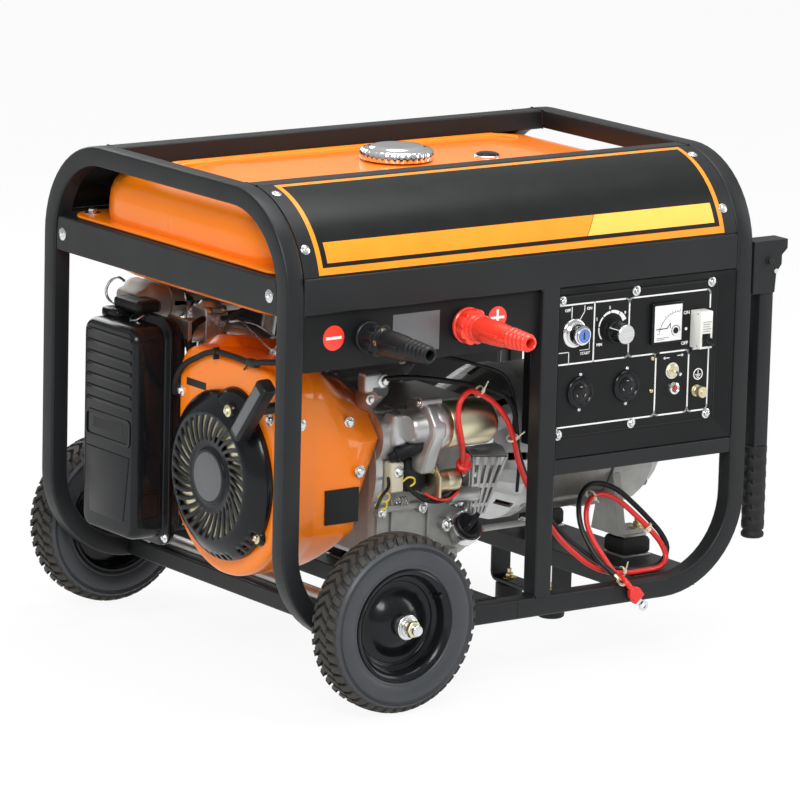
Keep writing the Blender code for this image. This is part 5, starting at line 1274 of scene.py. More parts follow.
def carburettor():
    """Throttle body, bowl and intake pipe between the air cleaner and the cylinder head."""
    y, z = 0.112, 0.398
    shape = Shape("carb_body", "cast_bright", "zinc", "brass", "plastic_black")
    shape.use("cast_bright")
    shape.box((0.0986, 0.1050), (y - 0.024, y + 0.024), (z - 0.018, z + 0.018), 0.002)
    shape.rod((0.1040, y, z), (0.1340, y, z), 0.0165, 0.0150, 32)
    shape.box((0.1300, 0.1640), (y - 0.0170, y + 0.0170), (z - 0.014, z + 0.030), 0.0035, 3)
    shape.box((0.1340, 0.1600), (y - 0.0195, y + 0.0100), (z + 0.006, z + 0.022), 0.0020, 2)
    shape.turned([(0, 0.008), (0.0110, 0.008), (0.0150, 0.004), (0.0165, 0), (0, 0)], (0.147, y, z + 0.028), (0, 0, 1), 32)
    shape.rod((0.1500, y - 0.017, z + 0.016), (0.1500, y - 0.025, z + 0.016), 0.0060, 0.0052, 24)
    port = Vector((0.2467, CRANK_Y + 0.1386, CRANK_Z + 0.1132))
    ahead = Vector((0.012, 0, 0))
    route = [Vector((0.160, y, z)), Vector((0.178, y, z)), Vector((0.200, y - 0.006, z - 0.008)), port - ahead, port]
    shape.tube(smooth(route, 0.005), 0.0135, 24)
    shape.use("zinc").turned(
        [(0, 0.0), (0.0125, 0.0), (0.0150, -0.003), (0.0160, -0.010), (0.0160, -0.016), (0.0100, -0.0185), (0.0060, -0.0195),
         (0.0060, -0.0225), (0, -0.0225)],
        (0.147, y, z - 0.0125), (0, 0, 1), 36,
    )
    shape.use("brass").bolt((0.147, y, z - 0.0345), (0, 0, -1), 0.0035, height=0.0030)
    for dx, dz in ((-0.011, 0.025), (0.011, 0.025), (0.011, -0.008)):
        shape.use("brass").bolt((0.147 + dx, y - 0.0170, z + dz), (0, -1, 0), 0.0026, height=0.0018, kind="pan")
    shape.done(replaces=("carburettor",))
    restyle("choke_lever", "zinc")

    hoses = Shape("carb_hoses", "rubber", "zinc")
    route = [(0.128, 0.098, 0.414), (0.114, 0.095, 0.409), (0.104, 0.093, 0.396), (0.102, 0.090, 0.380)]
    route += [(0.106, 0.086, 0.362), (0.112, 0.080, 0.345), (0.116, 0.076, 0.325)]
    hoses.use("rubber").tube(smooth(route, 0.004), 0.0042, 14)
    route = [(0.150, 0.086, 0.4145), (0.150, 0.074, 0.418), (0.160, 0.060, 0.428), (0.185, 0.050, 0.446), (0.220, 0.04, 0.470)]
    hoses.tube(smooth(route, 0.004), 0.0034, 12)
    hoses.use("zinc").tube(smooth([(0.150, 0.072, 0.4130), (0.1540, 0.0500, 0.4165), (0.1300, -0.0100, 0.4165),
                                   (0.1140, -0.0700, 0.4080), (0.1140, -0.0860, 0.4060)], 0.004), 0.0013, 8)
    hoses.tube(smooth([(0.156, 0.074, 0.4140), (0.1620, 0.0300, 0.4150), (0.1500, -0.0300, 0.4120),
                       (0.1320, -0.0900, 0.4060)], 0.004), 0.0010, 8)
    hoses.box((0.1050, 0.1220), (-0.0960, -0.0850), (0.3990, 0.4110), 0.0008)
    hoses.bolt((0.1135, -0.0905, 0.4110), (0, 0, 1), 0.0034, height=0.0026)
    hoses.done()

    loom = Shape("cowl_loom", "rubber", "plastic_black", "zinc")
    route = [(0.0700, 0.0720, 0.3300), (0.0600, 0.0540, 0.3530), (0.0560, 0.0300, 0.3745), (0.0565, 0.0040, 0.3880)]
    route += [(0.0570, -0.0200, 0.3985), (0.0580, -0.0420, 0.4030), (0.0580, -0.0800, 0.4035), (0.0570, -0.1140, 0.4030)]
    route += [(0.0560, -0.1450, 0.4090), (0.0580, -0.1750, 0.4140), (0.0700, -0.1950, 0.4160), (0.095, -0.205, 0.417)]
    loom.use("rubber").tube(smooth(route, 0.004), 0.0038, 14)
    loom.use("plastic_black")
    loom.box((0.0530, 0.0620), (-0.1290, -0.1080), (0.3985, 0.4080), 0.0018)
    loom.box((0.0528, 0.0612), (-0.0400, -0.0370), (0.3935, 0.4085), 0.0008)
    loom.tube(smooth([(0.058, -0.110, 0.401), (0.060, -0.100, 0.394), (0.061, -0.094, 0.390)], 0.002), 0.0009, 8)
    loom.done()


air_cleaner()
muffler()
carburettor()


# ---------------------------------------------------------------- engine block
def engine_block():
    restyle("crankcase", "cast", 0.0040, 3, 25)
    restyle("cylinder_head", "cast_bright", 0.0009, 2)
    front = -0.1400
    shape = Shape("engine_castings", "cast", "cast_bright", "zinc", "cream")
    shape.use("cast_bright")
    shape.turned([(0, 0), (0.0930, 0), (0.0930, 0.0100), (0.0850, 0.0160), (0, 0.0160)], (0.2265, CRANK_Y, CRANK_Z),
                 (1, 0, 0), 64)
    shape.prism([(-0.1400, 0.3250), (-0.0600, 0.3560), (0.0000, 0.3560), (0.0250, 0.3200), (0.0000, 0.2600),
                 (-0.1300, 0.2600)], 0.2265, 0.2400, "X", 0.0040, 3)
    shape.rod((0.2270, -0.1280, 0.2950), (0.2830, -0.1280, 0.2950), 0.0330, 0.0270, 40)
    shape.rod((0.2290, -0.1180, 0.3400), (0.2290, -0.1500, 0.3600), 0.0160, 0.0110, 28)
    shape.box((0.2060, 0.2320), (-0.1490, -0.1300), (0.3540, 0.3800), 0.0045, 3)
    shape.use("zinc").bolt((0.2340, -0.1490, 0.3685), (0, -1, 0), 0.0052, height=0.0045)
    shape.use("zinc").bolt((0.2140, -0.1490, 0.3470), (0, -1, 0), 0.0040, height=0.0035)
    shape.use("cast")
    for x in (0.2340, 0.2560, 0.3120, 0.3690):
        shape.prism([(front - 0.0005, 0.1560), (front - 0.0042, 0.1600), (front - 0.0042, 0.2080), (front - 0.0005, 0.2150)],
                    x - 0.0016, x + 0.0016, "X", 0.0008)
    shape.box((0.2300, 0.3840), (front - 0.0065, front + 0.002), (0.1980, 0.2070), 0.0022, 2)
    for x, z in ((0.2370, 0.1996), (0.3000, 0.1996), (0.3560, 0.1996), (0.3780, 0.2340), (0.3780, 0.3180)):
        shape.use("cast").rod((x, front + 0.002, z), (x, front - 0.0080, z), 0.0075, 0.0066, 24)
        shape.use("zinc").bolt((x, front - 0.0080, z), (0, -1, 0), 0.0042, height=0.0034)
    shape.use("cast")
    shape.rod((0.3363, front + 0.004, 0.1739), (0.3363, front - 0.0105, 0.1739), 0.0085, 0.0070, 24)
    shape.use("zinc").bolt((0.3363, front - 0.0105, 0.1739), (0, -1, 0), 0.0050, height=0.0040)
    shape.use("cast_bright")
    shape.rod((0.3380, -0.1500, 0.2120), (0.3800, -0.1500, 0.2090), 0.0105, 0.0105, 28, bevel=0.0012)
    shape.box((0.3380, 0.3560), (-0.1520, -0.1380), (0.1980, 0.2220), 0.0030, 3)
    shape.use("zinc").bolt((0.3800, -0.1500, 0.2090), (1, 0, 0), 0.0050, height=0.0040)
    shape.use("cream").box((0.2440, 0.2640), (-0.1560, -0.1380), (0.2250, 0.2640), 0.0030, 3)
    shape.use("zinc").bolt((0.2548, -0.1560, 0.2520), (0, -1, 0), 0.0046, height=0.0036)
    shape.done(slot="cast_alloy")

    mouth = Vector((0.366, -0.1516, 0.1682))
    outward = Vector((0, -0.8, 0.6))
    shape = Shape("oil_filler_ring", "machined")
    ring = [(0.0178, -0.012), (0.0212, -0.012), (0.0218, -0.004), (0.0218, 0.0015), (0.0208, 0.0030), (0.0184, 0.0030)]
    shape.turned(ring, mouth, outward, 48, closed_profile=True)
    shape.done()
    cap = Shape("oil_cap_plug", "plastic_black")
    cap.turned([(0, 0.0060), (0.0120, 0.0060), (0.0148, 0.0076), (0.0163, 0.0068), (0.0170, 0.0040), (0.0170, 0.0003),
                (0.0120, 0.0003), (0.0120, -0.0150), (0, -0.0150)], mouth, outward, 40)
    turn = Matrix.Translation(mouth) @ facing(outward) @ Matrix.Rotation(math.radians(38), 4, "Z")
    cap.at(turn)
    cap.prism([(-0.0148, 0.0060), (0.0148, 0.0060), (0.0135, 0.0200), (0.0100, 0.0218), (-0.0100, 0.0218),
               (-0.0135, 0.0200)], -0.0030, 0.0030, "Y", 0.0012, 3)
    cap.done("oil_filler_cap", ("oil_filler_cap",))


def starter():
    y, z = -0.172, 0.310
    low, high = 0.295, 0.377
    shape = Shape("starter_assembly", "gold", "cast_bright", "zinc", "plastic_black")
    shape.use("gold").turned(
        [(0, low), (0.0300, low), (0.0300, low + 0.010), (0.0296, low + 0.0106), (0.0300, low + 0.0112),
         (0.0300, high - 0.0080), (0.0292, high - 0.0040), (0.0270, high - 0.0012), (0.0235, high), (0, high)],
        (0, y, z), (1, 0, 0), 72,
    )
    shape.use("cast_bright").turned(
        [(0, low - 0.040), (0.0160, low - 0.040), (0.0190, low - 0.036), (0.0200, low - 0.020), (0.0270, low - 0.012),
         (0.0300, low - 0.008), (0.0312, low + 0.001), (0.0308, low + 0.003), (0, low + 0.003)],
        (0, y, z), (1, 0, 0), 56,
    )
    shape.prism(
        [(y - 0.0315, z - 0.006), (y - 0.0315, z + 0.006), (y - 0.014, z + 0.030), (y + 0.004, z + 0.0345),
         (y + 0.0318, z + 0.030), (y + 0.0318, z - 0.046), (y + 0.010, z - 0.060), (y - 0.006, z - 0.060), (y - 0.018, z - 0.030)],
        low - 0.0210, low - 0.0005, "X", 0.0040, 3,
    )
    shape.box((low - 0.0560, low - 0.0200), (y + 0.006, -0.1403), (z - 0.024, z + 0.018), 0.006, 3)
    for dy, dz in ((-0.006, 0.0325), (0.020, -0.030)):
        shape.use("cast_bright").rod((low - 0.026, y + dy, z + dz), (low + 0.004, y + dy, z + dz), 0.0056, steps=24)
        shape.use("zinc").bolt((low - 0.026, y + dy, z + dz), (-1, 0, 0), 0.0044, height=0.0040)
    shape.use("zinc").bolt((high, y, z), (1, 0, 0), 0.0040, height=0.0020, kind="pan")
    shape.use("plastic_black")
    shape.rod((0.2500, -0.1560, 0.2740), (0.2830, -0.1740, 0.2920), 0.0100, 0.0112, 28, bevel=0.0030)
    shape.rod((0.2440, -0.1500, 0.2700), (0.2530, -0.1570, 0.2750), 0.0060, 0.0075, 20, bevel=0.0010)
    shape.box((0.2640, 0.2980), (-0.1580, -0.1410), (0.2240, 0.2700), 0.0060, 3)
    shape.done(replaces=("starter_motor",))

    y, z = -0.166, 0.236
    shape = Shape("starter_switch", "gold", "zinc", "plastic_black", "brass")
    shape.use("gold").turned([(0, 0), (0.0140, 0), (0.0140, 0.0140), (0.0137, 0.0148), (0.0140, 0.0156), (0.0140, 0.0310),
                              (0.0134, 0.0330), (0, 0.0330)], (0.303, y, z), (1, 0, 0), 56)
    plate = [(y - 0.016, z - 0.018), (y - 0.016, z + 0.010), (y - 0.002, z + 0.024), (-0.1403, z + 0.018), (-0.1403, z - 0.018)]
    shape.prism(plate, 0.3000, 0.3032, "X", 0.0006)
    shape.box((0.300, 0.322), (-0.1435, -0.1403), (z - 0.018, z + 0.018), 0.0006)
    shape.use("plastic_black").turned([(0, 0), (0.0125, 0), (0.0115, 0.0040), (0, 0.0040)], (0.336, y, z), (1, 0, 0), 40)
    for dy, dz in ((-0.004, 0.006), (0.003, -0.006)):
        shape.use("brass").rod((0.336, y + dy, z + dz), (0.3465, y + dy, z + dz), 0.0028, steps=18)
        shape.use("zinc").hexagon((0.3405, y + dy, z + dz), (1, 0, 0), 0.0050, 0.0030)
    shape.use("gold").bolt((0.3000, y - 0.0020, z + 0.0150), (-1, 0, 0), 0.0042, height=0.0034)
    shape.done(replaces=("starter_solenoid",))

    boot = Shape("starter_cable_boot", "red_lead")
    start, along = Vector((0.3400, -0.1800, 0.2620)), Vector((0.009, 0.025, -0.029)).normalized()
    boot.turned([(0, -0.006), (0.0042, -0.006), (0.0062, 0.004), (0.0068, 0.010), (0.0098, 0.0110), (0.0100, 0.0135),
                 (0.0078, 0.0145), (0.0080, 0.0240), (0.0072, 0.0262), (0, 0.0262)], start - along * 0.004, along, 28)
    boot.done()


def wiring():
    wires = Shape("front_wires", "black_lead", "red_lead", "yellow", "cream", "zinc")
    wires.use("black_lead")
    low = [(0.2620, -0.1500, 0.2480), (0.2700, -0.1580, 0.2300), (0.2850, -0.1640, 0.2160), (0.3050, -0.1670, 0.2100)]
    low += [(0.3250, -0.1660, 0.2120), (0.3420, -0.1620, 0.2220), (0.3480, -0.1600, 0.2380)]
    wires.tube(smooth(low, 0.003), 0.0026, 12)
    wires.tube(smooth([(x - 0.004, y + 0.003, z + 0.006) for x, y, z in low], 0.003), 0.0018, 10)
    wires.tube(smooth([(0.2440, -0.1500, 0.2440), (0.2340, -0.1640, 0.2360), (0.2200, -0.1690, 0.2260),
                       (0.2120, -0.1700, 0.2120)], 0.003), 0.0022, 10)
    wires.tube(smooth([(0.2300, -0.1560, 0.3400), (0.2480, -0.1600, 0.3300), (0.2600, -0.1580, 0.3000),
                       (0.2580, -0.1540, 0.2700), (0.2500, -0.1520, 0.2500)], 0.004), 0.0018, 12)
    wires.use("red_lead")
    wires.tube(smooth([(0.2850, -0.1700, 0.2240), (0.3000, -0.1760, 0.2160), (0.3200, -0.1760, 0.2140),
                       (0.3380, -0.1700, 0.2200)], 0.003), 0.0017, 10)
    wires.use("yellow")
    for x, z in ((0.2660, 0.2400), (0.2280, 0.2240), (0.2240, 0.2140)):
        loop = [(x - 0.007, -0.1600, z), (x - 0.003, -0.1660, z + 0.006), (x + 0.005, -0.1670, z + 0.004),
                (x + 0.008, -0.1640, z - 0.003), (x + 0.003, -0.1620, z - 0.007)]
        wires.tube(smooth(loop, 0.002), 0.0012, 8)
    wires.use("zinc")
    for offset in (0.0, 0.004, 0.008):
        wires.turned([(0.0052, -0.0007), (0.0062, -0.0007), (0.0062, 0.0007), (0.0052, 0.0007)],
                     (0.2600 + offset, -0.1520, 0.2130), (1, 0.15, 0.1), 20, closed_profile=True)
    wires.use("cream")
    for route, where in ((RED_ROUTE, 5), (RED_ROUTE, 8), (RED_ROUTE, 17), (RED_ROUTE, 22), (RED_ROUTE, 26)):
        centre = Vector(route[where]) / 1000
        along = (Vector(route[where + 1]) - Vector(route[where - 1])).normalized()
        shift = Vector((0, 0.004, 0.003)) if where < 10 else Vector((0, 0.004, 0))
        wires.turned([(0.0068, -0.0013), (0.0078, -0.0013), (0.0078, 0.0013), (0.0068, 0.0013)], centre + shift, along, 24,
                     closed_profile=True)
        side = along.cross(Vector((0, 1, 0))).normalized()
        knob = centre + shift - Vector((0, 0.0075, 0)) + side * 0.002
        wires.rod(knob - side * 0.002, knob + side * 0.003, 0.0024, steps=10)
        wires.tube([knob, knob + side * 0.010 + Vector((0, -0.004, 0.004))], 0.0010, 6)
    wires.done()

    cable = Shape("throttle_cable", "steel", "black_lead")
    route = [(0.285, -0.120, 0.404), (0.310, -0.150, 0.396), (0.345, -0.185, 0.386), (0.380, -0.200, 0.372)]
    route += [(0.398, -0.198, 0.345), (0.412, -0.190, 0.300), (0.424, -0.180, 0.250), (0.430, -0.170, 0.21)]
    cable.use("black_lead").tube(smooth(route, 0.004), 0.0022, 10)
    cable.use("steel").tube(smooth([(0.255, -0.100, 0.408), (0.285, -0.120, 0.404)], 0.004), 0.0010, 8)
    cable.done()


def mounts():
    for name, size in (("front_engine_mount", 0.018), ("rear_engine_mount", 0.018), ("front_alternator_mount", 0.022),
                       ("rear_alternator_mount", 0.022)):
        low, high = local_box(name)
        x, y = (low.x + high.x) / 2, (low.y + high.y) / 2
        shape = Shape(name + "_block", "rubber", "steel", "brass")
        shape.use("rubber")
        rings = []
        for inset, z in ((0.0040, low.z + 0.0030), (0.0012, low.z + 0.0048), (0.0, low.z + 0.0070),
                         (0.0, high.z - 0.0090), (0.0018, high.z - 0.0050), (0.0060, high.z - 0.0030)):
            half = size - inset
            rings.append([(x + u, y + v, z) for u, v in rounded((-half, half), (-half, half), 0.004, 4)])
        shape.skin(rings)
        shape.use("steel").box((x - size, x + size), (y - size, y + size), (low.z, low.z + 0.0034), 0.0006)
        shape.box((x - size * 0.8, x + size * 0.8), (y - size * 0.8, y + size * 0.8), (high.z - 0.0034, high.z), 0.0006)
        outward = -1 if name.startswith("front") else 1
        shape.use("brass").bolt((x + size * 0.45, y + outward * size * 0.3, high.z + 0.0063), (0, 0, 1), 0.0058, height=0.0060)
        shape.rod((x + size * 0.45, y + outward * size * 0.3, high.z + 0.010), (x + size * 0.45, y + outward * size * 0.3, high.z + 0.019),
                  0.0034, steps=18)
        shape.done(replaces=(name,))


# ---------------------------------------------------------------- alternator
def alternator():
    restyle("alternator_drive_housing", "cast_bright", 0.0012, 2)
    restyle("alternator_end_bell", "cast", 0.0012, 2)
    restyle("alternator_rotor", "winding")
    stator = Shape("stator_stack", "steel", "cast", "winding")
    profile = [(0.0702, 0.4785), (0.0960, 0.4785)]
    x = 0.4790
    while x < 0.5990:
        profile += [(0.0980, x), (0.0980, x + 0.0022), (0.0974, x + 0.0024), (0.0974, x + 0.0030)]
        x += 0.0030
    profile += [(0.0960, 0.5998), (0.0702, 0.5998)]
    stator.use("steel").turned(profile, (0, CRANK_Y, CRANK_Z), (1, 0, 0), 72, closed_profile=True)
    stator.use("winding").turned([(0.0705, 0.4700), (0.0860, 0.4700), (0.0890, 0.4785), (0.0705, 0.4785)],
                                 (0, CRANK_Y, CRANK_Z), (1, 0, 0), 56, closed_profile=True)
    for angle in (45, 135, 225, 315):
        a = math.radians(angle)
        place = Vector((0, CRANK_Y + 0.0985 * math.cos(a), CRANK_Z + 0.0985 * math.sin(a)))
        stator.use("cast").rod(place + Vector((0.470, 0, 0)), place + Vector((0.612, 0, 0)), 0.0040, steps=18)
    stator.done(replaces=("alternator_stator",))

    shape = Shape("drive_housing_grille", "cast_bright", "zinc", "cast")
    top_left, top_right = Vector((0.3700, -0.1530, 0.2585)), Vector((0.4245, -0.1530, 0.2525))
    bottom_left, bottom_right = Vector((0.3710, -0.1490, 0.1815)), Vector((0.3930, -0.1490, 0.1815))
    columns, rows = 4, 3
    bars = []
    thick = 0.0030

    def spot(u, v):
        return (top_left * (1 - u) + top_right * u) * (1 - v) + (bottom_left * (1 - u) + bottom_right * u) * v

    def plate(u0, u1, v0, v1, bevel=0.0006):
        corners = [spot(u0, v0), spot(u1, v0), spot(u1, v1), spot(u0, v1)]
        shape.slab(corners, thick, (0, -1, 0), bevel, 2)

    margin = 0.06
    slot_width = 0.105
    edges_u = []
    for column in range(columns):
        centre = 0.14 + column * 0.24
        edges_u.append((centre - slot_width / 2, centre + slot_width / 2))
    rows_v = ((0.14, 0.46), (0.53, 0.80), (0.86, 0.97))
    shape.use("cast_bright")
    last = 0.0
    for low_u, high_u in edges_u:
        plate(last, low_u, 0.0, 1.0)
        last = high_u
    plate(last, 1.0, 0.0, 1.0)
    for low_u, high_u in edges_u:
        previous = 0.0
        for low_v, high_v in rows_v:
            plate(low_u, high_u, previous, low_v, 0.0)
            previous = high_v
        plate(low_u, high_u, previous, 1.0, 0.0)
    shape.slab([spot(0, 0), spot(1, 0), spot(1, 0) + Vector((0.004, 0.020, 0.014)), spot(0, 0) + Vector((0, 0.020, 0.014))],
               0.0026, (0, -0.6, 0.8), 0.0006)
    shape.slab([spot(1, 0), spot(1, 1), spot(1, 1) + Vector((0.010, 0.030, 0)), spot(1, 0) + Vector((0.014, 0.030, 0))],
               0.0026, (1, 0, 0), 0.0006)
    shape.slab([spot(0, 0), spot(0, 1), spot(0, 1) + Vector((0, 0.012, 0)), spot(0, 0) + Vector((0, 0.012, 0))],
               0.0026, (-1, 0, 0), 0.0006)
    shape.use("zinc").box((0.3640, 0.4090), (-0.1460, -0.1380), (0.2700, 0.2860), 0.0010)
    shape.bolt((0.3960, -0.1460, 0.2790), (0, -1, 0), 0.0046, height=0.0036)
    shape.use("cast").rod((0.392, -0.1500, 0.1620), (0.475, -0.1500, 0.1620), 0.0040, steps=18)
    shape.use("zinc").bolt((0.4560, -0.1500, 0.1660), (0, 0, 1), 0.0036, height=0.0026)
    shape.done()

    shape = Shape("end_bell_fittings", "zinc", "cast", "plastic_black")
    for angle in (40, 140, 220, 320):
        a = math.radians(angle)
        place = Vector((0.6500, CRANK_Y + 0.092 * math.cos(a), CRANK_Z + 0.092 * math.sin(a)))
        shape.use("cast").rod(place - Vector((0.03, 0, 0)), place + Vector((0.018, 0, 0)), 0.0085, 0.0075, 24)
        shape.use("zinc").bolt(place + Vector((0.018, 0, 0)), (1, 0, 0), 0.0050, height=0.0040)
    shape.use("cast").turned([(0.0140, 0.0), (0.0270, 0.0), (0.0300, -0.0050), (0.0140, -0.0050)],
                             (0.6945, CRANK_Y, CRANK_Z), (1, 0, 0), 40, closed_profile=True)
    for index in range(10):
        a = math.tau * index / 10
        inner = Vector((0.6905, CRANK_Y + 0.030 * math.cos(a), CRANK_Z + 0.030 * math.sin(a)))
        outer = Vector((0.6890, CRANK_Y + 0.074 * math.cos(a), CRANK_Z + 0.074 * math.sin(a)))
        shape.tube([inner, outer], [0.0028, 0.0022], 10)
    shape.done()


def alternator_fan():
    """Cooling fan on the shaft, inside the drive housing."""
    shape = Shape("alternator_fan", "plastic_black")
    shape.turned([(0.0200, 0.4020), (0.0440, 0.4020), (0.0640, 0.4420), (0.0640, 0.4450), (0.0200, 0.4450)],
                 (0, CRANK_Y, CRANK_Z), (1, 0, 0), 64, closed_profile=True)
    for index in range(14):
        a = math.tau * index / 14
        along = Vector((0, math.cos(a), math.sin(a)))
        across = Vector((0, -math.sin(a), math.cos(a))) * 0.0010
        hub = Vector((0, CRANK_Y, CRANK_Z))
        corners = [hub + along * 0.026 + Vector((0.445, 0, 0)), hub + along * 0.062 + Vector((0.445, 0, 0)),
                   hub + along * 0.060 + Vector((0.462, 0, 0)), hub + along * 0.026 + Vector((0.462, 0, 0))]
        shape.slab([c - across for c in corners], 0.0020, across)
    shape.done("crank_train")


def shield_and_shade_sheets():
    """Heat shield under the tank, with dark sheets at the back taken for the muffler's guard and the electrics cover
    behind the alternator; these back sheets also paint shade where the frame is seen through behind the engine.
    """
    shape = Shape("heat_shield_and_shade_sheets", "panel_black", "zinc")
    shape.use("panel_black").box((0.1500, 0.6650), (-0.2050, 0.2395), (0.4640, 0.4655), 0.0006)
    # Back sheets: partly guessed covers, partly painted shade that keeps the view through the frame behind the engine
    # dark.
    shape.box((0.2050, 0.4050), (0.2380, 0.2395), (0.3300, 0.4640), 0.0006)
    shape.box((0.4550, 0.6950), (0.2300, 0.2395), (0.2200, 0.3480), 0.0030, 3)
    for x in (0.4700, 0.6450):
        shape.box((x, x + 0.0180), (0.2380, 0.2395), (0.3450, 0.4645), 0.0006)
    for x in (0.2250, 0.3850):
        shape.use("zinc").bolt((x, 0.2380, 0.4560), (0, -1, 0), 0.0042, height=0.0032)
    shape.done()


engine_block()
starter()
wiring()
shield_and_shade_sheets()
alternator_fan()
mounts()
alternator()


# ---------------------------------------------------------------- panels
INK = 0.0004  # height of printed lines above a face


def line(shape, a, b, width=0.0019, face=FACE):
    """A printed line between two places (x, z) on a panel."""
    a, b = Vector((a[0], face, a[1])), Vector((b[0], face, b[1]))
    along = (b - a).normalized()
    side = along.cross(Vector((0, 1, 0))) * width / 2
    along = along * width / 2
    corners = [a - along - side, b + along - side, b + along + side, a - along + side]
    shape.slab(corners, INK, (0, -1, 0))


def path(shape, places, width=0.0019, face=FACE):
    for a, b in zip(places, places[1:]):
        line(shape, a, b, width, face)


def band(shape, centre, radius, start, end, width, face=FACE, end_width=None):
    """A printed arc in degrees, clockwise from the top; its width may grow."""
    steps = max(6, int(abs(end - start) / 5))
    inner, outer = [], []
    for step in range(steps + 1):
        a = math.radians(start + (end - start) * step / steps)
        wide = width + ((end_width or width) - width) * step / steps
        for side, store in ((-0.5, inner), (0.5, outer)):
            r = radius + side * wide
            store.append((centre[0] + r * math.sin(a), centre[1] + r * math.cos(a)))
    front = [[(x, face - INK, z) for x, z in row] for row in (inner, outer)]
    back = [[(x, face + INK, z) for x, z in row] for row in (inner, outer)]
    rings = [[front[0][i], front[1][i], back[1][i], back[0][i]] for i in range(steps + 1)]
    shape.skin(rings)


def disc(shape, x, z, radius, thick=INK, face=FACE, steps=40):
    shape.rod((x, face + 0.0002, z), (x, face - thick, z), radius, steps=steps)


def word(shape, text, x, z, size, face=FACE, bold=0.00012):
    """A short everyday word in Blender's own letters, its middle at (x, z)."""
    curve = bpy.data.curves.new("letters", "FONT")
    curve.body, curve.size, curve.extrude, curve.offset = text, size, INK / 2, bold
    curve.align_x, curve.align_y = "CENTER", "CENTER"
    curve.resolution_u = 3
    holder = bpy.data.objects.new("letters", curve)
    bpy.context.scene.collection.objects.link(holder)
    bpy.context.view_layer.update()
    mesh = bpy.data.meshes.new_from_object(holder.evaluated_get(bpy.context.evaluated_depsgraph_get()))
    before = set(shape.bm.faces)
    start = set(shape.bm.verts)
    shape.bm.from_mesh(mesh)
    turn = Matrix.Translation((x, face - INK / 2, z)) @ Matrix.Rotation(math.radians(90), 4, "X")
    bmesh.ops.transform(shape.bm, matrix=turn, verts=[v for v in shape.bm.verts if v not in start])
    for made in shape.bm.faces:
        if made not in before:
            made.material_index = shape.paint
    bpy.data.objects.remove(holder)
    bpy.data.curves.remove(curve)
    bpy.data.meshes.remove(mesh)


def arrow(shape, x, z, size, way):
    line(shape, (x - size, z), (x + size, z), 0.0009)
    tip = x + way * size
    for lift in (-1, 1):
        line(shape, (tip, z), (tip - way * size * 0.5, z + lift * size * 0.30), 0.0008)


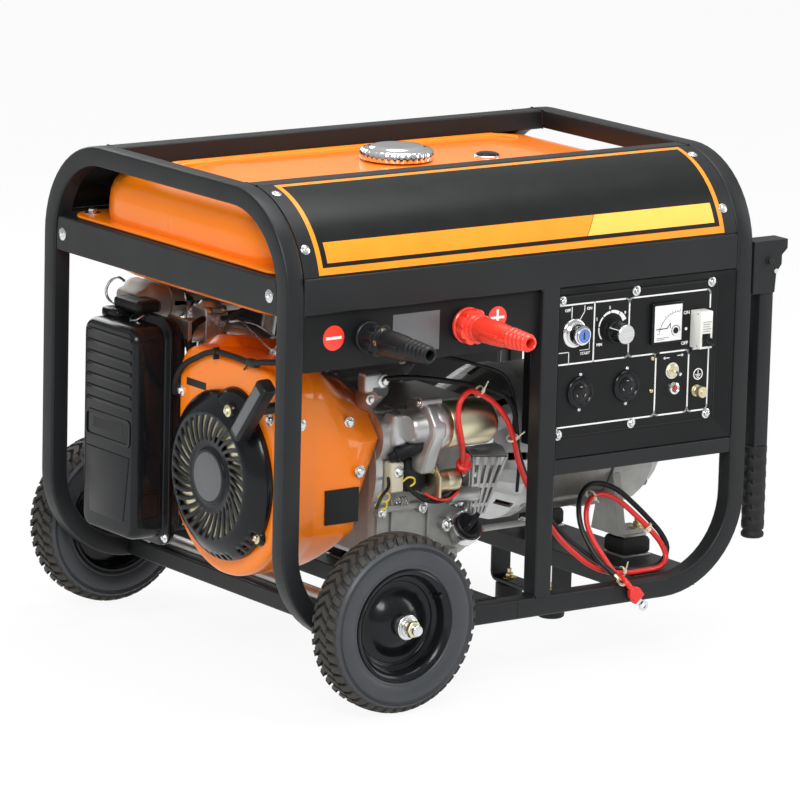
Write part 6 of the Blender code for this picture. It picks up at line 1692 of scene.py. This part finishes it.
def control_panel():
    low, high = local_box("control_panel")
    shape = Shape("control_panel_box", "panel_black", "paint_black")
    outer = rounded((low.x, high.x), (low.z, high.z), 0.0015, 3)
    crest = rounded((low.x + 0.0012, high.x - 0.0012), (low.z + 0.0012, high.z - 0.0012), 0.0012, 3)
    inner = rounded((max(0.4060, low.x + 0.0030), 0.6650), (0.2985, min(0.4790, high.z - 0.0030)), 0.0010, 3)
    rings = [[(x, FACE + 0.002, z) for x, z in outer], [(x, FACE - 0.0050, z) for x, z in outer]]
    rings += [[(x, FACE - 0.0062, z) for x, z in crest]]
    shape.skin(rings, caps=(True, False))
    slope = [(x, FACE - 0.0060, z) for x, z in crest]
    step = [(x, FACE + 0.0010, z) for x, z in inner]
    edge = rounded((max(0.4075, low.x + 0.0045), 0.6635), (0.3000, min(0.4775, high.z - 0.0045)), 0.0010, 3)
    shape.skin([slope, step, [(x, FACE, z) for x, z in edge]], caps=(False, True))
    shape.use("paint_black")
    left_x, right_x = min(x for x, _ in edge), max(x for x, _ in edge)
    low_z, high_z = min(z for _, z in edge), max(z for _, z in edge)
    path(shape, [(left_x, high_z), (right_x, high_z), (right_x, low_z), (left_x, low_z)], 0.0014)
    shape.use("panel_black")
    tray_x, tray_z, deep = (0.4163, 0.6817), (0.2793, 0.4710), high.y
    sheet = 0.002
    shape.box(tray_x, (FACE + 0.002, deep), (tray_z[0], tray_z[0] + sheet), 0.0004)
    shape.box(tray_x, (FACE + 0.002, deep), (tray_z[1] - sheet, tray_z[1]), 0.0004)
    for x in (tray_x[0], tray_x[1] - sheet):
        shape.box((x, x + sheet), (FACE + 0.002, deep), (tray_z[0] + sheet, tray_z[1] - sheet), 0.0004)
    shape.done(replaces=("control_panel",), slot="black_powder_coat", sharp=12)

    print_ = Shape("control_panel_print", "white")
    corner = 0.005
    left, right, bottom, top, middle = 0.4085, 0.6530, 0.3120, 0.4670, 0.3920
    first, second, third, fourth = 0.4685, 0.5236, 0.5685, 0.6211

    def turned_corner(x, z, across, up):
        return [(x + across * corner * (1 - math.cos(a)), z + up * corner * (1 - math.sin(a)))
                for a in (0, math.pi / 6, math.pi / 3, math.pi / 2)]

    path(print_, [(left, top), (second - corner, top)])
    path(print_, [(second + corner, top), (right - corner, top), *reversed(turned_corner(right, top, -1, -1)), ])
    path(print_, [(right, top - corner), (right, 0.4440)])
    path(print_, [(right, 0.3945), (right, bottom + corner), *turned_corner(right, bottom, -1, 1)])
    path(print_, [(left + 0.005, bottom), (third - corner, bottom)])
    path(print_, [(third + corner, bottom), (fourth - corner, bottom)])
    path(print_, [(fourth + corner, bottom), (right - corner, bottom)])
    path(print_, [(left, middle), (second - corner, middle)])
    path(print_, [(second + corner, middle), (third - corner, middle)])
    path(print_, [(third + corner, middle), (fourth - corner, middle)])
    path(print_, [(fourth + corner, middle), (right, middle)])
    line(print_, (first, middle), (first, top))
    for x, low_z, high_z in ((second, middle, top), (third, bottom, middle), (fourth, bottom, middle)):
        for side in (-1, 1):
            if not (x == second and side > 0):
                path(print_, turned_corner(x, high_z, side, -1))
            path(print_, turned_corner(x, low_z, side, 1))
        line(print_, (x, low_z + corner), (x, high_z - corner))
    path(print_, turned_corner(second, top, 1, -1))
    for x in (second, third, fourth):
        if x != second:
            path(print_, turned_corner(x, top if x == second else middle, 1, -1))
    line(print_, (left + 0.006, bottom), (left + 0.006, bottom - 0.006), 0.0016)
    line(print_, (left + 0.004, top), (left + 0.004, top - 0.006), 0.0016)

    knob = (0.4965, 0.4315)
    for start, end, wide, last in ((-128, -84, 0.0013, 0.0016), (-80, -44, 0.0017, 0.0022), (-40, -8, 0.0024, 0.0032),
                                   (-4, 30, 0.0034, 0.0046), (34, 66, 0.0048, 0.0062)):
        band(print_, knob, 0.0200 + last * 0.25, start, end, wide, end_width=last)
    for angle, text in ((-60, "1"), (-8, "5"), (48, "9")):
        a = math.radians(angle)
        word(print_, text, knob[0] + 0.0275 * math.sin(a), knob[1] + 0.0265 * math.cos(a), 0.0056)
    word(print_, "MIN", 0.4775, 0.4120, 0.0050)
    path(print_, [(0.4332, 0.4500), (0.4332, 0.4640)], 0.0010)
    path(print_, [(0.4468, 0.4480), (0.4530, 0.4570), (0.4530, 0.4640)], 0.0010)
    word(print_, "OFF", 0.4268, 0.4600, 0.0052)
    word(print_, "ON", 0.4605, 0.4600, 0.0052)
    path(print_, [(0.4470, 0.4080), (0.4620, 0.4080), (0.4620, 0.4280), (0.4580, 0.4280)], 0.0009)
    word(print_, "START", 0.4555, 0.4035, 0.0052)
    path(print_, [(0.4140, 0.4070), (0.4300, 0.4070), (0.4300, middle)], 0.0009)
    word(print_, "ON", 0.6155, 0.4400, 0.0062)
    word(print_, "OFF", 0.6135, 0.4010, 0.0062)
    disc(print_, 0.6153, 0.4194, 0.0020)
    arrow(print_, 0.5853, 0.3845, 0.0046, -1)
    arrow(print_, 0.6078, 0.3862, 0.0046, 1)
    ring = (0.6373, 0.3589)
    band(print_, ring, 0.0068, 0, 360, 0.0013)
    line(print_, (ring[0], ring[1] + 0.0044), (ring[0], ring[1] - 0.0005), 0.0011)
    for step, half in enumerate((0.0040, 0.0026, 0.0012)):
        line(print_, (ring[0] - half, ring[1] - 0.0005 - 0.0020 * step), (ring[0] + half, ring[1] - 0.0005 - 0.0020 * step), 0.0010)
    print_.done(slot="black_powder_coat")

    screws = Shape("control_panel_screws", "zinc", "brass")
    screws.use("zinc")
    for x, z in ((0.4178, 0.4725), (0.5339, 0.4755), (0.6545, 0.4762), (0.6522, 0.3065), (0.5322, 0.3064), (0.4167, 0.3026)):
        screws.turned([(0, 0), (0.0064, 0), (0.0064, 0.0006), (0.0058, 0.0009), (0, 0.0009)], (x, FACE, z), (0, -1, 0), 28)
        screws.bolt((x, FACE - 0.0009, z), (0, -1, 0), 0.0042, washer=0.0043, height=0.0028, kind="pan")
        screws.box((x - 0.0029, x + 0.0029), (FACE - 0.0052, FACE - 0.0040), (z - 0.0004, z + 0.0004), 0.0002)
    for x, z in ((0.4494, 0.3769), (0.4485, 0.3323), (0.5228, 0.3776), (0.5218, 0.3328)):
        screws.bolt((x, FACE, z), (0, -1, 0), 0.0023, washer=0.0024, height=0.0014, kind="pan")
    screws.use("brass")
    for x, z in ((0.5628, 0.3862), (0.5624, 0.3445)):
        screws.bolt((x, FACE, z), (0, -1, 0), 0.0026, washer=0.0027, height=0.0016, kind="pan")
    screws.done(slot="plain_steel")

    socket = Shape("outlet_sockets", "plastic_gloss", "brass", "plastic_black")
    for x, z in ((0.4490, 0.3546), (0.5220, 0.3552)):
        socket.use("plastic_gloss")
        body = [(0.0118, 0.0), (0.0200, 0.0), (0.0200, 0.0026), (0.0192, 0.0036), (0.0172, 0.0040), (0.0164, 0.0034),
                (0.0156, 0.0022), (0.0118, 0.0022)]
        socket.turned(body, (x, FACE, z), (0, -1, 0), 64, closed_profile=True)
        socket.turned([(0, 0.0006), (0.0118, 0.0006), (0.0118, 0.0030), (0.0112, 0.0034), (0, 0.0034)],
                      (x, FACE, z), (0, -1, 0), 48)
        for angle in (90, 210, 330):
            a = math.radians(angle)
            place = Vector((x + 0.0072 * math.cos(a), FACE - 0.0035, z + 0.0072 * math.sin(a)))
            along = Vector((-math.sin(a), 0, math.cos(a)))
            across = Vector((math.cos(a), 0, math.sin(a)))
            socket.use("plastic_black")
            corners = [place - along * 0.0032 - across * 0.0008, place + along * 0.0032 - across * 0.0008,
                       place + along * 0.0032 + across * 0.0008, place - along * 0.0032 + across * 0.0008]
            socket.slab(corners, 0.0004, (0, -1, 0))
            socket.use("brass").slab([place + (c - place) * 0.55 for c in corners], 0.0005, (0, -1, 0))
    socket.done(slot="black_gloss_plastic")

    key = Shape("key_lock", "chrome", "zinc", "plastic_black")
    x, z = 0.4375, 0.4307
    key.use("chrome").turned([(0, 0), (0.0190, 0), (0.0190, 0.0012), (0.0176, 0.0030), (0.0160, 0.0038), (0, 0.0038)],
                             (x, FACE, z), (0, -1, 0), 64)
    key.use("zinc").turned([(0, 0), (0.0148, 0), (0.0148, 0.0026), (0.0140, 0.0034), (0, 0.0034)], (x, FACE - 0.0036, z),
                           (0, -1, 0), 56)
    key.use("chrome").turned([(0, 0.0060), (0.0130, 0.0060), (0.0130, 0.0168), (0.0122, 0.0186), (0.0102, 0.0190),
                              (0.0102, 0.0176), (0, 0.0176)], (x, FACE, z), (0, -1, 0), 56)
    key.done(slot="machined_alloy")
    face = Shape("key_switch_face", "blue", "chrome", "plastic_black")
    face.use("blue").turned([(0, 0.0178), (0.0100, 0.0178), (0.0100, 0.0200), (0.0090, 0.0210), (0, 0.0210)],
                            (x, FACE, z), (0, -1, 0), 48)
    face.use("chrome").turned([(0.0088, 0.0206), (0.0098, 0.0206), (0.0098, 0.0214), (0.0088, 0.0214)],
                              (x, FACE, z), (0, -1, 0), 48, closed_profile=True)
    face.use("plastic_black").box((x - 0.0009, x + 0.0009), (FACE - 0.0215, FACE - 0.0209), (z - 0.0046, z + 0.0046), 0.0002)
    face.done("key_switch", ("key_switch",), slot="blue_plastic")

    x, z = 0.4985, 0.4280
    knob = Shape("current_knob_body", "plastic_gloss", "machined", "white")
    start = FACE - 0.0043
    rings = []
    for radius, along, scallop in ((0.0140, 0.0, 0.0), (0.0140, 0.0040, 0.0), (0.0134, 0.0050, 0.0), (0.0126, 0.0056, 0.0006),
                                   (0.0122, 0.0200, 0.0006), (0.0120, 0.0215, 0.0)):
        ring = []
        for step in range(96):
            a = math.tau * step / 96
            r = radius - scallop * (0.5 + 0.5 * math.cos(24 * a))
            ring.append((x + r * math.cos(a), start - along, z + r * math.sin(a)))
        rings.append(ring)
    knob.use("plastic_gloss").skin(rings)
    knob.use("machined").turned([(0, 0.0212), (0.0124, 0.0212), (0.0124, 0.0238), (0.0116, 0.0247), (0, 0.0247)],
                              (x, start, z), (0, -1, 0), 64)
    a = math.radians(-62)
    direction = Vector((math.sin(a), 0, math.cos(a)))
    side = Vector((direction.z, 0, -direction.x)) * 0.0005
    foot = Vector((x, start - 0.0050, z))
    knob.use("white")
    rim_low, rim_high = foot + direction * 0.0136, Vector((x, start - 0.0210, z)) + direction * 0.0124
    knob.slab([rim_low - side, rim_low + side, rim_high + side, rim_high - side], 0.0003, direction)
    knob.done("current_knob", ("current_knob",), slot="black_gloss_plastic")
    nut = Shape("knob_bush", "brass")
    nut.use("brass").turned([(0, 0), (0.0130, 0), (0.0130, 0.0014), (0, 0.0014)], (x, FACE, z), (0, -1, 0), 40)
    nut.turned([(0, 0), (0.0070, 0), (0.0070, 0.0040), (0, 0.0040)], (x, FACE, z), (0, -1, 0), 32)
    nut.done(slot="yellow_zinc")

    meter = Shape("current_meter", "plastic_gloss", "white", "label_black", "label_grey")
    meter.use("plastic_gloss")
    x, z = (0.5575, 0.6065), (0.4045, 0.4570)
    meter.box(x, (FACE - 0.0046, FACE), z, 0.0009, 3)
    inside_x, inside_z = (0.5612, 0.6045), (0.4074, 0.4536)
    meter.use("white").box(inside_x, (FACE - 0.0049, FACE - 0.0040), inside_z, 0.0002)
    meter.use("label_black")
    hub = (0.5950, 0.4200)
    level = FACE - 0.0048
    disc(meter, hub[0], hub[1], 0.0040, 0.0005, level)
    band(meter, hub, 0.0066, -160, 100, 0.0007, level)
    line(meter, (0.5640, 0.4235), (0.5815, 0.4240), 0.0011, level)
    line(meter, (0.5815, 0.4240), (0.5860, 0.4300), 0.0010, level)
    line(meter, (0.5860, 0.4300), (0.5862, 0.4240), 0.0008, level)
    meter.use("label_grey")
    for step in range(13):
        a = math.radians(-84 + step * 7.4)
        long = 0.0030 if step % 3 == 0 else 0.0018
        centre = (0.5985, 0.4140)
        inner, outer = 0.0300, 0.0300 + long
        line(meter, (centre[0] + inner * math.sin(a), centre[1] + inner * math.cos(a)),
             (centre[0] + outer * math.sin(a), centre[1] + outer * math.cos(a)), 0.0005, level)
    band(meter, (0.5985, 0.4140), 0.0300, -84, 5, 0.0004, level)
    line(meter, (0.5650, 0.4120), (0.5840, 0.4120), 0.0006, level)
    line(meter, (0.5650, 0.4100), (0.5760, 0.4100), 0.0005, level)
    meter.done(slot="black_gloss_plastic")

    breaker = Shape("breaker_case", "ivory", "plastic_gloss", "label_grey")
    low_x, high_x = 0.6220, 0.6415
    outline = [(FACE, 0.3955), (FACE - 0.0205, 0.3955), (FACE - 0.0210, 0.3965), (FACE - 0.0210, 0.4425),
               (FACE - 0.0205, 0.4435), (FACE - 0.0030, 0.4435), (FACE, 0.4425)]
    breaker.use("ivory").prism(outline, low_x, high_x, "X", 0.0005, 2)
    breaker.use("label_grey")
    for x in (low_x - 0.0001, high_x - 0.0003):
        breaker.rod((x, FACE - 0.0150, 0.4400), (x + 0.0004, FACE - 0.0150, 0.4400), 0.0011, steps=14)
        breaker.rod((x, FACE - 0.0150, 0.3990), (x + 0.0004, FACE - 0.0150, 0.3990), 0.0011, steps=14)
    for step in range(5):
        line(breaker, (0.6262, 0.4300 - 0.0030 * step), (0.6390 - 0.0014 * (step % 3), 0.4300 - 0.0030 * step), 0.0005, FACE - 0.0210)
    breaker.use("plastic_gloss").box((0.6252, 0.6383), (FACE - 0.0213, FACE - 0.0205), (0.3985, 0.4150), 0.0003)
    breaker.done(slot="black_plastic")
    pivot = Vector((0.63175, FACE - 0.0235, 0.4075))
    lever = Shape("breaker_toggle", "plastic_gloss")
    lever.rod(pivot - Vector((0.006, 0, 0)), pivot + Vector((0.006, 0, 0)), 0.0022, steps=24)
    lever.at(Matrix.Translation(pivot) @ Matrix.Rotation(math.radians(35), 4, "X"))
    lever.box((-0.005, 0.005), (-0.010, 0), (-0.0018, 0.0018), 0.0007, 3)
    lever.done("breaker_lever", ("breaker_lever",), slot="black_gloss_plastic")

    small = Shape("toggle_and_lamp", "gold", "chrome", "lens", "zinc")
    x, z = 0.5950, 0.3675
    small.use("zinc").turned([(0, 0), (0.0105, 0), (0.0105, 0.0009), (0, 0.0009)], (x, FACE, z), (0, -1, 0), 32)
    small.use("gold").hexagon((x, FACE - 0.0009, z), (0, -1, 0), 0.0088, 0.0022)
    small.turned([(0, 0), (0.0056, 0), (0.0056, 0.0038), (0.0040, 0.0040), (0, 0.0040)], (x, FACE, z), (0, -1, 0), 28)
    x, z = 0.5970, 0.3450
    small.use("chrome").turned([(0.0044, 0), (0.0086, 0), (0.0086, 0.0026), (0.0074, 0.0052), (0.0054, 0.0060), (0.0044, 0.0050)],
                               (x, FACE, z), (0, -1, 0), 40, closed_profile=True)
    small.use("lens").turned([(0, 0), (0.0047, 0), (0.0047, 0.0044), (0.0036, 0.0056), (0.0018, 0.0060), (0, 0.0060)],
                            (x, FACE, z), (0, -1, 0), 32)
    small.done(slot="plain_steel")
    pivot = Vector((0.5950, FACE - 0.0049, 0.3675))
    lever = Shape("toggle_bat", "chrome")
    way = Vector((0.001, -0.012, -0.002)).normalized()
    lever.turned([(0, 0), (0.0016, 0), (0.0018, 0.006), (0.0025, 0.0105), (0.0021, 0.0120), (0.0010, 0.0124), (0, 0.0124)],
                 pivot, way, 24)
    lever.done("toggle_lever", ("toggle_lever",), slot="plain_steel")

    earth = Shape("earth_terminal", "gold")
    x, z = 0.6345, 0.3380
    earth.use("gold").turned([(0, 0), (0.0075, 0), (0.0075, 0.0016), (0, 0.0016)], (x, FACE, z), (0, -1, 0), 32)
    earth.hexagon((x, FACE - 0.0016, z), (0, -1, 0), 0.0070, 0.0034)
    earth.turned([(0, 0.004), (0.0036, 0.004), (0.0036, 0.0180), (0, 0.0180)], (x, FACE, z), (0, -1, 0), 24)
    rings = []
    for radius, along in ((0.0070, 0.0088), (0.0075, 0.0094), (0.0075, 0.0150), (0.0068, 0.0158)):
        ring = []
        for step in range(72):
            a = math.tau * step / 72
            r = radius - (0.0004 if step % 3 == 0 and radius > 0.0072 else 0.0)
            ring.append((x + r * math.cos(a), FACE - along, z + r * math.sin(a)))
        rings.append(ring)
    earth.skin(rings)
    earth.done(slot="yellow_zinc")


def weld_panel():
    low, high = local_box("weld_panel")
    shape = Shape("weld_panel_plate", "panel_black")
    outline = rounded((low.x, high.x), (low.z, high.z), 0.0012, 3)
    shape.soften(shape.skin([[(x, FACE + 0.002, z) for x, z in outline], [(x, FACE, z) for x, z in outline]]), 0.0005, 2)
    shape.box((low.x, high.x), (FACE + 0.001, FACE + 0.020), (low.z, low.z + 0.002), 0.0006, 2)
    for x in (0.119, 0.268):
        shape.turned([(0.0072, -0.0028), (0.0160, -0.0028), (0.0160, 0.0240), (0.0072, 0.0200)],
                     (x, FACE, 0.458), (0, 1, 0), 40, closed_profile=True)
    shape.done(replaces=("weld_panel",))

    marks = Shape("weld_panel_labels", "label_grey", "red", "white")
    marks.use("label_grey").box((0.1600, 0.2300), (FACE - 0.0003, FACE + 0.0002), (0.4310, 0.4797), 0.0001)
    for x, z, radius, sign in ((0.0726, 0.4596, 0.0155, "-"), (0.3177, 0.4619, 0.0140, "+")):
        marks.use("red")
        disc(marks, x, z, radius, 0.0004)
        marks.use("white")
        line(marks, (x - radius * 0.62, z), (x + radius * 0.62, z), radius * 0.22, FACE - 0.0003)
        if sign == "+":
            line(marks, (x, z - radius * 0.62), (x, z + radius * 0.62), radius * 0.22, FACE - 0.0004)
    marks.done(slot="black_powder_coat")


def plug(name, body, x, finish_name, gloss):
    shape = Shape(name, finish_name, "brass", "plastic_black", "chrome")
    z = 0.458
    shape.use(finish_name)

    def lobed(levels, lobes, turn=0.0):
        rings = []
        for radius, along, depth in levels:
            ring = []
            for step in range(96):
                a = math.tau * step / 96
                wave = (0.5 + 0.5 * math.cos(lobes * a + turn)) ** 3
                r = radius - depth * wave
                ring.append((x + r * math.cos(a), FACE - along, z + r * math.sin(a)))
            rings.append(ring)
        shape.skin(rings)

    ring, wide, nut, last, start = (0.0190, 0.0202, 0.0235, 0.0370, 0.0460) if gloss else (0.0225, 0.0225, 0.0102, 0.0235, 0.0340)
    lobed(((ring - 0.0035, 0.0035, 0), (ring - 0.0007, 0.0042, 0), (ring, 0.0056, 0), (ring, 0.0084, 0),
           (ring - 0.0013, 0.0096, 0)), 1)
    lobed(((0.0165, 0.0090, 0), (0.0165, nut + 0.0012, 0)), 1)
    lobed(((wide - 0.0025, nut, 0.0010), (wide - 0.0004, nut + 0.0010, 0.0026), (wide, nut + 0.0024, 0.0030),
           (wide, last - 0.0024, 0.0030), (wide - 0.0004, last - 0.0010, 0.0026), (wide - 0.0030, last, 0.0)), 8)
    shape.turned([(0, last - 0.0016), (0.0164, last - 0.0016), (0.0166, last + 0.0010), (0.0156, last + 0.0026),
                  (0.0150, last + 0.0040), (0.0158, last + 0.0056), (0.0158, start - 0.0018), (0.0148, start),
                  (0.0140, start + 0.0020), (0, start + 0.0020)], (x, FACE, z), (0, -1, 0), 64)
    profile = [(0, start), (0.0150, start), (0.0158, start + 0.0020), (0.0156, 0.0600), (0.0146, 0.0800), (0.0130, 0.0930)]
    along, radius = 0.0960, 0.0124
    for index in range(5):
        profile += [(radius, along), (radius + 0.0010, along + 0.0010), (radius + 0.0010, along + 0.0042),
                    (radius - 0.0002, along + 0.0054)]
        along, radius = along + 0.0076, radius - 0.00055
    profile += [(radius, 0.1335), (radius - 0.0010, 0.1352), (radius - 0.0022, 0.1356), (radius - 0.0034, 0.1346),
                (radius - 0.0038, 0.1150), (0, 0.1150)]
    shape.turned(profile, (x, FACE, z), (0, -1, 0), 64)
    for side in (-1, 1):
        shape.box((x + side * 0.0148 - 0.0014, x + side * 0.0148 + 0.0014), (FACE - 0.0860, FACE - 0.0500),
                  (z - 0.0022, z + 0.0022), 0.0008)
    if gloss:
        shape.use("brass").rod((x - 0.004, FACE - 0.0418, z + 0.0105), (x - 0.004, FACE - 0.0430, z + 0.0166), 0.0030, steps=18)
        shape.box((x - 0.0166, x - 0.0150), (FACE - 0.0450, FACE - 0.0390), (z - 0.003, z + 0.003), 0.0006)
    shape.use("chrome").rod((x, FACE + 0.016, z), (x, FACE - 0.004, z), 0.0062, steps=28)
    shape.done(body, (body,))


def handles():
    for name, side in (("front", -1), ("rear", 1)):
        restyle(name + "_handle_bracket", "paint_black", 0.0009, 2)
        y = side * ARM_Y
        x, half = 0.741, 0.011
        shape = Shape(name + "_handle_arm", "paint_black", "rubber", "zinc")
        shape.use("paint_black").box((x - half, x + half), (y - half, y + half), (0.1440, 0.5070), 0.0022, 3)
        shape.use("rubber")
        profile = [(0, 0.2545), (0.0138, 0.2545), (0.0150, 0.2532)]
        pitch, count = 0.0162, 7
        level = 0.2530
        for index in range(count):
            crest = level - pitch * index
            profile += [(0.0150, crest - 0.0010), (0.0150, crest - 0.0070), (0.0142, crest - 0.0092),
                        (0.0128, crest - 0.0108), (0.0126, crest - 0.0124), (0.0134, crest - 0.0142), (0.0148, crest - 0.0158)]
        profile += [(0.0150, 0.1380), (0.0144, 0.1352), (0.0125, 0.1340), (0, 0.1340)]
        profile = [place for place in profile if place[1] > 0.1339]
        shape.turned(profile, (x, y, 0), (0, 0, 1), 56)
        shape.done(name + "_handle", (name + "_handle",), slot="black_powder_coat")
        pin = Shape(name + "_handle_pins", "zinc", "paint_black")
        for direction in (-1, 1):
            face = y + direction * 0.0142
            pin.use("paint_black").bolt((x, face, 0.4970), (0, direction, 0), 0.0046, washer=0.0060, height=0.0030)
            pin.use("zinc").rod((x + 0.010, face, 0.4830), (x + 0.010, face + direction * 0.0016, 0.4830), 0.0032, steps=18)
        pin.done(slot="black_powder_coat")


control_panel()
weld_panel()
plug("negative_plug_body", "negative_plug", 0.119, "plastic_black", True)
plug("positive_plug_body", "positive_plug", 0.268, "red", False)
handles()
